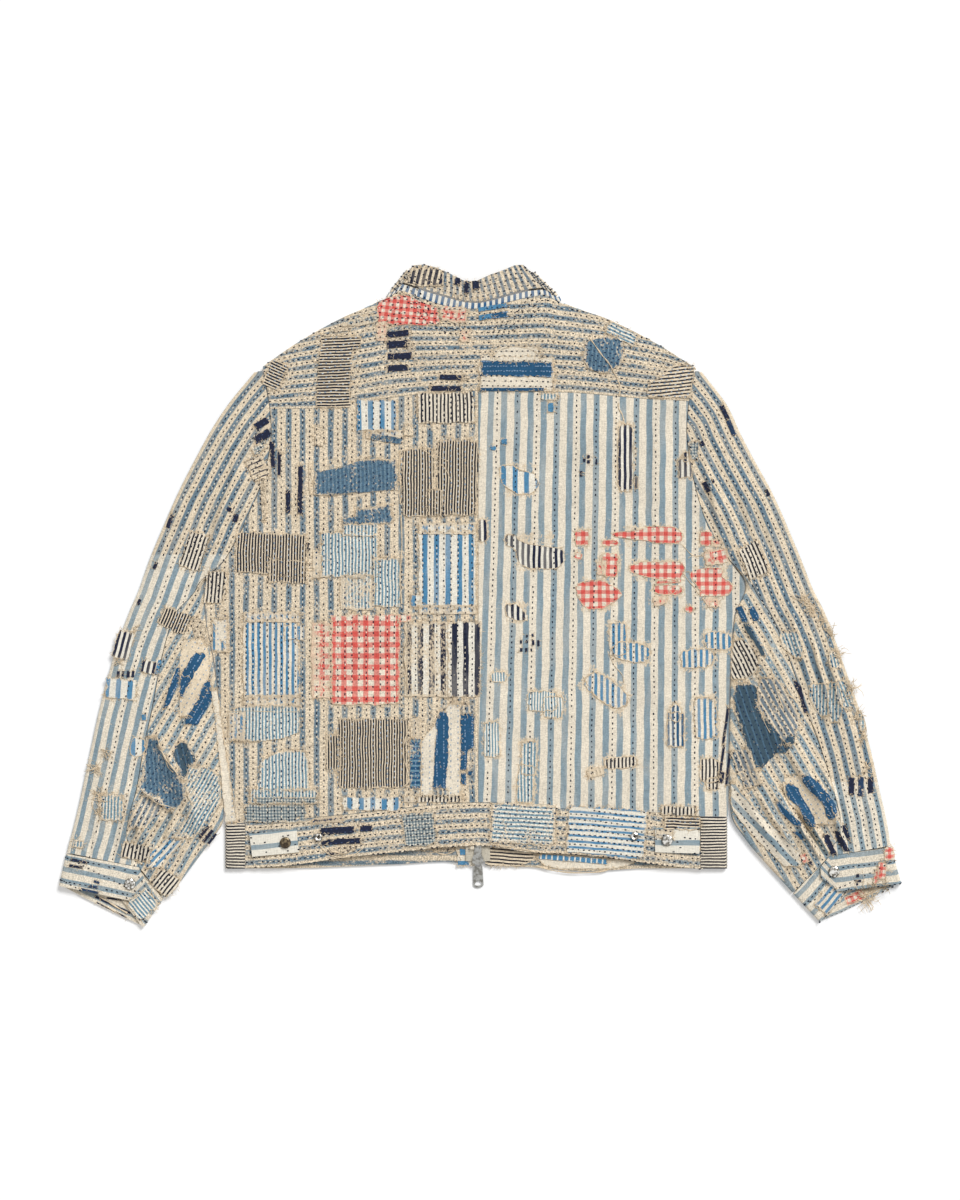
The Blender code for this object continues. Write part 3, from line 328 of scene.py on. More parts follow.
# Gathers that stand up where the sleeves bunch.
GATHERS = [Fold(*row) for row in (
    (354, -246, 386, -296, 2.9, 8.4), (364, -240, 396, -290, 2.9, 8.6),
    (394, -221, 416, -287, 3.4, 7), (318, -228, 362, -296, 3.2, 6), (294, -219, 353, -310, 4, 4),
    (365, -198, 390, -233, 4, 4), (388, -193, 408, -233, 3.5, 5), (302, -50, 336, -119, 5, 4),
    (319, -27, 353, -107, 4, 4), (291, -107, 310, -193, 4, 3), (328, -141, 342, -181, 4, 4),
    (353, -16, 378, -107, 5, 4), (380, -50, 398, -130, 3.2, 6.5), (398, -50, 412, -132, 3, 7),
    (347, -164, 365, -204, 4, 4), (269, 178, 294, 109, 5, 3.5), (258, 144, 276, 64, 4, 3.5),
    (-387, -221, -349, -246, 3, 8.4), (-365, -166, -340, -207, 3.5, 6),
    (-331, -185, -324, -230, 3.5, 5), (-380, -252, -404, -296, 3, 6),
    (-390, -239, -408, -290, 3.5, 5), (-366, -256, -386, -298, 3, 6.5),
    (-344, -239, -360, -290, 3.5, 5), (-342, -67, -365, -158, 4, 4), (-314, -50, -335, -141, 5, 3),
    (-306, -164, -294, -233, 4, 3), (-324, -262, -356, -310, 4, 4), (-267, 132, -294, 41, 4, 4),
    (-278, 144, -312, 41, 4, 3.5), (-302, 41, -331, -50, 5, 4),
)]
# Narrow creases and ridges on top of the soft folds.
CREASES = [Fold(*row) for row in (
    (-128, 318, -150, 262, 2.5, -1.6), (-196, 286, -176, 226, 2.6, -1.2),
    (-104, 268, -60, 256, 2.4, -1.0), (140, 300, 206, 262, 2.6, -1.4),
    (-98, 186, -98, 90, 2.2, -1.8), (-190, 170, -190, 96, 2.4, -1.4),
    (-92, -30, -90, -120, 2.2, -1.6), (-94, -140, -94, -216, 2.2, -1.6),
    (-210, 74, -214, -10, 2.6, -1.2), (-300, 10, -270, 44, 3.0, -2.7),
    (-8, 226, -8, -236, 3.0, -1.2), (192, 222, 190, 84, 4.0, -1.7), (224, 210, 222, 96, 4.0, -1.9),
    (246, 96, 262, 20, 3.6, -1.7), (-296, -60, -316, -150, 3.6, -3.2),
    (-330, -90, -356, -196, 4.0, -3.2), (-322, -214, -352, -262, 4.0, -3.2),
    (-340, -224, -384, -300, 4.0, -3.2), (-372, -262, -398, -306, 3.4, -3.2),
    (-350, -280, -386, -318, 3.4, -3.2), (-414, -262, -420, -300, 4.0, -2.7),
    (-442, -262, -446, -296, 4.0, -2.4), (-286, 150, -324, 30, 4.0, -2.7),
    (-268, 120, -306, 12, 4.0, -3.1), (300, -40, 330, -110, 4.0, -3.2),
    (296, -150, 344, -250, 4.0, -3.2), (330, -200, 380, -290, 4.0, -3.2),
    (359, -243, 391, -293, 2.4, -3.2), (404, -210, 420, -284, 4.0, -2.7),
    (276, 160, 316, 40, 4.0, -3.1), (306, 120, 344, 10, 4.4, -2.4),
    (436, -230, 440, -284, 4.0, -2.4), (-346, -168, -334, -202, 3.2, -3.2),
    (-376, -230, -346, -246, 3.0, -3.2), (-388, -256, -404, -298, 3.0, -3.2),
    (-370, -258, -386, -300, 3.0, -3.2), (-354, -252, -372, -300, 3.0, -3.2),
    (-388, -300, -396, -306, 3.0, -3.2), (360, -244, 386, -282, 4.5, -3.2),
    (338, -212, 352, -238, 3.2, -3.2), (386, -132, 394, -150, 3.0, -3.2),
    (388, -20, 402, -146, 3.4, -3.2),
)]

# Patches and holes of each panel, in the order that they are sewn on: a cloth, how it is made,
# and a row for each place. A place is its middle, width, height, turn in degrees, how round it
# is, and how far its stripes are slid across. One cut to a shape of its own ends with rows of
# y, left and right.
Patch = namedtuple("Patch", "cloth kind x y wide high turn round slide rows",
                   defaults=(0, 0, 0, ()))
PATCH_ROWS = {"yoke": (
    ("gingham_yoke", "on", (-81.5, 326, 52.3, 34.2, -6, 0, 0, ((309, -116, -46), (315, -117, -46),
     (321, -117, -47), (328, -117, -49), (333, -117, -60), (336, -114, -70), (340, -105, -78),
     (343, -92, -84)))),
    ("gingham_yoke", "worn", (-30.2, 320.9, 30.8, 17.1, -8, 0.3)),
    ("gingham_fine", "faded", (-112.3, 301.5, 12.5, 21.7, 0, 0.1),
     (-17.7, 295.8, 10.3, 12.5, 0, 0.1)),
    ("navy", "bar", (-93.5, 298.7, 25.1, 6.8, 6), (-94, 286.7, 23.9, 8, 4)),
    ("navy_worn", "faded", (-79.8, 287.3, 6.8, 4.6, 4)),
    ("navy", "bar", (-91.2, 273.6, 27.4, 6.8, 3), (-93.5, 259.9, 22.8, 6.8, 2),
     (-33.6, 249.1, 23.9, 5.7, -3)),
    ("navy_worn", "faded", (-16, 248.5, 9.1, 4.6)),
    ("navy", "bar", (-38.8, 236.5, 34.2, 5.7)),
    ("cream", "on", (41.6, 275.3, 53.6, 17.1, 0, 0.5), (41.6, 253.1, 83.2, 38.8, -1, 0.06)),
    ("deep_blue", "bar", (41.6, 258.8, 80.9, 16, -1, 0.06), (36.5, 235.4, 73, 3.4)),
    ("mid_blue", "bar", (14.2, 328.9, 33.1, 4.6, 10, 0.1), (7.4, 318.1, 17.1, 5.7, 10, 0.1)),
    ("deep_blue", "bar", (22.8, 320.1, 16, 6.3, 10, 0.1)),
    ("denim", "on", (140.8, 274.7, 33.5, 41, -4, 0, 0, ((254, 137, 144), (258, 125, 150),
     (264, 121, 160), (271, 117, 164), (280, 119, 164), (290, 120, 164), (295, 137, 164)))),
    ("pinstripe_h", "on", (-160.7, 255.9, 40.5, 80.9, 2, 0, 0, ((215, -186, -148),
     (235, -186, -148), (258, -185, -147), (280, -182, -145), (283, -181, -136),
     (296, -182, -136))), (-233.7, 251.4, 20.5, 30.8, -25, 0.1)),
    ("pinstripe_seam", "on", (217.2, 244.5, 38.9, 37.6, 6, 0, 0, ((226, 192, 239), (233, 190, 241),
     (242, 192, 242), (249, 207, 243), (258, 214, 244), (263, 223, 244)))),
    ("blue_check", "worn", (-137.9, 314.6, 25.6, 13.7, 13, 0, 0, ((308, -161, -135),
     (312, -152, -117), (317, -141, -115), (321, -131, -115)))),
    ("navy_worn", "bar", (-157.3, 303.5, 18.2, 4, 8), (-165.9, 297.8, 30.8, 2.8)),
    ("light_stripe_h", "on", (161.9, 299.2, 36.5, 14.8, -26, 0.1)),
), "back_left": (
    ("wide_blue", "on", (-118, 205.8, 44.5, 35.3, 0, 0.0, 12.6)),
    ("wide_blue", "faded", (-108.9, 184.7, 42.2, 9.1, 0, 0.1, 12.6)),
    ("denim", "bar", (-106.6, 179, 35.3, 6.8, -9, 0.2)),
    ("pinstripe_wide", "on", (-38.8, 214.3, 63.8, 34.2, 1)),
    ("cream_worn", "faded", (-81.5, 188.1, 10.3, 11.4, 0, 0.3), (-183, 181.8, 10.3, 21.7, 0, 0.3)),
    ("denim", "on", (-141.4, 135.7, 69.4, 41, 2, 0, 0, ((115, -189, -162), (121, -189, -96),
     (127, -189, -95), (135, -189, -93), (142, -188, -95), (146, -160, -95), (152, -146, -95),
     (156, -130, -96))), (-120.8, 91.2, 41, 20.5, 8, 0.1)),
    ("denim", "bar", (-143.1, 86.1, 26.2, 8, 6, 0.3)),
    ("pinstripe", "on", (-70.7, 129.4, 36.5, 76.4, 0, 0.06), (-25.6, 135.1, 46.7, 85.5, -1, 0.05),
     (-51.3, 106, 16, 29.6, 0, 0.05)),
    ("navy", "bar", (-218.6, 107.7, 5.1, 26.2, 0, 0.1), (-204.9, 120.8, 5.1, 54.7, -1, 0.05),
     (-228.7, 151, 3.2, 26.2), (-196.4, 55.9, 2.8, 9.1), (-236.5, 161.3, 4.6, 28.5, 4)),
    ("navy_worn", "worn", (-247.4, 116.3, 4.6, 59.3, 3)),
    ("pinstripe", "on", (-238.3, 48.4, 79.8, 46.7, -2, 0.1), (-219.4, 27.9, 44.5, 26.2, -2, 0.12)),
    ("light_stripe", "on", (-148.8, 46.7, 65, 50.2, 0, 0.05), (-136.2, 75.2, 39.9, 13.7, 0, 0.05),
     (-106.6, 15.4, 30.8, 55.9, 0, 0.05)),
    ("light_stripe", "faded", (-185.8, 36.5, 9.1, 31.9, 0, 0.1)),
    ("light_stripe", "worn", (-140.2, 4.6, 38.8, 41, 0, 0.2)),
    ("wide_blue", "on", (-37, 30.2, 65, 85.5, 0, 0.02, 3.3),
     (-73, -5.7, 11.4, 13.7, 0, 0.05, 3.3)),
    ("wide_blue", "faded", (-37, 76.9, 65, 12.5, 0, 0.0, 3.3),
     (-37, -15.4, 65, 10.3, 0, 0.0, 3.3)),
    ("mid_narrow", "on", (-238.3, -71.8, 63.8, 86.6, 0, 0.04),
     (-211.5, -41.6, 21.7, 17.1, 0, 0.1)),
    ("pinstripe_wide", "on", (-301.5, 10.3, 21.7, 36.5, -5, 0, 0, ((-8, -315, -294),
     (7, -314, -290), (21, -311, -288), (28, -310, -291)))),
    ("cream_clean", "on", (-297, -45, 17.1, 37.6, 0, 0.1)),
    ("mid_blue", "bar", (-303.2, -46.7, 2.3, 29.6), (-293.5, -56.4, 2.3, 10.3)),
    ("denim", "faded", (-294.7, -23.7, 10.3, 6.3, -8, 0.3)),
    ("cream_clean", "on", (-291.8, -182.4, 8.5, 150.5, 0, 0, 0, ((-258, -290, -278),
     (-227, -293, -283), (-198, -296, -286), (-170, -299, -292), (-141, -302, -295),
     (-107, -306, -300)))),
    ("mid_narrow", "faded", (-237.1, -23.9, 63.8, 11.4), (-237.1, -119.1, 63.8, 12.5)),
    ("gingham", "on", (-130.5, -72.4, 78.7, 101.5, 0, 0.02), (-85.5, -25.6, 16, 8, 0, 0.1)),
    ("gingham", "faded", (-180.1, -73, 22.8, 86.6, 0, 0.05)),
    ("navy_stripe", "worn", (-60.4, -72.4, 50.2, 85.5, 0, 0.05, 9.6)),
    ("navy_stripe", "on", (-17.7, -72.4, 37.6, 85.5, 0, 0.03, 9.6)),
    ("navy_worn", "faded", (-27.9, -120.3, 5.7, 8), (-15.4, -119.7, 5.7, 6.8)),
    ("cream_clean", "on", (-44.5, -175.6, 37.6, 104.9, 0, 0, 0, ((-228, -67, -22),
     (-198, -67, -22), (-166, -67, -22), (-123, -35, -22)))),
    ("blue_worn", "bar", (-45.6, -222.3, 14.8, 9.1, 0, 0.05),
     (-14.2, -129.4, 14.8, 10.3, 0, 0.05)),
    ("deep_dash", "bar", (-73.8, -190.9, 12, 55.9, 0, 0.03)),
    ("blue_worn", "faded", (-73.5, -151, 10.3, 23.9, 0, 0.05)),
    ("deep_blue", "bar", (-45, -175, 13.2, 85.5, 0, 0, 0, ((-218, -54, -39), (-198, -52, -38),
     (-182, -52, -36), (-169, -51, -36), (-162, -50, -36), (-156, -48, -36), (-152, -49, -36),
     (-146, -51, -36), (-139, -49, -36), (-132, -46, -39))), (-14.2, -166.4, 11.1, 63.8, 0, 0, 0,
     ((-198, -22, -15), (-174, -22, -14), (-173, -22, -7), (-135, -22, -7))),
     (-18.8, -208, 5.7, 12.5, 0, 0.1), (-11.4, -201.8, 4.6, 4.6, -20, 0.1)),
    ("light_stripe", "on", (-246.2, -145.3, 68.1, 39.9, 0, 0, 0, ((-165, -283, -249),
     (-162, -284, -226), (-157, -285, -207), (-150, -286, -205), (-141, -287, -205),
     (-132, -286, -206), (-125, -272, -209)))),
    ("mid_narrow", "faded", (-277.6, -148.8, 19.4, 33.1, 0, 0.05)),
    ("light_stripe", "on", (-224.6, -198.4, 47.7, 45.6, 0, 0, 0, ((-221, -255, -194),
     (-210, -252, -195), (-198, -251, -195), (-188, -249, -196), (-182, -237, -198),
     (-176, -221, -201))), (-223.4, -228.6, 77.5, 17.1, 0, 0.05)),
    ("blue_check", "on", (-220.6, -232.8, 69.5, 7.4, 0, 0.05),
     (-233.1, -247.4, 69.5, 20.5, 0, 0.05)),
    ("pinstripe_wide", "on", (-45.6, -230.8, 52.4, 8)),
    ("pinstripe_fine", "on", (-122, -179.5, 79.8, 78.7, 0, 0.03),
     (-167.6, -178.4, 16, 39.9, 0, 0.1)),
    ("wide_blue", "on", (-123.7, -236.5, 65, 14.8, 0, 0.0, 9.8)),
    ("wide_blue", "faded", (-79.8, -231.4, 13.7, 6.8, 0, 0.0, 9.8)),
), "back_right": (
    ("light_stripe", "on", (78.7, 227.4, 18.2, 8, 0, 0.1)),
    ("mid_blue", "bar", (80.7, 214.9, 6.3, 10.3, 0, 0.15), (27.6, 176.1, 6.3, 5.7, 0, 0.1),
     (14.8, 168.7, 6.8, 4.6, -10, 0.3)),
    ("navy_narrow", "hole", (165.9, 157.3, 18.2, 77.5, 0, 0.4, 1.7),
     (178.1, 128.8, 4, 13.7, 0, 0.3, 1.1), (233.7, 145.3, 16, 21.7, 4, 0.3, 2.3),
     (234.3, 158.5, 5.7, 11.4, 0, 0.2, 2.3)),
    ("navy", "bar", (123.6, 158.7, 3.2, 4, 0, 0.2), (123.6, 153, 3.2, 4, 0, 0.2),
     (132.7, 153, 1.8, 6.3, 0, 0.2), (118.8, 155, 2.7, 4.6, 0, 0.2),
     (115.3, 141.1, 3, 2.7, 0, 0.2), (115.3, 137.4, 3, 2.5, 0, 0.2)),
    ("navy_narrow", "hole", (3.1, 74.7, 10.8, 26.2, 0, 0.5, 3.8), (62.7, 50.2, 36.2, 38.8, 0, 0,
     4.4, ((31, 58, 87), (35, 47, 92), (41, 43, 97), (49, 41, 96), (54, 39, 93), (58, 30, 57),
     (64, 28, 44), (70, 30, 39))), (41, -18.8, 17.1, 19.4, 0, 0, 3.9, ((-28, 41, 54),
     (-23, 31, 54), (-16, 28, 49), (-9, 30, 42)))),
    ("wide_blue", "hole", (45.6, 132.8, 28.3, 33.1, 0, 0, 6.2, ((116, 43, 57), (121, 35, 64),
     (127, 26, 68), (133, 24, 65), (139, 23, 63), (144, 23, 42), (149, 24, 38)))),
    ("gingham_small", "hole", (135.7, 1.7, 33.1, 33.1, 0, 0, 0, ((-15, 123, 139), (-11, 117, 146),
     (-6, 114, 155), (1, 111, 162), (8, 109, 158), (15, 112, 145), (18, 128, 140))), (190.4, 69.5,
     50, 18.2, 0, 0, 0, ((60, 201, 226), (63, 189, 230), (67, 153, 230), (72, 150, 230),
     (75, 180, 227), (79, 192, 221))), (200.6, 29.1, 48.8, 19.4, 0, 0, 0, ((19, 201, 228),
     (23, 184, 230), (28, 171, 233), (34, 169, 233), (39, 184, 228))), (263.9, 16, 33.8, 31.9, 0,
     0, 0, ((0, 251, 282), (7, 250, 288), (14, 246, 287), (21, 239, 276), (27, 239, 276),
     (32, 255, 275)))),
    ("gingham_small", "faded", (263.3, -8, 14.4, 9.1, 4, 0, 0, ((-13, 260, 271), (-8, 258, 274),
     (-3, 253, 269)))),
    ("navy", "bar", (60.6, -53, 2.7, 5.7, 0, 0.1), (66.6, -53.6, 2.6, 6.8, 0, 0.1),
     (53.6, -51.9, 2.3, 3.4, 0, 0.1), (46.7, -52.2, 2.3, 4, 0, 0.1), (60.3, -44.8, 2.5, 3, 0, 0.1),
     (53.6, -45.6, 2.3, 2.3, 0, 0.1), (47, -61.3, 2.7, 4, 0, 0.1), (52.8, -61.4, 2.5, 4.3, 0, 0.1),
     (58.5, -61.3, 1.6, 2.7, 0, 0.1)),
    ("gingham_small", "hole", (116.3, 66.1, 16, 18.2, 0, 0.3), (112.3, 45.6, 8, 6.8, -20, 0.3),
     (148.2, 60.4, 18.2, 6.8, 0, 0.5), (148.2, 35.3, 18.2, 27.4, 0, 0.4)),
    ("gingham_small", "faded", (138.5, 31.9, 10.3, 16, 0, 0.2)),
    ("gingham_small", "hole", (214.9, 16.5, 28.5, 4.6, 4, 0.3), (214.3, 7.1, 31.9, 10.8, -3, 0.5)),
    ("gingham_small", "faded", (205.2, -5.1, 16, 10.3, 10, 0.5)),
    ("gingham_small", "hole", (257.6, 65.5, 13.7, 17.1, 0, 0.5)),
    ("gingham_small", "faded", (269, 44.5, 27.4, 18.2, 10, 0.4), (269, 60.4, 11.4, 9.1, 0, 0.3)),
    ("gingham_small", "hole", (238.3, -14.8, 9.1, 6.8, -20, 0.7)),
    ("mid_narrow", "hole", (157, -49, 18.8, 36.5, 0, 0.2, 1.7),
     (172.1, -63.8, 43.3, 22.8, -8, 0.8, 1.7), (247.7, -71.2, 38.2, 21.7, 5, 0.6, 0.1),
     (271.3, -51.3, 31.9, 20.5, -6, 0.6, 0.5), (143.6, -107.7, 54.7, 26.2, -35, 0.8, 2.2)),
    ("light_narrow", "hole", (71, -119.7, 33.6, 22.8, 0, 0.3), (83.2, -126.5, 22.8, 25.1, 0, 0.5),
     (21.7, -92.3, 18.2, 11.4, 0, 0.5), (13.7, -163.6, 18.2, 39.9, 0, 0.3)),
    ("light_stripe", "hole", (55.9, -184.7, 18.2, 38.8, 0, 0.3),
     (51.9, -214.3, 19.4, 43.3, -4, 0.2)),
    ("blue_narrow", "hole", (222.9, -152.2, 19.4, 39.9, 0, 0.3, 4.1),
     (222.9, -133.4, 12.5, 20.5, 0, 1, 4.1)),
    ("mid_narrow", "hole", (257.1, -139.1, 26.2, 47.9, 5, 0.5, 2.3)),
    ("pinstripe_wide", "hole", (160.2, -189.8, 37.6, 12.5, 4, 0.4)),
    ("pinstripe_wide", "faded", (131.7, -200.6, 19.4, 9.1, 14, 0.3)),
    ("pinstripe_wide", "hole", (261.6, -198.9, 21.7, 28.5, 0, 0.5),
     (265, -214.3, 14.8, 13.7, 0, 0.5)),
    ("pinstripe_wide", "on", (226.3, -244.5, 39.9, 10.3, -2, 0.05)),
    ("navy", "bar", (280.2, -148.2, 2.8, 43.3, -8, 0.05), (276.1, -187, 2.7, 34.2, -8, 0.05),
     (282.9, -196.6, 2.7, 37.6, -6, 0.05), (275.3, -206.9, 5.7, 12.5, -10, 0.3)),
), "hem_band": (
    ("navy", "worn", (-175, -255.4, 33.1, 5.7, 4, 0.05)),
    ("navy", "bar", (-162.4, -267, 37.6, 7.4, 3, 0.05), (-129.7, -264.8, 13.1, 6.3, 4, 0.05),
     (-154.5, -279.6, 37.6, 6.3, 3, 0.05), (-177, -281.3, 7.4, 5.1, 10, 0.05)),
    # Painted shade: these two navy_worn bars stand for the shade inside the crescent openings at the lower edge of the
    # band.
    ("navy_worn", "bar", (-159, -290.1, 19.4, 10.3, 0, 0, 0, ((-295, -170, -155),
     (-292, -178, -146), (-288, -164, -141), (-285, -148, -140))), (-41, -289, 22.8, 5.7, 4, 0.3)),
    ("cream_clean", "on", (-16.5, -296.4, 19.4, 22.8, 2, 0.05)),
    ("mid_blue", "bar", (-17.1, -291.8, 11.4, 6.8, 2, 0.05), (-18.8, -304.4, 12.5, 4.6, 2, 0.05)),
    ("pinstripe_seam", "on", (33.6, -296.4, 41.2, 22.8, -4, 0, 0, ((-308, 11, 46), (-304, 5, 55),
     (-299, 6, 63), (-293, 7, 62), (-288, 8, 43), (-285, 9, 25)))),
    ("cream_clean", "on", (123.7, -302.7, 72.3, 17.1, -4, 0, 0, ((-311, 91, 150), (-308, 74, 165),
     (-303, 68, 182), (-299, 65, 137), (-294, 66, 91)))),
    ("mid_dash", "bar", (106.6, -300.2, 78.7, 5.7, -4.5, 0.1)),
    ("blue_check", "on", (-69.5, -266.2, 36.5, 37.6, 4, 0.15)),
    ("light_dash", "on", (49, -259.9, 73, 45.6, -3, 0.04)),
    ("blue_dash", "on", (144.2, -269.6, 87.8, 55.9, -4, 0.04)),
    ("pinstripe_h", "on", (230.3, -258.8, 41, 13.7, -2, 0.05)),
    ("mid_narrow_h", "faded", (210.3, -271, 19.4, 9.7, -2, 0.1)),
), "sleeve_left_outer": (
    ("navy", "bar", (-353.6, 85.2, 4.1, 15.4, -22, 0.1)),
    ("pinstripe_wide", "on", (-325.5, 50.7, 23.9, 42.2, -18, 0.1)),
    ("navy", "bar", (-370.2, 34.8, 4, 8, -24, 0.1), (-388.7, -6.8, 3.4, 6.8, -24, 0.1)),
    ("navy_narrow", "on", (-406.7, -55.9, 18.8, 31.9, -15, 0.04, 4.9),
     (-377.1, -80.9, 16.5, 14.8, -12, 0.05, 2.6)),
    ("mid_blue", "bar", (-366.5, -80.9, 3.4, 16, -14)),
    ("pinstripe", "on", (-347.7, -27.4, 34.2, 22.8, -22, 0.1)),
    ("navy", "bar", (-412.3, -89.2, 3, 7.4, -5), (-407, -89.2, 2.3, 7.4, -5),
     (-400.7, -89.2, 3.4, 7.4, -5), (-395.2, -88.9, 3, 6.8, -5)),
    ("wide_blue", "on", (-409.3, -106, 34.2, 22.8, -5, 0.05, 11.8)),
    ("mid_blue", "bar", (-383, -138.2, 4.6, 6.3)),
    ("wide_blue", "hole", (-390.2, -172.1, 16.5, 22.8, -8, 0.7, 6.2)),
    ("light_worn", "on", (-419.5, -240.5, 27.4, 29.6, -3, 0.05),
     (-457.7, -282.7, 12.5, 9.1, -10, 0.05)),
    ("navy", "bar", (-248.8, 196.6, 16.5, 8, 32, 0.1), (-247.9, 182.1, 19.4, 8.5, 30, 0.1)),
    ("blue_check", "on", (-251.9, 168.1, 16, 8, 30)),
    ("navy_lines", "on", (-253.1, 145.9, 20.5, 27.4, 24, 0.08)),
    ("navy", "bar", (-285.6, 98.6, 5.7, 4.6, -20, 0.2), (-278.2, 88.9, 5.5, 9.1, -12, 0.3)),
), "sleeve_left_inner": (
    ("navy_worn", "faded", (-318.6, -40.5, 12.8, 30.8, -24, 0, 0, ((-56, -320, -310),
     (-48, -324, -309), (-40, -327, -310), (-32, -328, -314), (-25, -327, -320)))),
    ("cream_soft", "on", (-324.9, -93.5, 24.9, 86.6, -28, 0, 0, ((-137, -342, -331),
     (-124, -341, -321), (-107, -341, -312), (-90, -342, -309), (-75, -342, -308),
     (-62, -340, -310), (-50, -335, -317)))),
    ("deep_blue", "bar", (-326.6, -90.1, 10.8, 50.2, -28, 0, 0, ((-115, -341, -339),
     (-105, -341, -334), (-96, -341, -329), (-90, -340, -326), (-82, -335, -320),
     (-75, -332, -317), (-68, -327, -312), (-65, -324, -316))), (-320.9, -120.8, 13, 50.2, -28, 0,
     0, ((-146, -336, -321), (-141, -335, -319), (-136, -332, -316), (-130, -328, -312),
     (-124, -325, -309), (-119, -321, -306), (-113, -319, -306), (-107, -318, -307),
     (-101, -315, -307), (-96, -310, -308))), (-351.1, -104.3, 5.9, 44.5, -22, 0, 0,
     ((-127, -360, -357), (-121, -359, -352), (-112, -356, -349), (-101, -352, -344),
     (-91, -349, -342), (-82, -345, -342)))),
    ("denim", "on", (-360.8, -201.8, 30.9, 82.1, 4, 0, 0, ((-243, -355, -348), (-236, -363, -340),
     (-230, -372, -335), (-225, -380, -334), (-219, -388, -335), (-213, -388, -337),
     (-206, -385, -340), (-199, -384, -345), (-193, -383, -351), (-185, -381, -357),
     (-178, -381, -361), (-170, -380, -364), (-161, -377, -366)))),
    ("denim_dark", "on", (-336.9, -187.5, 15, 42.2, 14, 0, 0, ((-209, -340, -336),
     (-203, -341, -333), (-196, -343, -328), (-190, -345, -325), (-185, -348, -324),
     (-179, -350, -326), (-173, -348, -331), (-166, -342, -334)))),
    ("blue_worn", "on", (-379.6, -246.2, 25.1, 36.5, -24, 0, 0, ((-264, -399, -380),
     (-255, -398, -373), (-246, -394, -364), (-237, -390, -360), (-228, -385, -365)))),
    ("mid_narrow", "on", (-358, -293, 21, 34.2, -42, 0, 0, ((-310, -380, -365), (-301, -381, -358),
     (-292, -374, -350), (-284, -365, -342), (-276, -356, -335)))),
    ("light_worn", "on", (-323.2, -234.8, 28.6, 82.1, -30, 0, 0, ((-276, -351, -328),
     (-269, -345, -320), (-258, -337, -311), (-246, -331, -302), (-236, -328, -296),
     (-227, -333, -295), (-215, -335, -296), (-205, -334, -298), (-198, -333, -306),
     (-194, -331, -319)))),
    ("navy", "bar", (-314.4, -269, 3.4, 17.1, -38, 0.05), (-309.9, -273.6, 3.4, 17.1, -38, 0.05),
     (-305.2, -276.7, 3.2, 14.2, -38, 0.05)),
    ("pinstripe_wide", "on", (-391.6, -291.8, 33.1, 18.2, -12, 0.08),
     (-358.5, -326.6, 26.2, 23.9, -38, 0.05)),
), "sleeve_right_outer": (
    ("navy", "bar", (279, 209.5, 5.1, 17.7, 25, 0.1)),
    ("navy_blue", "bar", (286.4, 191.5, 5.1, 18.2, 22, 0.1)),
    ("navy", "bar", (257.6, 124, 4.6, 12, 25, 0.1), (265.3, 131.1, 2.8, 4.6, 25, 0.1),
     (253.1, 173.8, 4.6, 5.7, 25, 0.3), (327.8, 118, 3.4, 8, 25, 0.1)),
    ("blue_check", "on", (244, 165.3, 9.1, 20.5, 0, 0.1)),
    ("pinstripe_wide", "on", (311.2, 40.5, 25.1, 37.6, 22, 0.08)),
    ("navy", "bar", (423.2, -216.6, 6.3, 20.5, 0, 0.1)),
    ("navy_blue", "bar", (434.1, -217.2, 6.3, 21.7, 0, 0.05)),
    ("navy", "bar", (445.2, -215.5, 5.7, 18.2, 0, 0.1), (417.2, -270.2, 4.2, 18.2, 18, 0, 0,
     ((-279, 420, 422), (-269, 414, 420), (-261, 413, 417))), (365.4, -115.1, 4.8, 36.5, 22, 0, 0,
     ((-133, 370, 374), (-122, 366, 370), (-113, 364, 368), (-104, 359, 366), (-97, 357, 361)))),
    ("light_worn", "on", (354.5, -55.3, 17.1, 30.8, 20, 0, 0, ((-71, 361, 367), (-65, 351, 368),
     (-57, 344, 368), (-48, 341, 365), (-40, 344, 359)))),
    ("light_worn", "hole", (384.8, -118.6, 15.5, 36.5, 6, 0, 0, ((-137, 389, 396),
     (-129, 382, 396), (-119, 376, 396), (-109, 374, 396), (-100, 377, 393))), (404.1, -120.8,
     13.7, 45.6, 4, 0, 0, ((-144, 399, 409), (-132, 397, 412), (-121, 396, 413), (-109, 396, 410),
     (-98, 397, 408)))),
    ("light_worn", "on", (416.1, -112.3, 14.6, 33.1, 22, 0, 0, ((-129, 415, 421), (-123, 410, 425),
     (-114, 406, 427), (-105, 405, 424), (-96, 408, 420))), (404.1, -71.8, 12.2, 20.5, 12, 0, 0,
     ((-82, 398, 412), (-71, 397, 410), (-62, 398, 407)))),
    ("light_worn", "hole", (435.5, -142.5, 6.1, 22.8, 14, 0, 0, ((-154, 434, 441),
     (-141, 431, 438), (-131, 430, 434)))),
), "sleeve_right_inner": (
    ("deep_blue", "bar", (298.7, -20.5, 6.8, 18.2, 22, 0.08), (312.1, -20.5, 7.4, 16, 22, 0.08)),
    ("pinstripe_wide", "on", (301.5, -72.4, 22.2, 44.5, 27, 0, 0, ((-95, 286, 299),
     (-87, 286, 315), (-78, 286, 317), (-68, 286, 316), (-59, 287, 310), (-50, 291, 300)))),
    ("blue_worn", "on", (339.7, -130.5, 28.9, 74.1, 30, 0, 0, ((-168, 347, 356), (-160, 340, 359),
     (-148, 328, 364), (-137, 323, 364), (-125, 316, 360), (-114, 316, 353), (-103, 316, 347),
     (-93, 321, 335)))),
    ("denim_dark", "on", (317.5, -148.2, 28.4, 95.8, 18, 0, 0, ((-196, 314, 320), (-188, 310, 329),
     (-181, 308, 336), (-173, 304, 342), (-166, 302, 345), (-158, 301, 341), (-150, 298, 333),
     (-141, 293, 326), (-133, 291, 321), (-125, 290, 316), (-112, 290, 318), (-105, 291, 316),
     (-100, 293, 308)))),
    ("denim_dark", "bar", (346.6, -169.3, 11.4, 19.4, 30, 0, 0, ((-179, 335, 347),
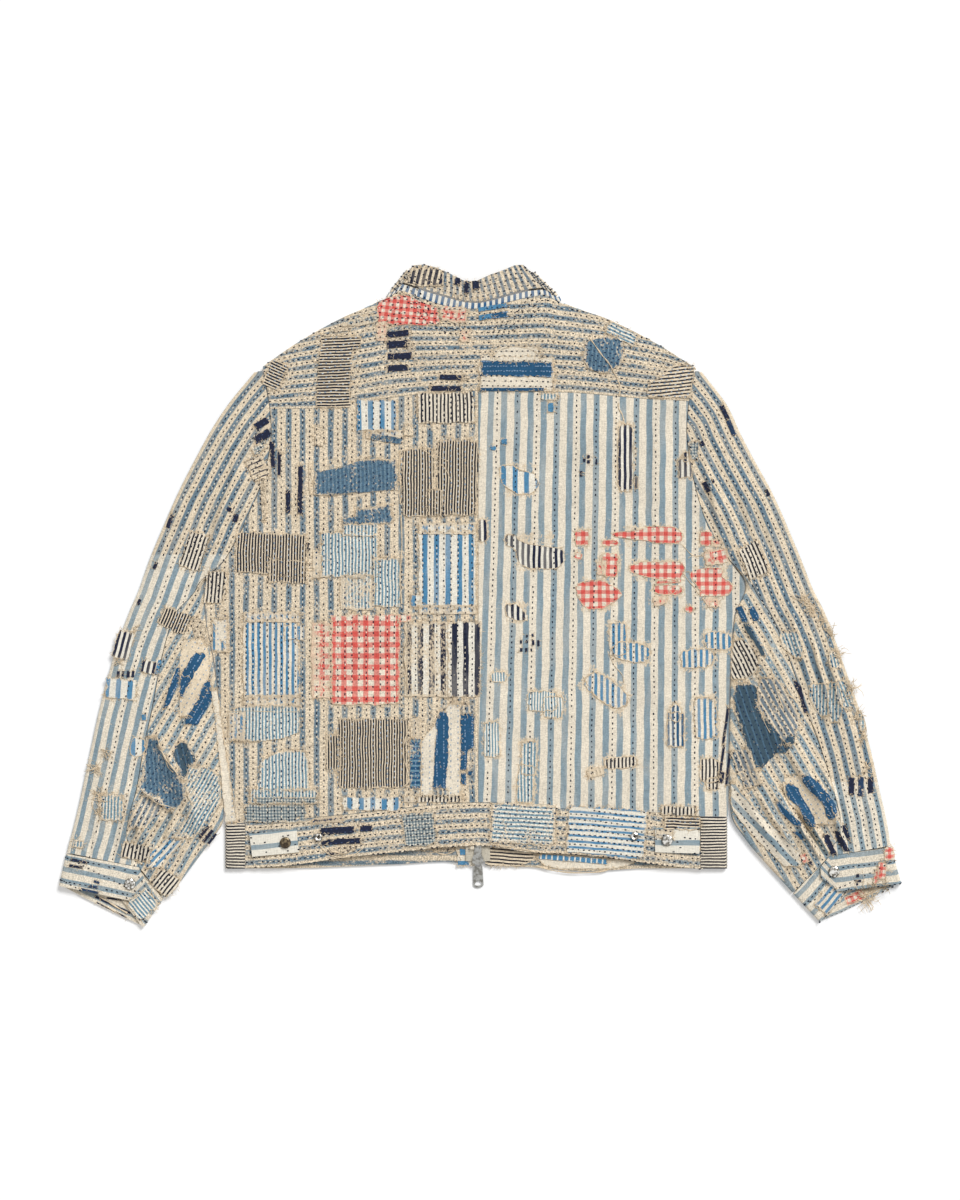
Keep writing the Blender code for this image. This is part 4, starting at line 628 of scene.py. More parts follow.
     (-173, 340, 353), (-166, 345, 358), (-160, 350, 358))), (312.4, -50.2, 5.9, 36.5, 34, 0, 0,
     ((-68, 320, 325), (-59, 316, 321), (-50, 310, 317), (-41, 304, 311), (-32, 300, 306)))),
    ("cream_soft", "on", (374.5, -232.6, 34.4, 54.7, 36, 0, 0, ((-260, 376, 404), (-249, 365, 404),
     (-237, 353, 399), (-226, 347, 390), (-214, 345, 378), (-205, 347, 365)))),
    ("deep_blue", "bar", (386.5, -229.1, 13.3, 50.2, 36, 0, 0, ((-254, 397, 400), (-250, 394, 407),
     (-244, 393, 407), (-236, 390, 404), (-229, 383, 399), (-221, 374, 392), (-213, 368, 386),
     (-209, 366, 382), (-204, 366, 374))), (365.4, -238.8, 11.7, 49, 36, 0, 0, ((-263, 376, 383),
     (-258, 370, 382), (-251, 367, 380), (-245, 365, 376), (-239, 363, 374), (-234, 355, 369),
     (-227, 350, 366), (-220, 348, 363), (-214, 350, 356))), (350.5, -247.4, 7.4, 27.4, 42, 0, 0,
     ((-261, 359, 365), (-256, 352, 364), (-251, 347, 357), (-245, 342, 350), (-239, 339, 344),
     (-234, 336, 340))), (361.9, -272.5, 4.6, 9.1, 42, 0, 0, ((-277, 365, 368), (-272, 360, 366),
     (-268, 356, 360)))),
    ("clean_stripe", "on", (325.5, -260.5, 24.3, 94.6, 45, 0, 0, ((-308, 347, 365),
     (-296, 334, 365), (-285, 323, 357), (-274, 311, 345), (-262, 302, 333), (-251, 293, 321),
     (-239, 286, 311), (-227, 286, 300), (-213, 286, 290)))),
    ("navy", "bar", (398.4, -283.3, 5.9, 23.9, 25, 0, 0, ((-295, 401, 406), (-292, 399, 406),
     (-285, 396, 402), (-278, 392, 399), (-271, 391, 396))), (412.7, -279.3, 6.6, 22.8, 28, 0, 0,
     ((-291, 415, 422), (-284, 410, 418), (-276, 406, 413), (-268, 404, 408)))),
    ("blue_worn", "on", (303.2, -196.1, 20.5, 45.6, 22, 0.12)),
    ("gingham_fine", "on", (369.4, -299.2, 6.8, 10.3, 20, 0.2)),
    ("navy", "bar", (376.2, -304.9, 4.6, 5.7, 20, 0.3)),
), "cuff_left": (
    ("navy", "bar", (-456.6, -302, 19.4, 2.8, -12, 0.05), (-460.3, -308.1, 15.4, 3, -8, 0.05)),
    ("navy_blue", "bar", (-436.6, -325.8, 6.8, 2.7, -20, 0.05),
     (-444.6, -336.1, 20.5, 2.7, -12, 0.05)),
    ("navy", "bar", (-419.5, -352.5, 45.6, 3.1, -26, 0.05), (-420.7, -358.3, 38.8, 1.6, -27, 0.05),
     (-416.7, -346, 19.4, 2.1, -8, 0.05)),
    ("navy_blue", "bar", (-440.9, -331.2, 10.8, 2.5, -8, 0.05)),
    ("light_stripe", "on", (-384.2, -351.1, 29.6, 25.1, 40, 0.04)),
), "cuff_right": (
    ("mid_narrow", "on", (398.4, -346.6, 21.7, 29.6, -40, 0.04)),
    ("gingham_fine", "on", (428.1, -344.3, 23.9, 11.4, 24, 0.1),
     (466.3, -293.5, 11.4, 14.8, 6, 0.2), (457.7, -312.9, 10.3, 19.4, -4, 0.3),
     (451.2, -320.3, 5.1, 16, -8, 0.3)),
    ("navy", "bar", (430.3, -318.6, 3.4, 3.4, 0, 0.2), (431.2, -324.6, 6.3, 2.8, 0, 0.3),
     (429.8, -328.3, 2.3, 2.3, 0, 0.3)),
), "collar_leaf": (
    ("navy_collar", "on", (-63.3, 363.7, 35.6, 20.5, -12, 0, 0, ((353, -78, -41), (358, -85, -42),
     (364, -82, -42), (369, -79, -43), (374, -73, -50)))),
    ("navy", "bar", (-25.6, 358.5, 5.7, 8, -4, 0.05), (-15.4, 351.4, 4.6, 14.2, -2, 0.05),
     (-4.8, 354, 7.4, 10.3, 4, 0.05)),
)}
PATCHES = {
    panel: [Patch(cloth, kind, *place) for cloth, kind, *places in groups for place in places]
    for panel, groups in PATCH_ROWS.items()
}

# Long threads, folded edges, and dark lines of painted shade where slits, pleats, gaps and hollows lie, all on the
# cloth: thread, half width and path.
Stray = namedtuple("Stray", "thread thick path")
STRAY_ROWS = {"yoke": (
    ("worn_cream", 0.4, (-22, 292), (-23, 275), (-21, 258), (-22, 233)),
    ("worn_cream", 0.4, (83, 267), (82, 255), (84, 244), (83, 230)),
    ("worn_cream", 0.5, (15, 274), (23, 280), (36, 284), (51, 283), (63, 278), (70, 271)),
    ("cream", 0.9, (125, 294), (132, 284), (139, 274), (146, 266), (152, 256), (157, 246),
     (160, 237), (158, 227)),
), "back_left": (
    ("cream", 0.45, (-93, 164), (-90, 155), (-93, 144), (-89, 132), (-92, 119), (-90, 104)),
    # Painted shade: the dark and deep lines near x -90 and the dark one near x -194 stand for the shade in a pleat and
    # in gaps between the patches.
    ("dark", 1.0, (-90, 91), (-89, 58), (-91, 24), (-89, -14)),
    ("dark", 1.0, (-87, -34), (-83, -50), (-87, -67), (-84, -84), (-82, -109)),
    ("deep", 1.0, (-81, -144), (-83, -156), (-87, -170), (-87, -184), (-83, -198), (-82, -211),
     (-87, -218)),
    ("dark", 1.0, (-194, 153), (-195, 135), (-193, 112)),
    ("worn_cream", 0.6, (-190, 153), (-193, 138), (-189, 125), (-193, 112)),
    ("cream", 0.5, (-214, -116), (-219, -123), (-225, -128), (-227, -133)),
    ("worn_cream", 0.5, (-68, 169), (-57, 161), (-48, 153), (-39, 144), (-32, 129)),
    ("worn_cream", 0.4, (-64, 173), (-54, 164), (-46, 158), (-35, 153)),
    ("cream", 0.45, (-262, -217), (-255, -221), (-260, -228), (-253, -233)),
    ("cream", 0.4, (-291, -132), (-262, -131), (-234, -132), (-205, -132)),
    # Painted shade of the same pleat, above the others.
    ("dark", 0.9, (-91, 164), (-92, 144), (-90, 121), (-91, 103)),
    ("light", 0.6, (-298, -119), (-295, -141), (-292, -166), (-287, -193), (-283, -221),
     (-278, -253)),
), "back_right": (
    ("worn_cream", 0.6, (231, 58), (237, 51), (243, 46), (251, 46), (258, 52)),
    ("worn_cream", 0.6, (231, 27), (237, 18), (244, 10), (250, 1)),
    ("worn_cream", 0.5, (206, 14), (214, 15), (223, 17), (230, 15)),
    ("cream", 0.4, (219, 11), (223, 7), (220, 3), (215, 7), (219, 11)),
    ("worn_cream", 0.5, (117, -91), (125, -105), (133, -115), (141, -122)),
    ("worn_cream", 0.6, (148, -67), (153, -79), (162, -90), (164, -100)),
    ("worn_cream", 0.4, (269, -5), (263, -8), (262, -15), (267, -18)),
    ("white", 0.4, (237, 43), (243, 46), (249, 43), (254, 46)),
    ("cream", 0.9, (158, 220), (158, 214), (162, 207), (164, 199)),
), "hem_band": (
    ("light", 0.9, (-57, -287), (-49, -293), (-39, -295), (-30, -291), (-26, -285)),
    ("worn_cream", 0.9, (-182, -285), (-174, -293), (-160, -298), (-144, -295), (-132, -286)),
    ("worn_cream", 0.5, (-178, -285), (-169, -291), (-154, -293), (-140, -287)),
    ("worn_cream", 0.5, (-73, -287), (-59, -293), (-46, -290), (-38, -283)),
    ("dark", 0.4, (-28, -245), (-25, -247), (-21, -246)),
    ("worn_cream", 0.9, (64, -308), (87, -314), (114, -316), (141, -314), (155, -308)),
    ("worn_cream", 0.8, (8, -284), (14, -283), (34, -286), (55, -290), (66, -293)),
), "sleeve_left_outer": (
    ("worn_cream", 0.7, (-438, -226), (-442, -233), (-441, -242), (-435, -249)),
    ("worn_cream", 0.6, (-449, -192), (-442, -196), (-435, -198)),
), "sleeve_left_inner": (
    ("cream", 0.5, (-334, -81), (-340, -85), (-337, -92), (-331, -91), (-328, -99), (-332, -105)),
    ("cream", 1.1, (-365, -168), (-361, -177), (-356, -187), (-348, -196), (-342, -205)),
    # Painted shade: the dark lines of this list stand for the shade in the hollow below the denim and in a gap near
    # the cuff.
    ("dark", 0.8, (-376, -229), (-367, -236), (-356, -239), (-347, -243)),
    ("cream", 0.6, (-365, -173), (-358, -182), (-355, -194), (-347, -201)),
    ("dark", 0.8, (-394, -301), (-389, -303), (-384, -306)),
), "sleeve_right_outer": (
    ("ink", 0.6, (374, -135), (378, -144), (383, -154), (386, -164), (390, -176)),
), "sleeve_right_inner": (
    # Painted shade: this dark line stands for the shade in the deep hollow of the gathers near the cuff.
    ("dark", 0.8, (365, -246), (370, -258), (378, -269), (385, -280)),
    ("dark", 0.7, (331, -82), (337, -107), (347, -132)),
    ("cream", 0.6, (316, -107), (318, -125), (324, -144), (331, -157)),
    ("dark", 0.7, (348, -107), (352, -112), (357, -117), (361, -122)),
), "cuff_left": (
    ("ink", 1.2, (-435, -343), (-424, -349), (-413, -356), (-401, -363)),
    ("ink", 0.6, (-456, -339), (-442, -345), (-429, -353), (-417, -360), (-408, -366)),
), "cuff_right": (
    ("worn_cream", 0.8, (431, -347), (440, -349), (445, -355), (447, -360)),
    ("worn_cream", 0.6, (435, -340), (442, -347), (447, -353), (449, -359)),
), "collar_leaf": (
    ("cream", 0.5, (-32, 339), (-30, 345), (-27, 337), (-25, 343), (-23, 336), (-19, 342),
     (-17, 335), (-14, 341), (-11, 335), (-8, 341), (-6, 335), (-2, 341), (0, 335), (3, 340),
     (6, 336), (9, 341), (11, 337)),
)}
STRAYS = {panel: [Stray(thread, thick, path) for thread, thick, *path in rows]
          for panel, rows in STRAY_ROWS.items()}

# Tufts of frayed yarn at the edges: place and size.
Tuft = namedtuple("Tuft", "x y size")
TUFT_ROWS = {
    "sleeve_left_outer": ((-439, -197, 5), (-433, -229, 5), (-435, -246, 4), (-425, -178, 4),
        (-394, -39, 3), (-414, -75, 3)),
    "sleeve_right_outer": ((369, -5, 5), (378, -14, 5), (390, -28, 4), (398, -41, 5),
        (408, -67, 5), (422, -106, 6), (430, -136, 5), (435, -162, 4), (442, -196, 4)),
    "cuff_right": ((440, -343, 8), (448, -335, 6), (461, -331, 4)),
}
TUFTS = {panel: [Tuft(*row) for row in rows] for panel, rows in TUFT_ROWS.items()}

# ---------------------------------------------------------------- curves and heights

def ease(t):
    t = np.clip(t, 0.0, 1.0)
    return t * t * (3.0 - 2.0 * t)


def cubic(xs, ys):
    """A smooth curve through points that never overshoots them; reads numbers or arrays."""
    xs, ys = np.array(xs, float), np.array(ys, float)
    steps = np.diff(xs)
    rates = np.diff(ys) / steps
    slopes = np.concatenate(([rates[0]], np.zeros(len(rates) - 1), [rates[-1]]))
    same = rates[:-1] * rates[1:] > 0
    slopes[1:-1][same] = (2 * rates[:-1] * rates[1:])[same] / (rates[:-1] + rates[1:])[same]

    def read(x):
        x = np.clip(x, xs[0], xs[-1])
        i = np.clip(np.searchsorted(xs, x, side="right") - 1, 0, len(steps) - 1)
        t = (x - xs[i]) / steps[i]
        return ((1 + 2 * t) * (1 - t) ** 2 * ys[i] + t * (1 - t) ** 2 * steps[i] * slopes[i]
                + t * t * (3 - 2 * t) * ys[i + 1] + t * t * (t - 1) * steps[i] * slopes[i + 1])
    return read


def column(rows, *names):
    return [[getattr(row, name) for row in rows] for name in names]


body_left = cubic(*column(BODY, "y", "left"))
body_right = cubic(*column(BODY, "y", "right"))
yoke_seam = cubic(*column(YOKE_SEAM, "x", "y"))
shoulder = cubic(*column(SHOULDER, "x", "y"))
hem_seam = cubic(*column(HEM, "x", "seam"))
band_low = cubic(*column(HEM, "x", "low"))
neck_seam = cubic([NECK_LEFT, -104.5, *(c.seam[0] for c in COLLAR_BACK), 90.8, NECK_RIGHT],
                  [337.5, 338.9, *(c.seam[1] for c in COLLAR_BACK), 334.7, 333.5])


def ripple(x, y, size, seed):
    """Soft lumps of about the given size, between -1 and 1."""
    total = 0.0
    for k in range(6):
        angle = seed * 1.7 + k * 1.13
        wave = 2 * math.pi / (size * (0.8 + 0.13 * k))
        total = total + np.sin((x * math.cos(angle) + y * math.sin(angle)) * wave
                               + seed * 3.1 + k * 2.3)
    return total / 4.0


def fold_height(folds, x, y):
    total = np.zeros_like(x, dtype=float)
    for fold in folds:
        run = (fold.x1 - fold.x0, fold.y1 - fold.y0)
        length = math.hypot(*run)
        away_x, away_y = x - fold.x0, y - fold.y0
        along = (away_x * run[0] + away_y * run[1]) / length
        across = (run[0] * away_y - run[1] * away_x) / length
        beyond = np.maximum(np.maximum(-along, along - length), 0.0)
        fade = np.exp(-(across / fold.half) ** 2 - (beyond / fold.half) ** 2)
        total = total + fold.height * fade * (
            0.55 + 0.45 * ease(1 - np.abs(2 * along / length - 1)))
    return total


# Puckers of every cloth: height, length and seed.
PUCKERS = ((0.18, 13, 1), (0.34, 31, 2), (0.3, 70, 3))


def fine(x, y):
    """Puckers and narrow creases that every cloth gets."""
    total = fold_height(CREASES, x, y)
    for height, length, seed in PUCKERS:
        total = total + height * ripple(x, y, length, seed)
    return total


def back_top(x, y):
    inside = ease((shoulder(x) - y) / EDGE_REACH)
    open_side = ease((SIDE_EDGE_FROM - y) / SIDE_EDGE_REACH)
    for gap in (x - body_left(y), body_right(y) - x):
        inside = inside * (1.0 - open_side * (1.0 - ease(gap / EDGE_REACH)))
    return EDGE_TOP + inside * (BACK_RISE + fold_height(BODY_FOLDS, x, y) + fine(x, y))


def band_top(x, y):
    inside = ease((x - BAND_ENDS[0]) / EDGE_REACH) * ease((BAND_ENDS[1] - x) / EDGE_REACH)
    return (BAND_EDGE + inside * (BAND_RISE + fold_height(BODY_FOLDS, x, y))
            + 0.4 * fine(x, y))


# ---------------------------------------------------------------- cloth forms

class Form:
    """A cloth as a grid: points[i][j] in space and coords[i][j] on the cloth, millimetres."""

    def __init__(self, points, coords, top=slice(None)):
        self.points = np.asarray(points, float)
        self.coords = np.asarray(coords, float)
        self.top = top

    def flat(self):
        """Width and length of the cut, and its area, in metres."""
        steps_u = np.linalg.norm(np.diff(self.points, axis=0), axis=2)
        steps_v = np.linalg.norm(np.diff(self.points, axis=1), axis=2)
        wide = float(steps_u.sum(0).max()) * MM
        high = float(steps_v.sum(1).max()) * MM
        a = self.points[1:, :-1] - self.points[:-1, :-1]
        b = self.points[:-1, 1:] - self.points[:-1, :-1]
        area = float(np.linalg.norm(np.cross(a, b), axis=2).sum()) * MM * MM
        wide, high = round(wide, 4), round(high, 4)
        return (wide, high), min(max(area, 0.31 * wide * high), wide * high)


def square(nu, nv):
    return np.meshgrid(np.linspace(0, 1, nu + 1), np.linspace(0, 1, nv + 1), indexing="ij")


def stack(*parts):
    return np.stack(np.broadcast_arrays(*parts), axis=-1)


def turned(x, y, degrees):
    """x and y as read on axes that are turned counter-clockwise."""
    cos, sin = math.cos(math.radians(degrees)), math.sin(math.radians(degrees))
    return cos * x + sin * y, cos * y - sin * x


def back_form(side):
    u, v = square(*BACK_CELLS)
    left = body_left if side == "left" else (lambda y: CENTRE_SEAM + 0.2)
    right = body_right if side == "right" else (lambda y: CENTRE_SEAM - 0.2)
    x = -280 + 280 * u if side == "left" else 280 * u
    for _ in range(4):
        low, high = hem_seam(x) + 0.2, yoke_seam(x) - 0.2
        y = low + v * (high - low)
        x = left(y) + u * (right(y) - left(y))
    return Form(stack(x, y, back_top(x, y)), stack(x, y))


def yoke_form():
    u, v = square(*YOKE_CELLS)
    x = (YOKE_LEFT - YOKE_LEFT_SPREAD * v) + u * (YOKE_WIDE + YOKE_SPREAD * v)
    top = np.where((x > NECK_LEFT) & (x < NECK_RIGHT), neck_seam(x) - SEAM_GAP, shoulder(x))
    low = yoke_seam(x) + 0.2
    y = low + v * (top - low)
    lines = y - yoke_seam(x) * (1 - YOKE_TURN * v) - (top - SHOULDER_LINE) * YOKE_TURN * v
    return Form(stack(x, y, back_top(x, y)), stack(lines, x))


def band_form():
    u, v = square(*BAND_CELLS)
    x = BAND_LEFT + u * BAND_WIDE
    low, high = band_low(x), hem_seam(x) - 0.2
    y = low + v * (high - low)
    return Form(stack(x, y, band_top(x, y)), stack(y - low, x))


def tab_form(side):
    south_west, south_east, north_east, north_west = (np.array(p, float) for p in TABS[side])
    u, v = square(*TAB_CELLS)
    low = south_west + u[..., None] * (south_east - south_west)
    high = north_west + u[..., None] * (north_east - north_west)
    spot = low + v[..., None] * (high - low)
    x, y = spot[..., 0], spot[..., 1]
    z = np.maximum(band_top(x, y), BAND_EDGE + BAND_RISE) + TAB_LIFT + 0.25 * ripple(x, y, 22, 5)
    return Form(stack(x, y, z), stack(v * TAB_WIDE, u * TAB_LONG))


class SleeveForm:
    """A flattened sleeve: rows r down its length, u from its outer to its inner edge."""

    def __init__(self, side):
        table = SLEEVES[side]
        edge, gap = (body_left, -SLEEVE_GAP) if side == "left" else (body_right, SLEEVE_GAP)
        inner = [(float(edge(y)) + gap, y) for y in ARMHOLE_Y]
        inner += [row.inner for row in table[len(ARMHOLE_Y):]]
        rows = range(len(table))
        self.last = len(table) - 1
        self.side = side
        self.read = [cubic(rows, [p[k] for p in line])
                     for line in ([row.outer for row in table], inner) for k in (0, 1)]
        self.share = cubic(rows, [row.share for row in table])
        corner = np.array(CUFFS[side]["tab"][1].high, float) + (0.0, SEAM_GAP)
        self.bend = corner - self.across(np.array(float(self.last)), table[-1].share)
        self.line = np.stack((self.read[0](np.linspace(0, self.last, 160)),
                              self.read[1](np.linspace(0, self.last, 160))), -1)
        self.run = np.concatenate(
            ([0], np.cumsum(np.linalg.norm(np.diff(self.line, axis=0), axis=1))))

    def edges(self, r):
        outer = np.stack((self.read[0](r), self.read[1](r)), -1)
        inner = np.stack((self.read[2](r), self.read[3](r)), -1)
        return outer, inner

    def across(self, r, u):
        outer, inner = self.edges(r)
        return outer + np.asarray(u)[..., None] * (inner - outer)

    def width(self, r):
        outer, inner = self.edges(r)
        return np.linalg.norm(inner - outer, axis=-1)

    def top(self, r, u):
        reach = ease((r - (self.last - 5)) / 5.0)
        peak = float(self.share(self.last))
        hat = np.where(u < peak, u / peak, (1 - u) / (1 - peak))
        return self.across(r, u) + (reach * hat)[..., None] * self.bend

    def out(self, r, piece):
        k = 0 if piece == "outer" else 1
        low = self.edges(np.maximum(r - 0.05, UNDERARM_ROW if k else 0))[k]
        high = self.edges(np.minimum(r + 0.05, self.last))[k]
        step = high - low
        normal = np.stack((step[..., 1], -step[..., 0]), -1)
        normal = normal / np.linalg.norm(normal, axis=-1, keepdims=True)
        outer, inner = self.edges(r)
        inward = (inner - outer) if k == 0 else (outer - inner)
        flip = np.where((normal * inward).sum(-1) > 0, -1.0, 1.0)
        return normal * flip[..., None]

    def height(self, r, u, x, y):
        inside = ease(u * self.width(r) / SLEEVE_REACH)
        inner = ease((1 - u) * self.width(r) / SLEEVE_REACH)
        inside = inside * np.where(r >= UNDERARM_ROW, inner, 1.0)
        rise = (SLEEVE_RISE + fold_height(SLEEVE_FOLDS, x, y) + fold_height(GATHERS, x, y)
                + fine(x, y))
        return SLEEVE_EDGE + inside * rise + 0.3 * (1 - inside) * ripple(x, y, 26, 8)

    def coords(self, piece, x, y):
        """Cloth coordinates: off the outer edge on the outer piece, slanting on the inner."""
        if piece == "inner":
            slope = -0.5 if self.side == "left" else 0.5
            return 0.866 * x + slope * y, 0.866 * y - slope * x
        spot = np.stack((x, y), -1)[..., None, :]
        a, b = self.line[:-1], self.line[1:]
        step = b - a
        length = np.linalg.norm(step, axis=-1)
        t = np.clip(((spot - a) * step).sum(-1) / length ** 2, 0, 1)
        gap = np.linalg.norm(spot - (a + t[..., None] * step), axis=-1)
        best = gap.argmin(-1)
        pick = np.take_along_axis
        off = pick(gap, best[..., None], -1)[..., 0]
        along = self.run[best] + pick(t, best[..., None], -1)[..., 0] * length[best]
        return off, along


def sleeve_form(side, piece):
    sleeve = SleeveForm(side)
    radius = SLEEVE_EDGE / 2
    first = 0 if piece == "outer" else INNER_START
    rows, columns_up = SLEEVE_CELLS[piece]
    r = np.linspace(first, sleeve.last, rows)
    width = sleeve.width(r)
    half_seam = SLEEVE_GAP / 2 / width
    near = np.minimum((radius + 2.0) / width, 0.5)
    share = sleeve.share(r)
    if piece == "outer":
        u_seam = np.where(share > 0.999, share, share - half_seam)
        u_near = np.minimum(near, u_seam * 0.6)
    else:
        u_seam = share + half_seam
        u_near = 1.0 - np.minimum(near, (1.0 - u_seam) * 0.7)
    edge = sleeve.edges(r)[0 if piece == "outer" else 1]
    out = sleeve.out(r, piece)
    columns, coords = [], []
    for part in np.linspace(0, 1, 5):
        u = u_seam + part * (u_near - u_seam)
        spot = sleeve.across(r, u)
        columns.append(stack(spot[..., 0], spot[..., 1], 0.0 * u))
        off, along = sleeve.coords(piece, spot[..., 0], spot[..., 1])
        coords.append(stack(-off - EDGE_TURN if piece == "outer" else off + 2 * EDGE_TURN + 1,
                            along))
    for step in range(1, EDGE_TURN):
        angle = math.pi * (1 - step / EDGE_TURN)
        spot = edge + out * (radius * math.sin(angle) - radius)
        z = radius + radius * math.cos(angle)
        columns.append(stack(spot[..., 0], spot[..., 1], z + 0.0 * r))
        off, along = sleeve.coords(piece, edge[..., 0], edge[..., 1])
        left = EDGE_TURN - step
        coords.append(stack(off - left if piece == "outer" else off + left, along))
    folded = len(columns)
    for part in np.linspace(0, 1, columns_up):
        u = u_near + part * (u_seam - u_near)
        spot = sleeve.top(r, u)
        x, y = spot[..., 0], spot[..., 1]
        columns.append(stack(x, y, sleeve.height(r, u, x, y)))
        coords.append(stack(*sleeve.coords(piece, x, y)))
    return Form(np.stack(columns, 1), np.stack(coords, 1), slice(folded, None))


def half_turn(station, toward, radius, rising, line=None, steps=8):
    """Rows of a half turn of a band about a folded edge; toward lies inside the fold."""
    low, high = (np.array(p, float) for p in station)
    start, end = (low, high) if line is None else (np.array(p, float) for p in line)
    run = (end - start) / np.linalg.norm(end - start)
    out = np.array((run[1], -run[0]))
    if out @ (np.array(toward, float) - (low + high) / 2) > 0.0:
        out = -out
    rows = []
    for step in range(steps + 1):
        angle = math.pi * step / steps
        if rising:
            angle = math.pi - angle
        shift = out * (radius * math.sin(angle) - radius)
        rows.append((low + shift, high + shift, radius + radius * math.cos(angle)))
    return rows


def middle(station):
    return (np.array(station[0], float) + np.array(station[1], float)) / 2


def band_rows(rows, shares, between, rough):
    """Form of a band from rows of (low, high, height), with rows added in between."""
    spots = []
    for low, high, top in rows:
        line = [np.array(low, float) + s * (np.array(high, float) - np.array(low, float))
                for s in shares]
        spots.append([(x, y, float(top(x, y)) if callable(top) else top) for x, y in line])
    spots = np.array(spots)
    steps = np.linspace(0, len(rows) - 1, (len(rows) - 1) * between + 1)
    low = np.minimum(steps.astype(int), len(rows) - 2)
    t = (steps - low)[:, None, None]
    points = spots[low] * (1 - t) + spots[low + 1] * t
    x, y = points[..., 0], points[..., 1]
    points[..., 2] += rough * fine(x, y) * ease((points[..., 2] - UPPER_LAYER) / 2.0)
    middles = points[:, points.shape[1] // 2]
    run = np.concatenate(([0], np.cumsum(np.linalg.norm(np.diff(middles, axis=0), axis=1))))
    width = np.linalg.norm(points[:, -1] - points[:, 0], axis=-1)
    coords = stack(np.array(shares)[None, :] * width[:, None], run[:, None] + 0 * x)
    return Form(points, coords)


def cuff_form(side):
    table = CUFFS[side]
    rows = [(s.low, s.high, CUFF_TOP) for s in table["tab"]]
    rows += half_turn(table["outer_turn"], middle(table["tab"][-1]), CUFF_TOP / 2, False)
    rows += [(s.low, s.high, 0.0) for s in table["lower"]]
    rows += half_turn(table["inner_turn"], middle(table["lower"][-1]), UNDERLAP_TOP / 2, True)
    rows += [(s.low, s.high, UNDERLAP_TOP) for s in table["underlap"]]
    return band_rows(rows, np.linspace(0, 1, 11), 4, 0.35)


def collar_form(low, high, shares, lift):
    def part(stations, top):
        return [(getattr(s, low), getattr(s, high), top) for s in stations]

    def top(x, y):
        inside = ease((x - COLLAR_ENDS[0]) / COLLAR_REACH)
        inside = inside * ease((COLLAR_ENDS[1] - x) / COLLAR_REACH)
        return COLLAR_EDGE + inside * COLLAR_RISE + lift

    inside = middle((COLLAR_BACK[4].seam, COLLAR_BACK[4].edge))
    turns = []
    for station, rising in ((COLLAR_TURN_LEFT, True), (COLLAR_TURN_RIGHT, False)):
        ends = Station(getattr(station, low), getattr(station, high))
        line = (station.seam, station.edge)
        turns.append(half_turn(ends, inside, COLLAR_EDGE / 2, rising, line, 6))
    rows = part(COLLAR_FRONT_LEFT[::-1], 0.0) + turns[0] + part(COLLAR_BACK, top)
    rows += turns[1] + part(COLLAR_FRONT_RIGHT, 0.0)
    return band_rows(rows, shares, 4, 0.5)


# ---------------------------------------------------------------- meshes

# Edges that bend by more degrees than this stay crisp.
CRISP_EDGE = 50


def blank():
    bm = bmesh.new()
    bm.verts.layers.float.new("wear")
    return bm, bm.loops.layers.uv.new("Cloth")


def grid(bm, layer, form, wear=0.0, slot=0):
    """Adds a form to a bmesh and returns its new faces."""
    nu, nv = form.points.shape[0] - 1, form.points.shape[1] - 1
    made = bmesh.ops.create_grid(bm, x_segments=nu, y_segments=nv, size=1.0)["verts"]
    place = {}
    for vert in made:
        i = round((vert.co.x + 1) / 2 * nu)
        j = round((vert.co.y + 1) / 2 * nv)
        vert.co = Vector(form.points[i, j]) * MM
        place[vert] = (i, j)
    worn = bm.verts.layers.float["wear"]
    for vert, (i, j) in place.items():
        vert[worn] = float(wear[i, j]) if isinstance(wear, np.ndarray) else wear
    faces = list({face for vert in made for face in vert.link_faces})
    highest = max(faces, key=lambda face: sum(v.co.z for v in face.verts))
    highest.normal_update()
    if highest.normal.z < 0:
        bmesh.ops.reverse_faces(bm, faces=faces)
    for face in faces:
        face.material_index = slot
        face.smooth = True
        for loop in face.loops:
            loop[layer].uv = form.coords[place[loop.vert]] * MM
    return faces


def placed(name, data):
    """A new object in the scene, at the origin."""
    obj = bpy.data.objects.new(name, data)
    bpy.context.scene.collection.objects.link(obj)
    return obj


def finished(obj):
    """The object's mesh with its wall or its round section applied."""
    bpy.context.view_layer.update()
    depsgraph = bpy.context.evaluated_depsgraph_get()
    return bpy.data.meshes.new_from_object(obj.evaluated_get(depsgraph))


def made_object(name, bm, materials, wall=0.0):
    """Finishes a bmesh, already in metres, as an object riding on the jacket."""
    mesh = bpy.data.meshes.new(name)
    bm.to_mesh(mesh)
    bm.free()
    for material in materials:
        mesh.materials.append(material)
    obj = placed(name, mesh)
    if wall:
        solid = obj.modifiers.new("wall", "SOLIDIFY")
        solid.thickness = wall * MM
        solid.offset = -1.0
        obj.data = finished(obj)
        obj.data.name = name
        obj.modifiers.clear()
    obj.data.set_sharp_from_angle(angle=math.radians(CRISP_EDGE))
    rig.ride(obj, "jacket")
    return obj


# The top of the cloth that lies on the floor, a usual height of the top one, and a height that
# is clear of the jacket.
LOWEST, USUAL, CLEAR = 1.7, 8, 60
DOWN = Vector((0, 0, -1))


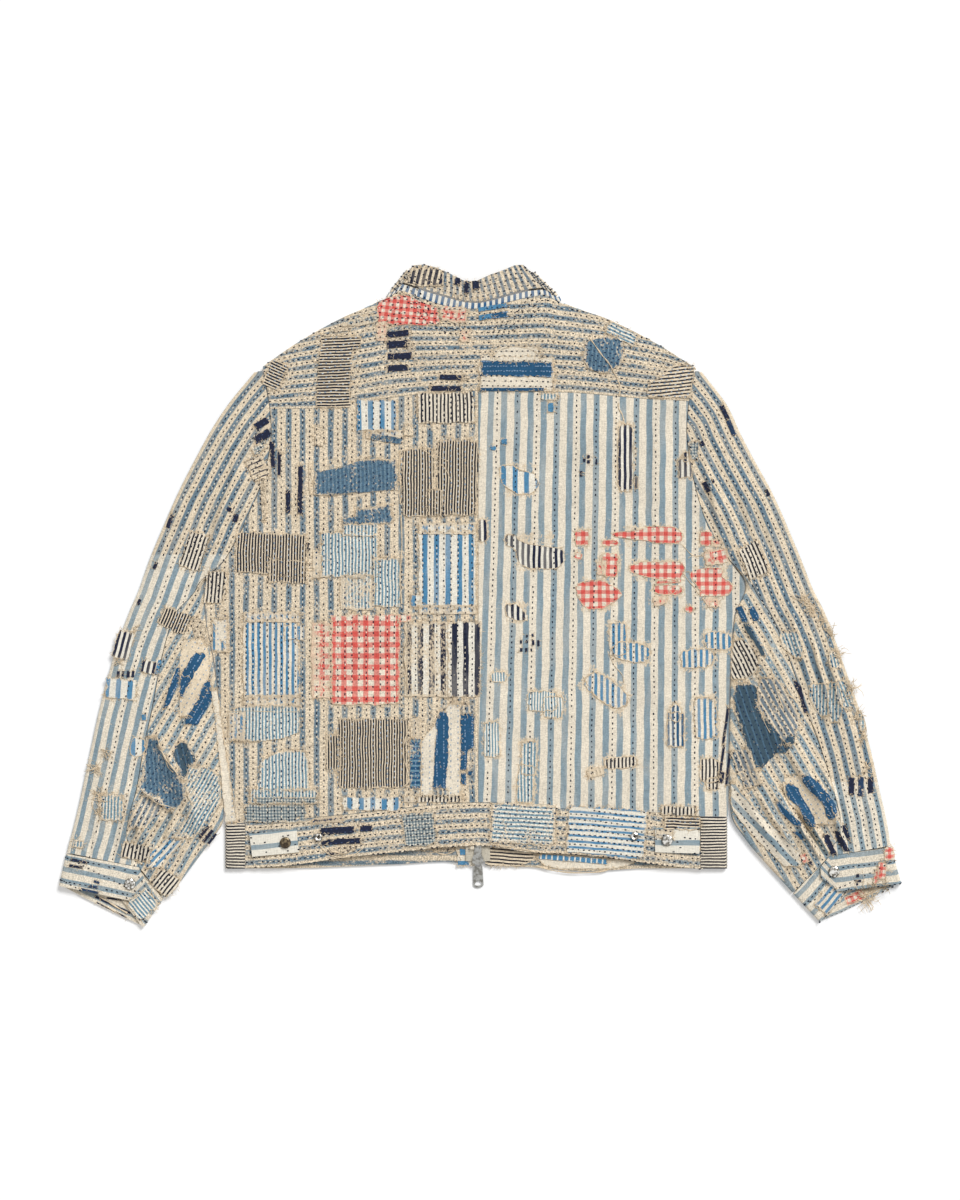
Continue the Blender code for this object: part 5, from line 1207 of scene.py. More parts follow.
class Surface:
    """What shows from above: finds the height, slope and cloth under a point."""

    def __init__(self):
        self.points, self.faces, self.cloths = [], [], []
        self.tree = None

    def add(self, form, cloth):
        points = form.points[:, form.top]
        nu, nv = points.shape[:2]
        start = len(self.points)
        self.points.extend(map(tuple, points.reshape(-1, 3)))
        for i in range(nu - 1):
            for j in range(nv - 1):
                a = start + i * nv + j
                self.faces.append((a, a + nv, a + nv + 1, a + 1))
                self.cloths.append(cloth)

    def add_mesh(self, mesh, cloth):
        start = len(self.points)
        self.points.extend(tuple(c / MM for c in vert.co) for vert in mesh.vertices)
        self.faces.extend(tuple(start + v for v in face.vertices) for face in mesh.polygons)
        self.cloths.extend([cloth] * len(mesh.polygons))

    def settle(self):
        self.tree = BVHTree.FromPolygons(self.points, self.faces)

    def under(self, x, y):
        spot, normal, index, _ = self.tree.ray_cast(Vector((x, y, CLEAR)), DOWN)
        if spot is None:
            spot, normal, index, _ = self.tree.find_nearest(Vector((x, y, USUAL)))
        if normal.z < 0:
            normal = -normal
        return max(spot.z, LOWEST), normal, self.cloths[index]


SURFACE = Surface()
FORMS = {}


# How far a panel's own wear reaches beyond a patch.
WEAR_REACH = 4.5


def worn_round(form, panel):
    """Wear of a panel's own cloth: most under and just round its patches and holes."""
    x, y = form.points[..., 0], form.points[..., 1]
    total = np.zeros_like(x)
    most = 0.5 if panel == "back_right" else 0.2
    for patch in PATCHES.get(panel, ()):
        if min(patch.wide, patch.high) > 5:
            across, along = turned(x - patch.x, y - patch.y, patch.turn)
            across, along = np.abs(across) - patch.wide / 2, np.abs(along) - patch.high / 2
            away = np.hypot(np.maximum(across, 0.0), np.maximum(along, 0.0))
            total = np.maximum(total, most * np.exp(-(away / WEAR_REACH) ** 2))
    return total


SHEETS = []


def lay_cloth(name, form, cloth, wall, rests_on, replaces, upper=None):
    """One cloth of the jacket, noted as a sheet and standing for its CAD solid.

    Upper is a second cloth and the y above which it is pieced on.
    """
    bm, layer = blank()
    faces = grid(bm, layer, form, worn_round(form, name.removesuffix("_cloth")))
    cloths = [cloth]
    if upper:
        cloths.append(upper[0])
        for face in faces:
            face.material_index = int(face.calc_center_median().y > upper[1] * MM)
    obj = made_object(name, bm, [MATERIALS[each] for each in cloths], WALLS[wall])
    flat, area = form.flat()
    SHEETS.append((obj, {"flat": flat, "held": "laid", "rests_on": rests_on, "area": area}))
    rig.replaces(obj, replaces)
    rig.slot(obj, CLOTHS[cloth].slot)
    FORMS[name] = form
    SURFACE.add(form, cloth)


# ---------------------------------------------------------------- cloths and metals

# The cloths by material slot and by the thread they are sewn with: name, ground, how worn, and
# for a striped one the stripe's colour, period, width, soft edge, lay and offset.
Band = namedtuple("Band", "colour period width soft lay offset", defaults=("along", 0.0))
Cloth = namedtuple("Cloth", "ground worn band slot thread")
CLOTH_ROWS = {("worn_stripe_cloth", "dark"): (
    ("worn_stripe", "worn_cream", 0.36, "worn_blue", 16.1, 6.6, 2.0, "along", 0.9),
    ("sleeve_worn", "worn_cream", 0.26, "worn_blue", 13.0, 6.2, 1.4),
    ("band_stripe", "worn_cream", 0.42, "worn_blue", 11.4, 5.4, 2.2),
    ("cream_worn", "cream", 0.5),
), ("clean_stripe_cloth", "dark"): (
    ("clean_stripe", "cream", 0.14, "stripe_blue", 15.1, 6.8, 0.7),
    ("sleeve_stripe", "cream", 0.2, "stripe_blue", 13.0, 6.0, 0.8),
    ("cuff_stripe", "cream", 0.22, "stripe_blue", 13.2, 5.6, 0.8),
    ("tab_stripe", "light_cream", 0.04, "stripe_blue", 18.0, 6.0, 0.6, "along", -2.0),
    ("cream", "cream", 0.12),
    ("under_stripe", "worn_cream", 0.3, "stripe_blue", 13.4, 6.2, 1.4),
), ("collar_stripe_cloth", "dark"): (
    ("collar_stripe", "worn_cream", 0.34, "mid_grey", 7.4, 3.4, 1.4, "across"),
    ("stand_stripe", "light_cream", 0.02, "stand_blue", 7.0, 3.5, 0.25, "across"),
), ("gingham_cloth", "dark"): (
    ("gingham", "cream", 0.2, "gingham_red", 12.4, 6.0, 0.8, "check"),
    ("gingham_yoke", "cream", 0.12, "gingham_red", 8.0, 4.4, 0.8, "check"),
    ("gingham_fine", "cream", 0.2, "gingham_red", 7.4, 3.7, 0.8, "check"),
    ("gingham_small", "cream", 0.1, "gingham_red", 9.4, 4.6, 0.8, "check"),
), ("navy_stripe_cloth", "ink"): (
    ("navy", "navy", 0.12),
    ("navy_blue", "navy_blue", 0.2),
), ("clean_stripe_cloth", "light"): (
    ("cream_clean", "cream", 0.14),
), ("worn_stripe_cloth", "light"): (
    ("cream_soft", "worn_cream", 0.12),
), ("mid_stripe_cloth", "pale"): (
    ("mid_dash", "mid_blue", 0.2, "light_cream", 6.4, 1.6, 0.8),
), ("pinstripe_cloth", "light"): (
    ("pinstripe_seam", "worn_cream", 0.16, "pin_black", 3.9, 1.8, 0.4, "across"),
    ("pinstripe", "worn_cream", 0.12, "pin_black", 3.2, 1.92, 0.4),
    ("pinstripe_h", "worn_cream", 0.12, "pin_black", 3.3, 1.95, 0.4, "across"),
    ("pinstripe_fine", "worn_cream", 0.14, "pin_black", 3.0, 1.8, 0.4),
    ("pinstripe_side", "cream", 0.12, "pin_black", 3.4, 1.8, 0.4, "across"),
), ("deep_stripe_cloth", "pale"): (
    ("deep_dash", "deep_blue", 0.3, "light_blue", 5.6, 2.2, 0.8, "across"),
    ("deep_blue", "deep_blue", 0.16),
), ("mid_stripe_cloth", "dark"): (
    ("mid_narrow", "cream", 0.16, "mid_blue", 6.55, 3.3, 0.6),
    ("mid_narrow_h", "cream", 0.16, "mid_blue", 6.55, 3.3, 0.6, "across"),
    ("wide_blue", "light_cream", 0.14, "mid_blue", 13.2, 5.8, 0.7),
    ("blue_narrow", "light_cream", 0.1, "deep_blue", 5.4, 2.9, 0.5),
    ("blue_dash", "light_cream", 0.12, "mid_blue", 6.7, 2.7, 0.9, "across"),
    ("blue_check", "light_cream", 0.16, "check_blue", 3.42, 2.2, 0.7, "check"),
), ("denim_cloth", "deep"): (
    ("denim", "denim", 0.3, "denim_light", 4.6, 1.8, 0.8),
    ("denim_dark", "denim_dark", 0.14, "denim", 7.2, 1.6, 1.2),
), ("pinstripe_cloth", "dark"): (
    ("pinstripe_wide", "cream", 0.14, "pin_black", 4.33, 2.0, 0.5),
), ("light_stripe_cloth", "deep"): (
    ("light_stripe", "light_cream", 0.22, "light_blue", 3.78, 2.0, 0.5),
    ("light_worn", "cream", 0.34, "light_blue", 3.78, 2.1, 0.9),
    ("light_stripe_h", "light_cream", 0.22, "light_blue", 3.78, 2.0, 0.5, "across"),
    ("light_dash", "light_cream", 0.36, "light_blue", 4.6, 2.2, 1.2, "across"),
), ("navy_stripe_cloth", "dark"): (
    ("navy_stripe", "light_cream", 0.18, "navy", 13.0, 6.2, 0.5),
    ("navy_narrow", "light_cream", 0.06, "navy", 6.3, 3.3, 0.4),
    ("navy_lines", "worn_cream", 0.3, "navy", 5.7, 1.6, 0.8, "across"),
    ("navy_worn", "navy", 0.62),
    ("navy_collar", "worn_cream", 0.24, "navy", 6.4, 3.6, 0.7),
), ("light_stripe_cloth", "dark"): (
    ("light_narrow", "light_cream", 0.08, "light_blue", 3.2, 1.5, 0.4),
    ("blue_worn", "worn_cream", 0.3, "mid_grey", 6.0, 3.8, 1.2),
), ("mid_stripe_cloth", "deep"): (
    ("mid_blue", "mid_blue", 0.22),
), ("zip_tape_cloth", "dark"): (
    ("tape", "tape", 0.1),
)}
CLOTHS = {name: Cloth(ground, worn, Band(*band) if band else None, slot, thread)
          for (slot, thread), rows in CLOTH_ROWS.items()
          for name, ground, worn, *band in rows}
# Threads in the order of their slots, and the colours of those that no cloth has.
THREADS = ("worn_cream", "cream", "dark", "light", "pale", "deep", "white", "ink")
THREAD_COLOURS = {
    "dark": (22, 28, 48), "light": (176, 188, 200), "pale": (140, 168, 196),
    "deep": (34, 60, 92), "white": (238, 233, 220), "ink": (62, 76, 108),
}
MATERIALS = {}


def linear(colour):
    """A shade written as 0-255 numbers, as the shader's own colour."""
    return tuple(((c / 255 + 0.055) / 1.055) ** 2.4 if c > 10.3 else c / 3294.6 for c in colour)


def colour_of(name):
    return (*getattr(bpy.context.scene.jacket_colours, name), 1.0)


def put(tree, kind, links=(), **settings):
    """Adds a node, sets what is named, and feeds each input from a socket or a value."""
    made = tree.nodes.new(kind)
    for name, value in settings.items():
        setattr(made, name, value)
    for place, value in dict(links).items():
        if isinstance(value, bpy.types.NodeSocket):
            tree.links.new(value, made.inputs[place])
        else:
            made.inputs[place].default_value = value
    return made


def maths(tree, operation, *values):
    return put(tree, "ShaderNodeMath", dict(enumerate(values)), operation=operation).outputs[0]


def blend_colour(tree, share, a, b, kind="MIX"):
    return put(tree, "ShaderNodeMix", {0: share, 6: a, 7: b}, data_type="RGBA",
               blend_type=kind).outputs[2]


def shaded(tree, colour, value):
    """The colour made lighter or darker by a value round 1."""
    grey = put(tree, "ShaderNodeCombineXYZ", {0: value, 1: value, 2: value}).outputs[0]
    return blend_colour(tree, 1.0, colour, grey, "MULTIPLY")


def vector_maths(tree, operation, a, b):
    return put(tree, "ShaderNodeVectorMath", {0: a, 1: b}, operation=operation).outputs[0]


def noise(tree, place, scale, detail, output=0, links=(), **settings):
    links = {"Vector": place, "Scale": scale, "Detail": detail, **dict(links)}
    return put(tree, "ShaderNodeTexNoise", links, **settings).outputs[output]


def between(tree, value, low, high, to_low=0.0, to_high=1.0):
    return put(tree, "ShaderNodeMapRange", {0: value, 1: low, 2: high, 3: to_low, 4: to_high},
               interpolation_type="SMOOTHSTEP").outputs[0]


def new_group(name, inputs, outputs):
    """An empty node group; inputs are (name, kind, default) and outputs are (name, kind)."""
    group = bpy.data.node_groups.new(name, "ShaderNodeTree")
    for label, kind, default in inputs:
        made = group.interface.new_socket(label, in_out="INPUT", socket_type="NodeSocket" + kind)
        if default is not None:
            made.default_value = default
    for label, kind in outputs:
        group.interface.new_socket(label, in_out="OUTPUT", socket_type="NodeSocket" + kind)
    return (group, group.nodes.new("NodeGroupInput").outputs,
            group.nodes.new("NodeGroupOutput").inputs)


def stripe_group():
    group, given, out = new_group(
        "Stripe line", [("Across", "Float", 0.0), ("Period", "Float", 0.01),
                        ("Width", "Float", 0.005), ("Offset", "Float", 0.0),
                        ("Softness", "Float", 0.0005)], [("Mask", "Float")])
    place = maths(group, "DIVIDE", maths(group, "ADD", given["Across"], given["Offset"]),
                  given["Period"])
    gap = maths(group, "ABSOLUTE", maths(group, "SUBTRACT", maths(group, "FRACT", place), 0.5))
    gap = maths(group, "MULTIPLY", gap, given["Period"])
    half = maths(group, "MULTIPLY", given["Width"], 0.5)
    soft = maths(group, "MULTIPLY", given["Softness"], 0.5)
    inner, outer = maths(group, "SUBTRACT", half, soft), maths(group, "ADD", half, soft)
    group.links.new(between(group, gap, inner, outer, 1.0, 0.0), out["Mask"])
    return group


def yarn_group():
    """Over and under yarns with slubs: a height and a light and dark shade of each yarn."""
    group, given, out = new_group("Yarns", [("Cloth", "Vector", None), ("Yarn", "Float", 0.0009)],
                                  [("Height", "Float"), ("Shade", "Float")])
    xyz = put(group, "ShaderNodeSeparateXYZ", {0: given["Cloth"]}).outputs
    waves = []
    for axis in (0, 1):
        turns = maths(group, "DIVIDE", xyz[axis], given["Yarn"])
        waves.append(maths(group, "SINE", maths(group, "MULTIPLY", turns, math.pi)))
    weave = maths(group, "MULTIPLY", *waves)
    shades = []
    for stretch in ((1400.0, 120.0, 1.0), (120.0, 1400.0, 1.0)):
        moved = vector_maths(group, "MULTIPLY", given["Cloth"], stretch)
        shades.append(noise(group, moved, 1.0, 1.0))
    slub = maths(group, "MULTIPLY", maths(group, "ADD", *shades), 0.5)
    group.links.new(maths(group, "ADD", maths(group, "MULTIPLY", weave, 0.5), slub),
                    out["Height"])
    group.links.new(between(group, slub, 0.34, 0.66, 0.87, 1.14), out["Shade"])
    return group


def worn_group():
    """Where pale broken yarns cover the colour: short streaks along the cloth."""
    group, given, out = new_group("Worn yarns", [("Cloth", "Vector", None),
                                                 ("Amount", "Float", 0.3)], [("Mask", "Float")])
    masks = []
    for stretch, share in (((430.0, 260.0, 1.0), 1.0), ((60.0, 38.0, 1.0), 0.8)):
        moved = vector_maths(group, "MULTIPLY", given["Cloth"], stretch)
        streaks = noise(group, moved, 1.0, 2.5, links={"Roughness": 0.6})
        masks.append(maths(group, "MULTIPLY", streaks, share))
    mixed = maths(group, "DIVIDE", maths(group, "ADD", *masks), 1.8)
    limit = maths(group, "SUBTRACT", 0.72, maths(group, "MULTIPLY", given["Amount"], 0.42))
    mask = between(group, mixed, maths(group, "SUBTRACT", limit, 0.05),
                   maths(group, "ADD", limit, 0.06))
    group.links.new(mask, out["Mask"])
    return group


def speckle_group():
    """Fine light and dark specks of fluffed yarn, round 1."""
    group, given, out = new_group("Specks", [("Cloth", "Vector", None),
                                             ("Strength", "Float", 0.5)], [("Value", "Float")])
    mixed = maths(group, "ADD", *(
        maths(group, "MULTIPLY", noise(group, given["Cloth"], scale, detail), share)
        for scale, detail, share in ((620.0, 1.0, 0.65), (260.0, 2.0, 0.35))))
    spread = between(group, mixed, 0.36, 0.62, -0.62, 0.3)
    group.links.new(maths(group, "ADD", 1.0, maths(group, "MULTIPLY", spread,
                                                   given["Strength"])), out["Value"])
    return group


def fade_group():
    """Broad uneven fading and soil, round 1."""
    group, given, out = new_group("Fading", [("Cloth", "Vector", None), ("Size", "Float", 0.05),
                                             ("Strength", "Float", 0.12)], [("Value", "Float")])
    scale = maths(group, "DIVIDE", 1.0, given["Size"])
    uneven = maths(group, "SUBTRACT", noise(group, given["Cloth"], scale, 3.0), 0.5)
    value = maths(group, "MULTIPLY", uneven, given["Strength"])
    group.links.new(maths(group, "ADD", 1.0, maths(group, "MULTIPLY", value, 2.0)), out["Value"])
    return group


def group_node(tree, group, **links):
    return put(tree, "ShaderNodeGroup", {k.replace("_", " "): v for k, v in links.items()},
               node_tree=bpy.data.node_groups[group]).outputs


def new_material(name):
    """A material, its node tree and the inputs of its shader."""
    material = bpy.data.materials.new(name)
    material.use_nodes = True
    tree = material.node_tree
    return material, tree, tree.nodes["Principled BSDF"].inputs


def bump(tree, shader, height, strength, distance):
    made = put(tree, "ShaderNodeBump", {"Strength": strength, "Distance": distance,
                                        "Height": height})
    tree.links.new(made.outputs[0], shader["Normal"])


def pattern(tree, cloth, place):
    """The cloth's ground with its stripes or checks, which wander a little as they run."""
    bend = noise(tree, place, 34.0, 2.0, 1, noise_dimensions="2D")
    bend = vector_maths(tree, "SUBTRACT", bend, (0.5, 0.5, 0.5))
    bend = vector_maths(tree, "MULTIPLY", bend, (0.0022, 0.0022, 0.0))
    xyz = put(tree, "ShaderNodeSeparateXYZ", {
        0: vector_maths(tree, "ADD", place, bend)}).outputs
    streak = vector_maths(tree, "MULTIPLY", place, (75.0, 12.0, 1.0))
    streak = between(tree, noise(tree, streak, 1.0, 2.0, noise_dimensions="2D"), 0.32, 0.58,
                     0.8, 1.0)
    colour, band = colour_of(cloth.ground), cloth.band
    for axis in {"along": (0,), "across": (1,), "check": (0, 1)}[band.lay] if band else ():
        mask = group_node(tree, "Stripe line", Across=xyz[axis], Period=band.period * MM,
                          Width=band.width * MM, Offset=band.offset * MM,
                          Softness=band.soft * MM)["Mask"]
        if band.lay == "check":
            mask = maths(tree, "MULTIPLY", mask, 0.68)
            tint = blend_colour(tree, mask, (1.0, 1.0, 1.0, 1.0), colour_of(band.colour))
            colour = blend_colour(tree, 1.0, colour, tint, "MULTIPLY")
            continue
        if band.period > 5:
            mask = maths(tree, "MULTIPLY", mask, streak)
        colour = blend_colour(tree, mask, colour, colour_of(band.colour))
    return colour


def cloth_material(name, cloth):
    material, tree, shader = new_material(name)
    place = put(tree, "ShaderNodeUVMap", uv_map="Cloth").outputs[0]
    yarns = group_node(tree, "Yarns", Cloth=place)
    edge = put(tree, "ShaderNodeAttribute", attribute_name="wear").outputs["Fac"]
    amount = maths(tree, "ADD", maths(tree, "MULTIPLY", edge, 0.9), cloth.worn)
    worn = group_node(tree, "Worn yarns", Cloth=place, Amount=amount)["Mask"]
    colour = blend_colour(tree, maths(tree, "MULTIPLY", worn, 0.85), pattern(tree, cloth, place),
                          colour_of("worn_thread"))
    fading = group_node(tree, "Fading", Cloth=place, Size=0.045, Strength=0.16)["Value"]
    specks = group_node(tree, "Specks", Cloth=place,
                        Strength=min(0.95, 1.7 * cloth.worn))["Value"]
    value = maths(tree, "MULTIPLY", maths(tree, "MULTIPLY", fading, yarns["Shade"]), specks)
    tree.links.new(shaded(tree, colour, value), shader["Base Color"])
    tree.links.new(between(tree, yarns["Height"], -0.5, 1.5, 0.96, 0.8), shader["Roughness"])
    height = maths(tree, "ADD", yarns["Height"], maths(tree, "MULTIPLY", worn, 0.8))
    bump(tree, shader, height, 0.55, 0.0005)
    shader["Sheen Weight"].default_value = 0.08
    shader["Sheen Roughness"].default_value = 0.6
    shader["Specular IOR Level"].default_value = 0.2
    return material


def thread_material(name, colour):
    material, tree, shader = new_material(name)
    place = put(tree, "ShaderNodeTexCoord").outputs["Object"]
    small, broad = (noise(tree, place, scale, 2.0) for scale in (900.0, 60.0))
    value = maths(tree, "MULTIPLY", between(tree, small, 0.3, 0.7, 0.72, 1.15),
                  between(tree, broad, 0.3, 0.7, 0.85, 1.1))
    tree.links.new(shaded(tree, colour, value), shader["Base Color"])
    tree.links.new(between(tree, small, 0.2, 0.8, 0.95, 0.75), shader["Roughness"])
    bump(tree, shader, small, 0.5, 0.0003)
    shader["Specular IOR Level"].default_value = 0.2
    return material


def metal_material(name, bright, dull, rough):
    """Worn metal with tarnish in patches and fine scratches, and painted shade: faces that turn away from straight up
    take the dull, rougher colour.
    """
    material, tree, shader = new_material(name)
    place = put(tree, "ShaderNodeTexCoord").outputs["Object"]
    blot = noise(tree, place, 320.0, 4.0)
    line = put(tree, "ShaderNodeMapping", {"Vector": place, "Scale": (600.0, 4000.0, 600.0)})
    # Painted shade: the more a face turns away from straight up, the more it takes the dull colour. This stands in for
    # the darker light and reflections on the sides of each part.
    painted_top_light = put(tree, "ShaderNodeSeparateXYZ", {
        "Vector": put(tree, "ShaderNodeNewGeometry").outputs["Normal"]}).outputs[2]
    mask = maths(tree, "MULTIPLY", between(tree, blot, 0.38, 0.62),
                 between(tree, painted_top_light, 0.25, 0.95))
    tree.links.new(blend_colour(tree, mask, (*linear(dull), 1), (*linear(bright), 1)),
                   shader["Base Color"])
    tree.links.new(between(tree, mask, 0.0, 1.0, rough + 0.2, rough), shader["Roughness"])
    tree.links.new(between(tree, mask, 0.0, 1.0, 0.7, 1.0), shader["Metallic"])
    bump(tree, shader, noise(tree, line.outputs[0], 1.0, 2.0), 0.3, 0.0002)
    return material


# ---------------------------------------------------------------- CAD shapes made into cloth

def refit(name, node, cloth, held="laid", turn=0.0, bevel=0.5):
    """Cloth whose shape is right in the solids: merged, its edges eased and given a pattern."""
    bm, layer = blank()
    bm.from_mesh(frame["nodes"][node].data)
    bmesh.ops.remove_doubles(bm, verts=bm.verts, dist=1e-6)
    bmesh.ops.dissolve_limit(bm, angle_limit=math.radians(1.0), verts=bm.verts, edges=bm.edges)
    sharp = [e for e in bm.edges if len(e.link_faces) == 2
             and e.calc_face_angle(0.0) > math.radians(CRISP_EDGE)]
    bmesh.ops.bevel(bm, geom=sharp, offset=bevel * MM, offset_type="OFFSET", segments=2,
                    profile=0.5, material=-1, affect="EDGES", clamp_overlap=True)
    area = 0.0
    for face in bm.faces:
        face.smooth = True
        area += face.calc_area() / 2
        for loop in face.loops:
            x, y, z = loop.vert.co
            x, y = (x + z, y) if abs(face.normal.x) > 0.7 else (x, y + z)
            loop[layer].uv = turned(x, y, turn)
    obj = made_object(name, bm, [MATERIALS[cloth]])
    low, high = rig.box(node)
    long = round(high.y - low.y, 4)
    wide = round(max(high.x - low.x, area / long), 4)
    share = max(min(area, wide * long), 0.31 * wide * long)
    SHEETS.append((obj, {"flat": (wide, long), "held": held, "rests_on": [], "area": share}))
    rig.replaces(obj, node)
    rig.slot(obj, CLOTHS[cloth].slot)
    return obj


# ---------------------------------------------------------------- patches

LAID = []


class Laid:
    """A patch that is already down, for whatever comes on top of it."""

    def __init__(self, form, cloth):
        self.surface = Surface()
        self.surface.add(form, cloth)
        self.surface.settle()
        low, high = form.points[..., :2].min((0, 1)), form.points[..., :2].max((0, 1))
        self.box = (*low, *high)


def surface_at(x, y):
    """Height, slope and cloth of the topmost layer, with the patches laid so far."""
    z, normal, cloth = SURFACE.under(x, y)
    for patch in LAID:
        if patch.box[0] < x < patch.box[2] and patch.box[1] < y < patch.box[3]:
            spot, slope, index, _ = patch.surface.tree.ray_cast(Vector((x, y, CLEAR)), DOWN)
            if spot is not None and spot.z > z:
                z, cloth = spot.z, patch.surface.cloths[index]
                normal = slope if slope.z > 0 else -slope
    return z, normal, cloth


# Wear over the whole of a patch, by how it is made.
WEAR = {"on": 0.0, "bar": 0.0, "faded": 0.4, "worn": 0.35, "hole": -0.1}
# Lumps in the edge of a patch: size, reach over the patch, length and seed.
LUMPS = ((1.3, 40, 26, 4), (0.8, 60, 8, 6))


def outline_at(patch, a, b):
    """Place of a patch's own coordinates a and b, each from -1 to 1, with an uneven edge."""
    if patch.rows:
        ys, lefts, rights = zip(*patch.rows)
        y = ys[0] + (ys[-1] - ys[0]) * (b + 1) / 2
        left, right = np.interp(y, ys, lefts), np.interp(y, ys, rights)
        x = left + (right - left) * (a + 1) / 2
        rough = 0.5 * max(abs(a), abs(b)) ** 3
        return (x + rough * float(ripple(x, y, 7, 6)), y + rough * float(ripple(x, y, 7, 8)))
    x = a * (1 - patch.round * (1 - math.sqrt(1 - b * b / 2)))
    y = b * (1 - patch.round * (1 - math.sqrt(1 - a * a / 2)))
    edge = max(abs(a), abs(b)) ** 3
    lump = sum(size * float(ripple(patch.x + reach * a, patch.y + reach * b, length, seed))
               for size, reach, length, seed in LUMPS)
    grow = edge * lump * min(1.0, min(patch.wide, patch.high) / 24)
    x = x * (patch.wide / 2) + grow * x
    y = y * (patch.high / 2) + grow * y
    cos, sin = math.cos(math.radians(patch.turn)), math.sin(math.radians(patch.turn))
    return patch.x + cos * x - sin * y, patch.y + sin * x + cos * y


def rim_at(patch, steps):
    """Points round a patch's edge, one way round, closed."""
    spots = []
    for k in range(steps):
        t = 8.0 * k / steps
        side, part = int(t) // 2, (t % 2) - 1
        a, b = ((part, -1), (1, part), (-part, 1), (-1, -part))[side]
        spots.append(outline_at(patch, a, b))
    return spots


# How far a raw edge strays from its line.
RAW_EDGE = 0.6


def patch_form(patch, rng):
    """A patch as a grid of small cells on what lies below it, and the wear at each point."""
    hole = patch.kind == "hole"
    cell = sizes().cell / MM * (0.6 if patch.kind in ("hole", "bar") else 1)
    nu, nv = (max(2, round(s / cell)) for s in (patch.wide, patch.high))
    points, coords = np.zeros((nu + 1, nv + 1, 3)), np.zeros((nu + 1, nv + 1, 2))
    wear = np.zeros((nu + 1, nv + 1))
    for i in range(nu + 1):
        for j in range(nv + 1):
            a, b = 2 * i / nu - 1, 2 * j / nv - 1
            x, y = outline_at(patch, a, b)
            if (i in (0, nu) or j in (0, nv)) and min(patch.wide, patch.high) > 8:
                x += rng.uniform(-RAW_EDGE, RAW_EDGE)
                y += rng.uniform(-RAW_EDGE, RAW_EDGE)
            lift = 0.4 if hole else 1.0
            z = surface_at(x, y)[0] + lift + 0.1 * float(ripple(x, y, 17, 9))
            points[i, j] = x, y, z
            across, along = turned(x, y, 0.0 if hole else patch.turn)
            coords[i, j] = across + patch.slide, along
            edge = min((1 - abs(a)) * patch.wide, (1 - abs(b)) * patch.high) / 2
            most = 0.12 if patch.kind == "bar" else 0.5
            wear[i, j] = WEAR[patch.kind] + most * math.exp(-edge / 1.6)
    return Form(points, coords), wear


def lay_patches(panel, rng):
    """All the patches of a panel, in one piece with a slot for each cloth."""
    rows = PATCHES[panel]
    cloths = sorted({p.cloth for p in rows})
    bm, layer = blank()
    for patch in rows:
        form, wear = patch_form(patch, rng)
        grid(bm, layer, form, wear, cloths.index(patch.cloth))
        LAID.append(Laid(form, patch.cloth))
    obj = made_object("patches_" + panel, bm, [MATERIALS[c] for c in cloths], WALLS["patch"])
    if panel in PANEL_NODES:
        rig.replaces(obj, *PANEL_NODES[panel])
    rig.slot(obj, CLOTHS[rows[0].cloth].slot)


# ---------------------------------------------------------------- threads

class Threads:
    """Loose threads, rolled edges and lines of painted shade: open lines with a thickness, made into one mesh."""

    def __init__(self, name):
        self.name = name
        self.curve = bpy.data.curves.new(name, "CURVE")
        self.curve.dimensions = "3D"
        self.curve.bevel_depth = 1.0
        self.curve.bevel_resolution = 0
        self.curve.use_fill_caps = True

    def line(self, spots, thick, thread, closed=False):
        """A line through the spots, with a half width at each."""
        spline = self.curve.splines.new("POLY")
        spline.points.add(len(spots) - 1)
        flat = [value for x, y, z in spots for value in (x * MM, y * MM, z * MM, 1.0)]
        spline.points.foreach_set("co", flat)
        spline.points.foreach_set("radius", [t * MM for t in thick])
        spline.material_index = THREADS.index(thread)
        spline.use_cyclic_u = closed
        spline.use_smooth = True

    def make(self):
        holder = placed(self.name, self.curve)
        mesh = finished(holder)
        bpy.data.objects.remove(holder)
        mesh.name = self.name
        mesh.materials.clear()
        thread_piece(self.name, mesh)


def thread_piece(name, mesh):
    """A mesh of threads, with a slot for each, as a piece that rides on the jacket."""
    for each in THREADS:
        mesh.materials.append(MATERIALS[each + "_thread"])
    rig.ride(placed(name, mesh), "jacket")


def loose(threads, rng, x, y, length, angle, thick, thread, rise):
    """One loose thread lying on the cloth from x, y, wandering as it goes."""
    spots, steps = [], max(2, round(length / 2.2))
    bend = rng.uniform(-0.5, 0.5)
    for k in range(steps + 1):
        z = surface_at(x, y)[0]
        hump = rise * math.sin(math.pi * k / steps)
        spots.append((x, y, z + thick * 0.8 + hump))
        angle += bend * 0.45 + rng.uniform(-0.35, 0.35)
        x += math.cos(angle) * length / steps
        y += math.sin(angle) * length / steps
    threads.line(spots, [thick] * steps + [thick * 0.5], thread)


# Space round the edge for each broken yarn, by how the patch is made.
FRAY_GAP = {"hole": 3.6, "on": 2.0, "faded": 2.4, "worn": 2.4, "bar": 3.6}


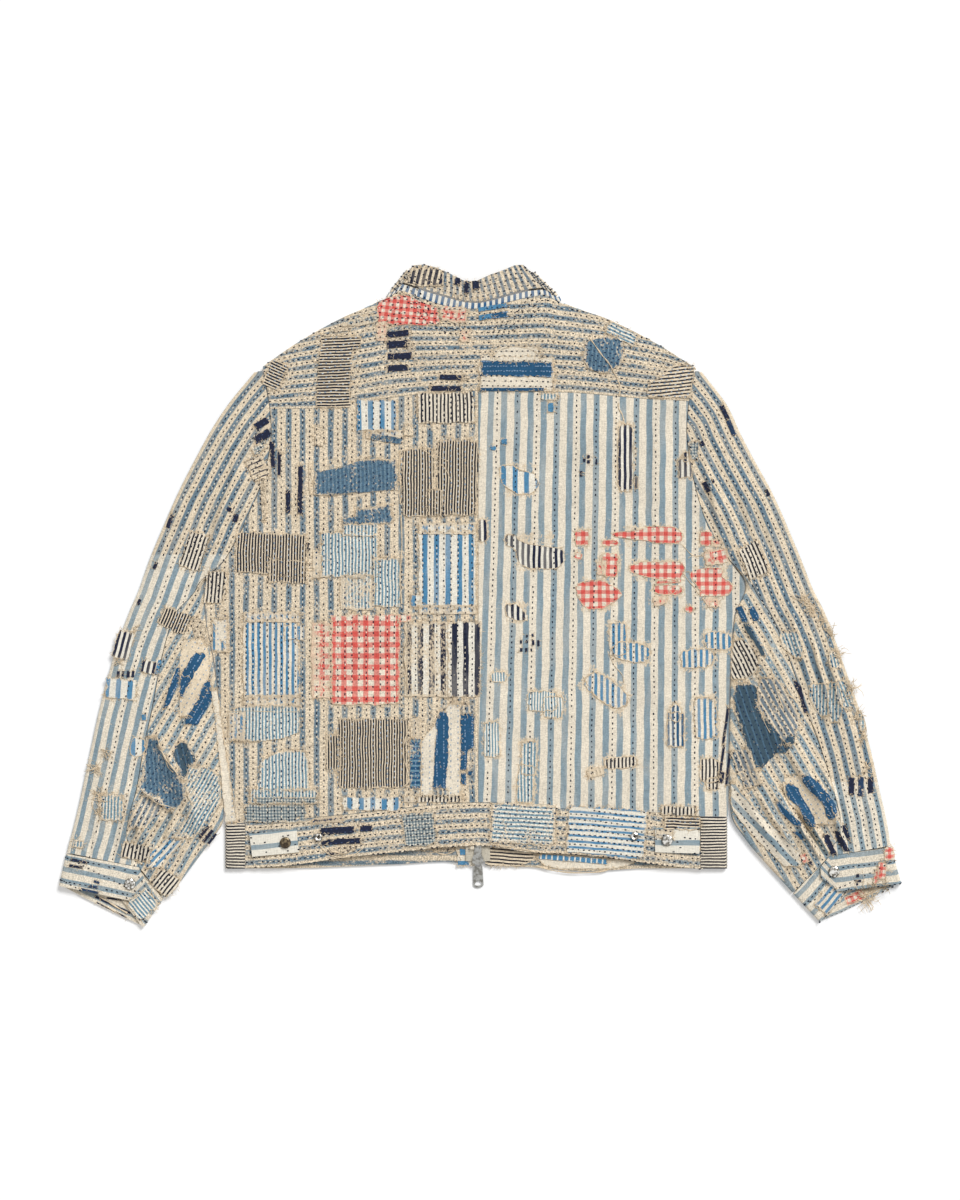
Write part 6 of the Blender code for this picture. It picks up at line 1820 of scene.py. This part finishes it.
def fray(threads, patch, rng, by_pull_tab):
    """Broken yarns round a patch, and the rolled rim of a hole."""
    around = 2 * (patch.wide + patch.high)
    hole = patch.kind == "hole"
    rim = rim_at(patch, max(12, round(around / 2.6)))
    if hole:
        spots = [(x + rng.uniform(-0.4, 0.4), y + rng.uniform(-0.4, 0.4),
                  surface_at(x, y)[0] + 0.15) for x, y in rim]
        threads.line(spots, [0.5 * rng.uniform(0.6, 1.3) for _ in rim], "worn_cream", True)
    for _ in range(int(around / FRAY_GAP[patch.kind])):
        x, y = rim[rng.randrange(len(rim))]
        out = math.atan2(y - patch.y, x - patch.x) + rng.uniform(-1.4, 1.4)
        if hole and rng.random() < 0.4:
            out += math.pi
        x += rng.uniform(-1.5, 1.5)
        y += rng.uniform(-1.5, 1.5)
        thread = "worn_cream" if rng.random() < 0.5 else "cream"
        if by_pull_tab and abs(x - PULL_TAB_X) < PULL_TAB_ROOM:
            continue
        loose(threads, rng, x, y, rng.uniform(1.6, 5.0), out, rng.uniform(0.16, 0.32), thread,
              0.4)


def lie(threads, stray):
    """A long thread, folded edge or line of painted shade along a smooth path on the cloth."""
    path = [stray.path[0], *stray.path, stray.path[-1]]
    spots = []
    for a, b, c, d in zip(path, path[1:], path[2:], path[3:]):
        for k in range(5):
            t = k / 5
            x, y = (0.5 * (2 * q + (r - p) * t + (2 * p - 5 * q + 4 * r - w) * t * t
                           + (3 * q - p - 3 * r + w) * t ** 3)
                    for p, q, r, w in zip(a, b, c, d))
            spots.append((x, y, surface_at(x, y)[0] + stray.thick * 0.5))
    threads.line(spots, [stray.thick * (0.8 + 0.3 * math.sin(k)) for k in range(len(spots))],
                 stray.thread)


# How far each row of stitches starts beyond the last, as a share of the pitch.
STAGGER = 0.37


def stitch_spots(form, every, pitch, phase):
    """Where stitches fall on a form: every row of its cloth, a pitch apart along the row."""
    points, coords = form.points[:, form.top], form.coords[:, form.top]
    spots = []
    # The corners of the two triangles of a cell.
    corners = ((0, 0), (1, 0), (1, 1)), ((0, 0), (1, 1), (0, 1))
    nu, nv = points.shape[:2]
    for shape in corners:
        place = [points[a:nu - 1 + a, b:nv - 1 + b].reshape(-1, 3) for a, b in shape]
        cloth = [coords[a:nu - 1 + a, b:nv - 1 + b].reshape(-1, 2) for a, b in shape]
        low = np.minimum.reduce(cloth)
        high = np.maximum.reduce(cloth)
        rows = np.floor((high[:, 0] - phase) / every) - np.ceil((low[:, 0] - phase) / every)
        for n in np.nonzero(rows >= 0)[0]:
            (s0, t0), (s1, t1), (s2, t2) = (c[n] for c in cloth)
            size = (s1 - s0) * (t2 - t0) - (s2 - s0) * (t1 - t0)
            if abs(size) < 1e-9:
                continue
            first, last = (math.ceil((low[n, 0] - phase) / every),
                           math.floor((high[n, 0] - phase) / every))
            for row in range(first, last + 1):
                s = phase + row * every
                begin = row * STAGGER * pitch
                start = math.ceil((low[n, 1] - begin) / pitch)
                for k in range(start, math.floor((high[n, 1] - begin) / pitch) + 1):
                    t = begin + k * pitch
                    b1 = ((s - s0) * (t2 - t0) - (s2 - s0) * (t - t0)) / size
                    b2 = ((s1 - s0) * (t - t0) - (s - s0) * (t1 - t0)) / size
                    if b1 < 0 or b2 < 0 or b1 + b2 > 1:
                        continue
                    a, b, c = (p[n] for p in place)
                    at = a + b1 * (b - a) + b2 * (c - a)
                    ab, ac = b - a, c - a
                    along = (-(s2 - s0) * ab + (s1 - s0) * ac) / size
                    spots.append((at[0], at[1], math.atan2(along[1], along[0])))
    return spots


def bead_mesh():
    """A bead as wide and as long as 1, narrower at its top."""
    bm = bmesh.new()
    bmesh.ops.create_cube(bm, size=1.0)
    for vert in bm.verts:
        vert.co.z += 0.5
        if vert.co.z > 0.5:
            vert.co.x *= 0.55
            vert.co.y *= 0.5
    for face in bm.faces:
        face.smooth = True
    bead = bpy.data.meshes.new("bead")
    bm.to_mesh(bead)
    bm.free()
    return bead


# Share of the stitches and of the puffs that are still there, and the height of their beads.
STITCHES_KEPT, PUFFS_KEPT, BEAD_HEIGHT = 0.92, 0.7, 0.8


def sew(name, spots, rng):
    """Short running stitches at the spots, each a little bead of thread over the cloth.

    Spots with a pitch also get the pale puff of cloth that stands up between two stitches.
    """
    bead = bead_mesh()
    shape = np.array([v.co for v in bead.vertices])
    bm = bmesh.new()
    places, slots = [], []
    beads = [(x, y, angle, False) for x, y, angle, _ in spots] + [
        (x + math.cos(angle) * pitch / 2, y + math.sin(angle) * pitch / 2, angle, True)
        for x, y, angle, pitch in spots if pitch]
    for x, y, angle, puff in beads:
        if rng.random() > (STITCHES_KEPT * PUFFS_KEPT if puff else STITCHES_KEPT):
            continue
        x += rng.uniform(-0.35, 0.35)
        y += rng.uniform(-0.35, 0.35)
        angle += rng.uniform(-0.16, 0.16)
        z, normal, cloth = surface_at(x, y)
        thread = CLOTHS[cloth].thread
        if puff and (thread in ("deep", "light", "ink")
                     or cloth in ("clean_stripe", "tab_stripe")):
            continue
        if cloth == "tab_stripe" and rng.random() < 0.7:
            continue
        long = sizes().stitch / MM * rng.uniform(0.75, 1.2)
        wide = sizes().stitch_width / MM * rng.uniform(0.8, 1.15)
        local = shape * (long, wide, BEAD_HEIGHT)
        c, s = math.cos(angle), math.sin(angle)
        px = x + c * local[:, 0] - s * local[:, 1]
        py = y + s * local[:, 0] + c * local[:, 1]
        slope = -(normal.x * (px - x) + normal.y * (py - y)) / max(normal.z, 0.3)
        places.append(np.stack((px, py, z + slope + local[:, 2] - 0.25), -1))
        if puff:
            thread = "pale" if thread == "pale" else "cream"
        slots.append(THREADS.index(thread))
        bm.from_mesh(bead)
    mesh = bpy.data.meshes.new(name)
    bm.to_mesh(mesh)
    bm.free()
    mesh.vertices.foreach_set("co", (np.concatenate(places) * MM).astype(np.float32).ravel())
    faces = len(bead.polygons)
    mesh.polygons.foreach_set("material_index", np.repeat(slots, faces).astype(np.int32))
    mesh.update()
    bpy.data.meshes.remove(bead)
    thread_piece(name, mesh)


# ---------------------------------------------------------------- properties

def shade(name, text, red, green, blue):
    return FloatVectorProperty(name=name, description=text, subtype="COLOR", size=3, min=0,
                               max=1, default=linear((red, green, blue)))


def length(name, text, millimetres):
    return FloatProperty(name=name, description=text, subtype="DISTANCE", unit="LENGTH",
                         default=millimetres * MM, min=0.0)


class JacketColours(bpy.types.PropertyGroup):
    cream: shade("Cream", "Ground of the clean striped cloths", 238, 227, 207)
    light_cream: shade("Light cream", "Ground of the finer cloths", 240, 234, 219)
    worn_cream: shade("Worn cream", "Ground of the worn striped cloth", 234, 217, 190)
    worn_thread: shade("Worn thread", "Broken yarns that fluff over worn cloth", 230, 211, 182)
    stripe_blue: shade("Stripe blue", "Grey-blue stripes of the main cloth", 138, 158, 168)
    worn_blue: shade("Worn blue", "Stripes of the worn cloth", 112, 134, 148)
    light_blue: shade("Light blue", "Light narrow stripes", 112, 148, 166)
    mid_blue: shade("Mid blue", "Brighter blue stripes", 82, 138, 176)
    check_blue: shade("Check blue", "Small blue checks", 84, 124, 150)
    deep_blue: shade("Deep blue", "Wide deep blue bars", 38, 86, 122)
    navy: shade("Navy", "Navy stripes and bars", 30, 37, 60)
    pin_black: shade("Pinstripe black", "Brown-black pinstripes", 32, 34, 44)
    denim: shade("Denim", "Indigo denim", 80, 111, 134)
    denim_light: shade("Denim light", "Lighter rows woven into the denim", 110, 137, 154)
    navy_blue: shade("Navy blue", "Lighter navy pieces", 38, 62, 92)
    denim_dark: shade("Dark denim", "Less faded indigo denim", 62, 84, 98)
    mid_grey: shade("Grey blue", "Worn grey-blue stripes", 112, 130, 144)
    stand_blue: shade("Stand blue", "Stripes of the collar stand", 44, 96, 140)
    gingham_red: shade("Gingham red", "Red of the gingham", 240, 74, 74)
    tape: shade("Zip tape", "Woven tape of the zip", 206, 198, 180)


class JacketSizes(bpy.types.PropertyGroup):
    cell: length("Cell", "Size of the small cells of a patch", 3.2)
    row_gap: length("Row gap", "Space between rows of running stitches", 8.05)
    pitch: length("Stitch pitch", "From one stitch to the next in a row", 6.1)
    stitch: length("Stitch length", "How much of a stitch shows", 2.5)
    stitch_width: length("Stitch width", "Width of a stitch", 1.6)


def sizes():
    return bpy.context.scene.jacket_sizes


# ---------------------------------------------------------------- operators

class Step(bpy.types.Operator):
    """Base of every step of the jacket"""
    bl_options = {"REGISTER", "UNDO"}


class JACKET_OT_materials(Step):
    """Makes the cloths, threads and metals"""
    bl_idname = "jacket.materials"
    bl_label = "Cloths and metals"

    def execute(self, context):
        for make in (stripe_group, yarn_group, worn_group, speckle_group, fade_group):
            make()
        for name, cloth in CLOTHS.items():
            MATERIALS[name] = cloth_material(name, cloth)
        colours = {name: (*linear(shade), 1.0) for name, shade in THREAD_COLOURS.items()}
        colours.update(worn_cream=colour_of("worn_thread"), cream=colour_of("cream"))
        for name in THREADS:
            MATERIALS[name + "_thread"] = thread_material(name + "_thread", colours[name])
        # Each metal's dull colour shows in its tarnish and, as painted shade, on the faces that turn away from
        # straight up.
        for name, bright, dull, rough in (
                ("zip_metal", (168, 168, 164), (118, 116, 110), 0.34),
                ("snap_steel", (232, 230, 224), (96, 90, 80), 0.22),
                ("snap_bronze", (126, 112, 88), (58, 48, 36), 0.36)):
            MATERIALS[name] = metal_material(name, bright, dull, rough)
        return {"FINISHED"}


class JACKET_OT_back(Step):
    """Lays the two back panels and the yoke"""
    bl_idname = "jacket.back"
    bl_label = "Back and yoke"

    def execute(self, context):
        left, right = back_form("left"), back_form("right")
        x, y = right.points[..., 0], right.points[..., 1]
        # The stripes of the right side spread a little towards the hem.
        down = (190 - y) / 388
        right.coords[..., 0] = (x - 4.36 + 10.9 * down) / (15.1 + 0.63 * down) * 15.1
        lay_cloth("back_left_cloth", left, "worn_stripe", "body", ["front_left"], "back_left")
        lay_cloth("back_right_cloth", right, "clean_stripe", "body", ["front_right"],
                  "back_right")
        lay_cloth("yoke_cloth", yoke_form(), "band_stripe", "body",
                  ["front_left", "front_right"], "back_yoke")
        return {"FINISHED"}


class JACKET_OT_sleeves(Step):
    """Lays the outer and inner piece of each sleeve, and the cuffs"""
    bl_idname = "jacket.sleeves"
    bl_label = "Sleeves and cuffs"

    def execute(self, context):
        # Above pieced_at the outer piece is of a more worn cloth.
        for side, pieced_at, cuff_shift in (("left", 46, 0.0), ("right", -212, 6.6)):
            name = "sleeve_" + side
            lay_cloth(name + "_outer_cloth", sleeve_form(side, "outer"), "sleeve_stripe",
                      "sleeve", ["back_" + side], name + "_outer", ("sleeve_worn", pieced_at))
            lay_cloth(name + "_inner_cloth", sleeve_form(side, "inner"), "under_stripe",
                      "sleeve", ["back_" + side], name + "_inner")
            cuff = cuff_form(side)
            cuff.coords[..., 0] += cuff_shift
            lay_cloth("cuff_" + side + "_cloth", cuff, "cuff_stripe", "band",
                      [name + "_outer"], "cuff_" + side)
        return {"FINISHED"}


class JACKET_OT_collar(Step):
    """Lays the collar stand and leaf"""
    bl_idname = "jacket.collar"
    bl_label = "Collar"

    def execute(self, context):
        stand = collar_form("seam", "crease", np.linspace(0.03, 0.93, 5), 0.0)
        leaf = collar_form("crease", "edge", np.linspace(0.06, 1.0, 8), 1.0)
        lay_cloth("collar_stand_cloth", stand, "stand_stripe", "collar", ["back_yoke"],
                  "collar_stand")
        lay_cloth("collar_leaf_cloth", leaf, "collar_stripe", "collar", ["collar_stand"],
                  "collar_leaf")
        return {"FINISHED"}


class JACKET_OT_hem(Step):
    """Lays the hem band, the blocks at its sides and the adjuster tabs"""
    bl_idname = "jacket.hem"
    bl_label = "Hem band and tabs"

    def execute(self, context):
        lay_cloth("hem_band_cloth", band_form(), "band_stripe", "band",
                  ["hem_band_front_left", "hem_band_front_right"], "hem_band_back")
        for side in ("left", "right"):
            refit("hem_side_" + side + "_cloth", "hem_side_" + side, "pinstripe_side", "folded")
            lay_cloth("side_tab_" + side + "_cloth", tab_form(side), "tab_stripe", "tab",
                      ["hem_band_back"], "side_tab_" + side)
        return {"FINISHED"}


class JACKET_OT_fronts(Step):
    """Lays the two front panels and the front hem bands, under the back"""
    bl_idname = "jacket.fronts"
    bl_label = "Fronts"

    def execute(self, context):
        for side in ("left", "right"):
            refit("front_" + side + "_cloth", "front_" + side, "clean_stripe")
            band = refit("hem_band_front_" + side + "_cloth", "hem_band_front_" + side,
                         "band_stripe", turn=90)
            SURFACE.add_mesh(band.data, "band_stripe")
        return {"FINISHED"}


class JACKET_OT_zip(Step):
    """Finishes the zip: tapes, slider and pull tab"""
    bl_idname = "jacket.zip"
    bl_label = "Zip"

    def execute(self, context):
        for side in ("left", "right"):
            refit("zip_tape_" + side + "_cloth", "zip_tape_" + side, "tape", bevel=0.2)
        teeth()
        for node in ("zip_slider", "zip_pull_tab"):
            dress_metal(node, "zip_metal")
        return {"FINISHED"}


class JACKET_OT_studs(Step):
    """Finishes the press-stud caps and rings"""
    bl_idname = "jacket.studs"
    bl_label = "Press studs"

    def execute(self, context):
        for node in ("side_snap_right", "cuff_snap_left", "cuff_snap_right", "ring_stud_left",
                     "ring_stud_right"):
            dress_metal(node, "snap_steel")
        dress_metal("side_snap_left", "snap_bronze")
        return {"FINISHED"}


TOOTH_PITCH, TOOTH_SIZE = 2.2, (3.8, 0.95, 2.2)
# Lower end of the zip, and what it stops short of the upper end of its tapes.
ZIP_LOW, ZIP_STOP = -283.0, 4.0


def teeth():
    """Closed zip teeth: one row on each tape, the two rows half a pitch apart."""
    template = bmesh.new()
    bmesh.ops.create_cube(template, size=1.0)
    bmesh.ops.bevel(template, geom=template.edges[:], offset=0.16, affect="EDGES", segments=1,
                    profile=0.5, material=-1)
    tooth = bpy.data.meshes.new("tooth")
    template.to_mesh(tooth)
    template.free()
    for side in ("left", "right"):
        low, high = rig.box("zip_tape_" + side)
        if side == "left":
            middle, shift = high[0] / MM - 0.65, TOOTH_PITCH / 2
        else:
            middle, shift = low[0] / MM + 0.65, 0.0
        bm = bmesh.new()
        for k in range(int((high[1] / MM - ZIP_STOP - ZIP_LOW) / TOOTH_PITCH)):
            y = ZIP_LOW + 0.6 + k * TOOTH_PITCH + shift
            bm.from_mesh(tooth)
            bm.verts.ensure_lookup_table()
            fresh = bm.verts[-len(tooth.vertices):]
            bmesh.ops.scale(bm, vec=TOOTH_SIZE, verts=fresh)
            z = 3.25 + 2.1 * float(ease(np.array((-225.0 - y) / 55.0)))
            bmesh.ops.translate(bm, vec=(middle, y, z), verts=fresh)
        bmesh.ops.scale(bm, vec=(MM, MM, MM), verts=bm.verts)
        obj = made_object("zip_teeth_" + side, bm, [MATERIALS["zip_metal"]])
        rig.slot(obj, "zip_metal")
    bpy.data.meshes.remove(tooth)


def dress_metal(node, material):
    slots = frame["nodes"][node].material_slots
    for slot in slots:
        slot.material = MATERIALS[material]
    if not slots:
        frame["nodes"][node].data.materials.append(MATERIALS[material])


PANEL_NODES = {
    "back_left": [n for n in frame["nodes"] if n.startswith("patch_") and n[6:] in (
        "pinstripe_top", "denim_back", "pinstripe_square", "pinstripe_side", "light_stripe",
        "blue_stripe", "blue_side", "gingham_back", "navy_stripe", "fine_stripe", "blue_bars",
        "light_side")],
    "yoke": ["patch_gingham_yoke", "patch_bars_yoke", "patch_denim_yoke",
             "patch_pinstripe_yoke", "patch_pinstripe_shoulder"],
    "hem_band": ["patch_navy_band", "patch_check_band", "patch_stripe_band", "patch_blue_band"],
    "sleeve_left_inner": ["patch_denim_left", "patch_bars_left"],
    "sleeve_right_inner": ["patch_denim_right", "patch_pinstripe_right"],
}
PANELS = ("yoke", "back_left", "back_right", "hem_band", "sleeve_left_outer",
          "sleeve_left_inner", "sleeve_right_outer", "sleeve_right_inner", "cuff_left",
          "cuff_right", "collar_leaf")


class JACKET_OT_patches(Step):
    """Lays the patches of every panel, with their worn edges"""
    bl_idname = "jacket.patches"
    bl_label = "Patches"

    def execute(self, context):
        SURFACE.settle()
        rng = random.Random(11)
        for panel in PANELS:
            lay_patches(panel, rng)
        return {"FINISHED"}


# Rows of running stitches: from row to row, where the first lies, whether puffs stand between
# the stitches, and the stretch of y that they cover.
Sewing = namedtuple("Sewing", "panel every phase puffed low high",
                    defaults=(True, -math.inf, math.inf))
SEWING = [Sewing(*row) for row in (
    ("back_left", None, 7.15), ("back_right", 22.65, 14.8, False), ("yoke", 5.7, 0.0),
    ("hem_band", 5.7, 0.0), ("sleeve_left_outer", 6.5, 0.6, True, 46),
    ("sleeve_left_outer", 26.0, 0.6, False, -math.inf, 46), ("sleeve_left_inner", 6.7, 0.0),
    ("sleeve_right_outer", 6.5, 0.6, True, -60),
    ("sleeve_right_outer", 6.5, 0.6, False, -math.inf, -60), ("sleeve_right_inner", 6.7, 0.0),
    ("cuff_left", 26.4, 6.6, False), ("cuff_right", 26.4, 6.6, False),
    ("collar_leaf", 5.0, 1.0, False),
)]


class JACKET_OT_stitches(Step):
    """Sews the rows of running stitches over panels and patches"""
    bl_idname = "jacket.stitches"
    bl_label = "Running stitches"

    def execute(self, context):
        rng = random.Random(5)
        pitch = sizes().pitch / MM
        for panel in dict.fromkeys(row.panel for row in SEWING):
            spots = []
            for row in SEWING:
                if row.panel == panel:
                    every = row.every or sizes().row_gap / MM
                    puffs = pitch if row.puffed else 0
                    found = stitch_spots(FORMS[panel + "_cloth"], every, pitch, row.phase)
                    spots += [(*spot, puffs) for spot in found if row.low < spot[1] <= row.high]
            sew("stitches_" + panel, spots, rng)
        return {"FINISHED"}


class JACKET_OT_frays(Step):
    """Adds frayed patch edges and loose threads, and the dark lines that are painted shade in pleats and hollows"""
    bl_idname = "jacket.frays"
    bl_label = "Frayed edges and loose threads"

    def execute(self, context):
        rng = random.Random(23)
        for panel in PANELS:
            threads = Threads("frays_" + panel)
            for patch in PATCHES[panel]:
                fray(threads, patch, rng, panel == "hem_band")
            for stray in STRAYS.get(panel, ()):
                lie(threads, stray)
            for x, y, size in TUFTS.get(panel, ()):
                for _ in range(6 * size):
                    loose(threads, rng, x + rng.gauss(0, size / 2.0),
                          y + rng.gauss(0, size / 1.3), rng.uniform(0.8, 2.4) * size,
                          rng.uniform(0, 2 * math.pi), rng.uniform(0.2, 0.4), "worn_cream", 1.6)
            threads.make()
        return {"FINISHED"}


class JACKET_OT_sheets(Step):
    """Tells the cut of each cloth and what is sewn on it"""
    bl_idname = "jacket.sheets"
    bl_label = "Cut of the cloths"

    def execute(self, context):
        for obj, cut in SHEETS:
            panel = obj.name.removesuffix("_cloth")
            sewn = [bpy.data.objects[kind + panel] for kind in ("patches_", "stitches_", "frays_")
                    if kind + panel in bpy.data.objects]
            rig.sheet(obj, with_pieces=sewn, **cut)
        return {"FINISHED"}


# Strength of the light all round and of the sun, the sun's spread in degrees and where it is.
LIGHT_ROUND, SUN_LIGHT, SUN_SPREAD, SUN_FROM = 0.46, 2.4, 22, (0.62, 0.95, 1.15)
# Metres: half the side of the floor, how far it lies below the jacket, and the camera's place.
FLOOR_HALF, FLOOR_DROP, CAMERA_AT = 6.0, 0.0006, (0.0, -0.00456, 3.237)


def seen_straight(tree):
    """1 where the camera, a reflection or a view through glass sees the white directly."""
    rays = put(tree, "ShaderNodeLightPath").outputs
    return maths(tree, "MAXIMUM", rays["Is Camera Ray"], maths(
        tree, "MAXIMUM", rays["Is Glossy Ray"], rays["Is Transmission Ray"]))


def floor_material():
    material, tree, shader = new_material("white floor")
    uneven = put(tree, "ShaderNodeTexNoise", {"Scale": 3.0}).outputs[0]
    white = between(tree, uneven, 0.0, 1.0, 0.9, 0.92)
    grey = put(tree, "ShaderNodeCombineXYZ", {0: white, 1: white, 2: white}).outputs[0]
    tree.links.new(grey, shader["Base Color"])
    shader["Roughness"].default_value = 1.0
    shader["Specular IOR Level"].default_value = 0.0
    shader["Emission Color"].default_value = (1.0, 1.0, 1.0, 1.0)
    tree.links.new(maths(tree, "MULTIPLY", seen_straight(tree), 0.16),
                   shader["Emission Strength"])
    return material


class JACKET_OT_stage(Step):
    """Sets the white floor, the soft lights and the camera"""
    bl_idname = "jacket.stage"
    bl_label = "Stage"

    def execute(self, context):
        scene = context.scene
        bm = bmesh.new()
        bmesh.ops.create_grid(bm, x_segments=1, y_segments=1, size=FLOOR_HALF)
        bmesh.ops.translate(bm, vec=(0.0, 0.0, -FLOOR_DROP), verts=bm.verts)
        mesh = bpy.data.meshes.new("floor")
        bm.to_mesh(mesh)
        bm.free()
        mesh.materials.append(floor_material())
        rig.stage(placed("floor", mesh))
        world = scene.world or bpy.data.worlds.new("soft light")
        scene.world = world
        world.use_nodes = True
        tree = world.node_tree
        back = tree.nodes["Background"].inputs
        back["Color"].default_value = (1.0, 1.0, 1.0, 1.0)
        tree.links.new(between(tree, seen_straight(tree), 0.0, 1.0, LIGHT_ROUND, 1.0),
                       back["Strength"])
        sun = bpy.data.lights.new("soft key", "SUN")
        sun.energy = SUN_LIGHT
        sun.angle = math.radians(SUN_SPREAD)
        lamp = placed("soft key", sun)
        lamp.rotation_euler = Vector(SUN_FROM).to_track_quat("Z", "Y").to_euler()
        camera = bpy.data.cameras.new("camera above")
        camera.lens = 85
        camera.sensor_width = 36
        scene.camera = placed("camera above", camera)
        scene.camera.location = CAMERA_AT
        scene.view_settings.view_transform = "Standard"
        return {"FINISHED"}


class JACKET_PT_steps(bpy.types.Panel):
    """Lists the steps of the jacket"""
    bl_label = "Boro jacket"
    bl_space_type = "VIEW_3D"
    bl_region_type = "UI"
    bl_category = "Jacket"

    def draw(self, context):
        layout = self.layout
        for step in STEPS:
            layout.operator(step.bl_idname)
        for group in (context.scene.jacket_colours, context.scene.jacket_sizes):
            for name in group.bl_rna.properties.keys():
                if name not in {"rna_type", "name"}:
                    layout.prop(group, name)


STEPS = (
    JACKET_OT_materials, JACKET_OT_back, JACKET_OT_sleeves, JACKET_OT_collar, JACKET_OT_hem,
    JACKET_OT_fronts, JACKET_OT_zip, JACKET_OT_studs, JACKET_OT_patches, JACKET_OT_stitches,
    JACKET_OT_frays, JACKET_OT_sheets, JACKET_OT_stage,
)
CLASSES = (JacketColours, JacketSizes, *STEPS, JACKET_PT_steps)


def register():
    for each in CLASSES:
        bpy.utils.register_class(each)
    bpy.types.Scene.jacket_colours = PointerProperty(type=JacketColours)
    bpy.types.Scene.jacket_sizes = PointerProperty(type=JacketSizes)


def unregister():
    del bpy.types.Scene.jacket_colours
    del bpy.types.Scene.jacket_sizes
    for each in reversed(CLASSES):
        bpy.utils.unregister_class(each)


def main():
    register()
    for step in STEPS:
        area, name = step.bl_idname.split(".")
        getattr(getattr(bpy.ops, area), name)()
    box = {"cad": [list(corner) for corner in CAD_BOX],
           "visual": [list(corner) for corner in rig.bounds()]}
    with open("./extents.json", "w") as out:
        json.dump(box, out, indent=1)


if __name__ == "__main__":
    main()
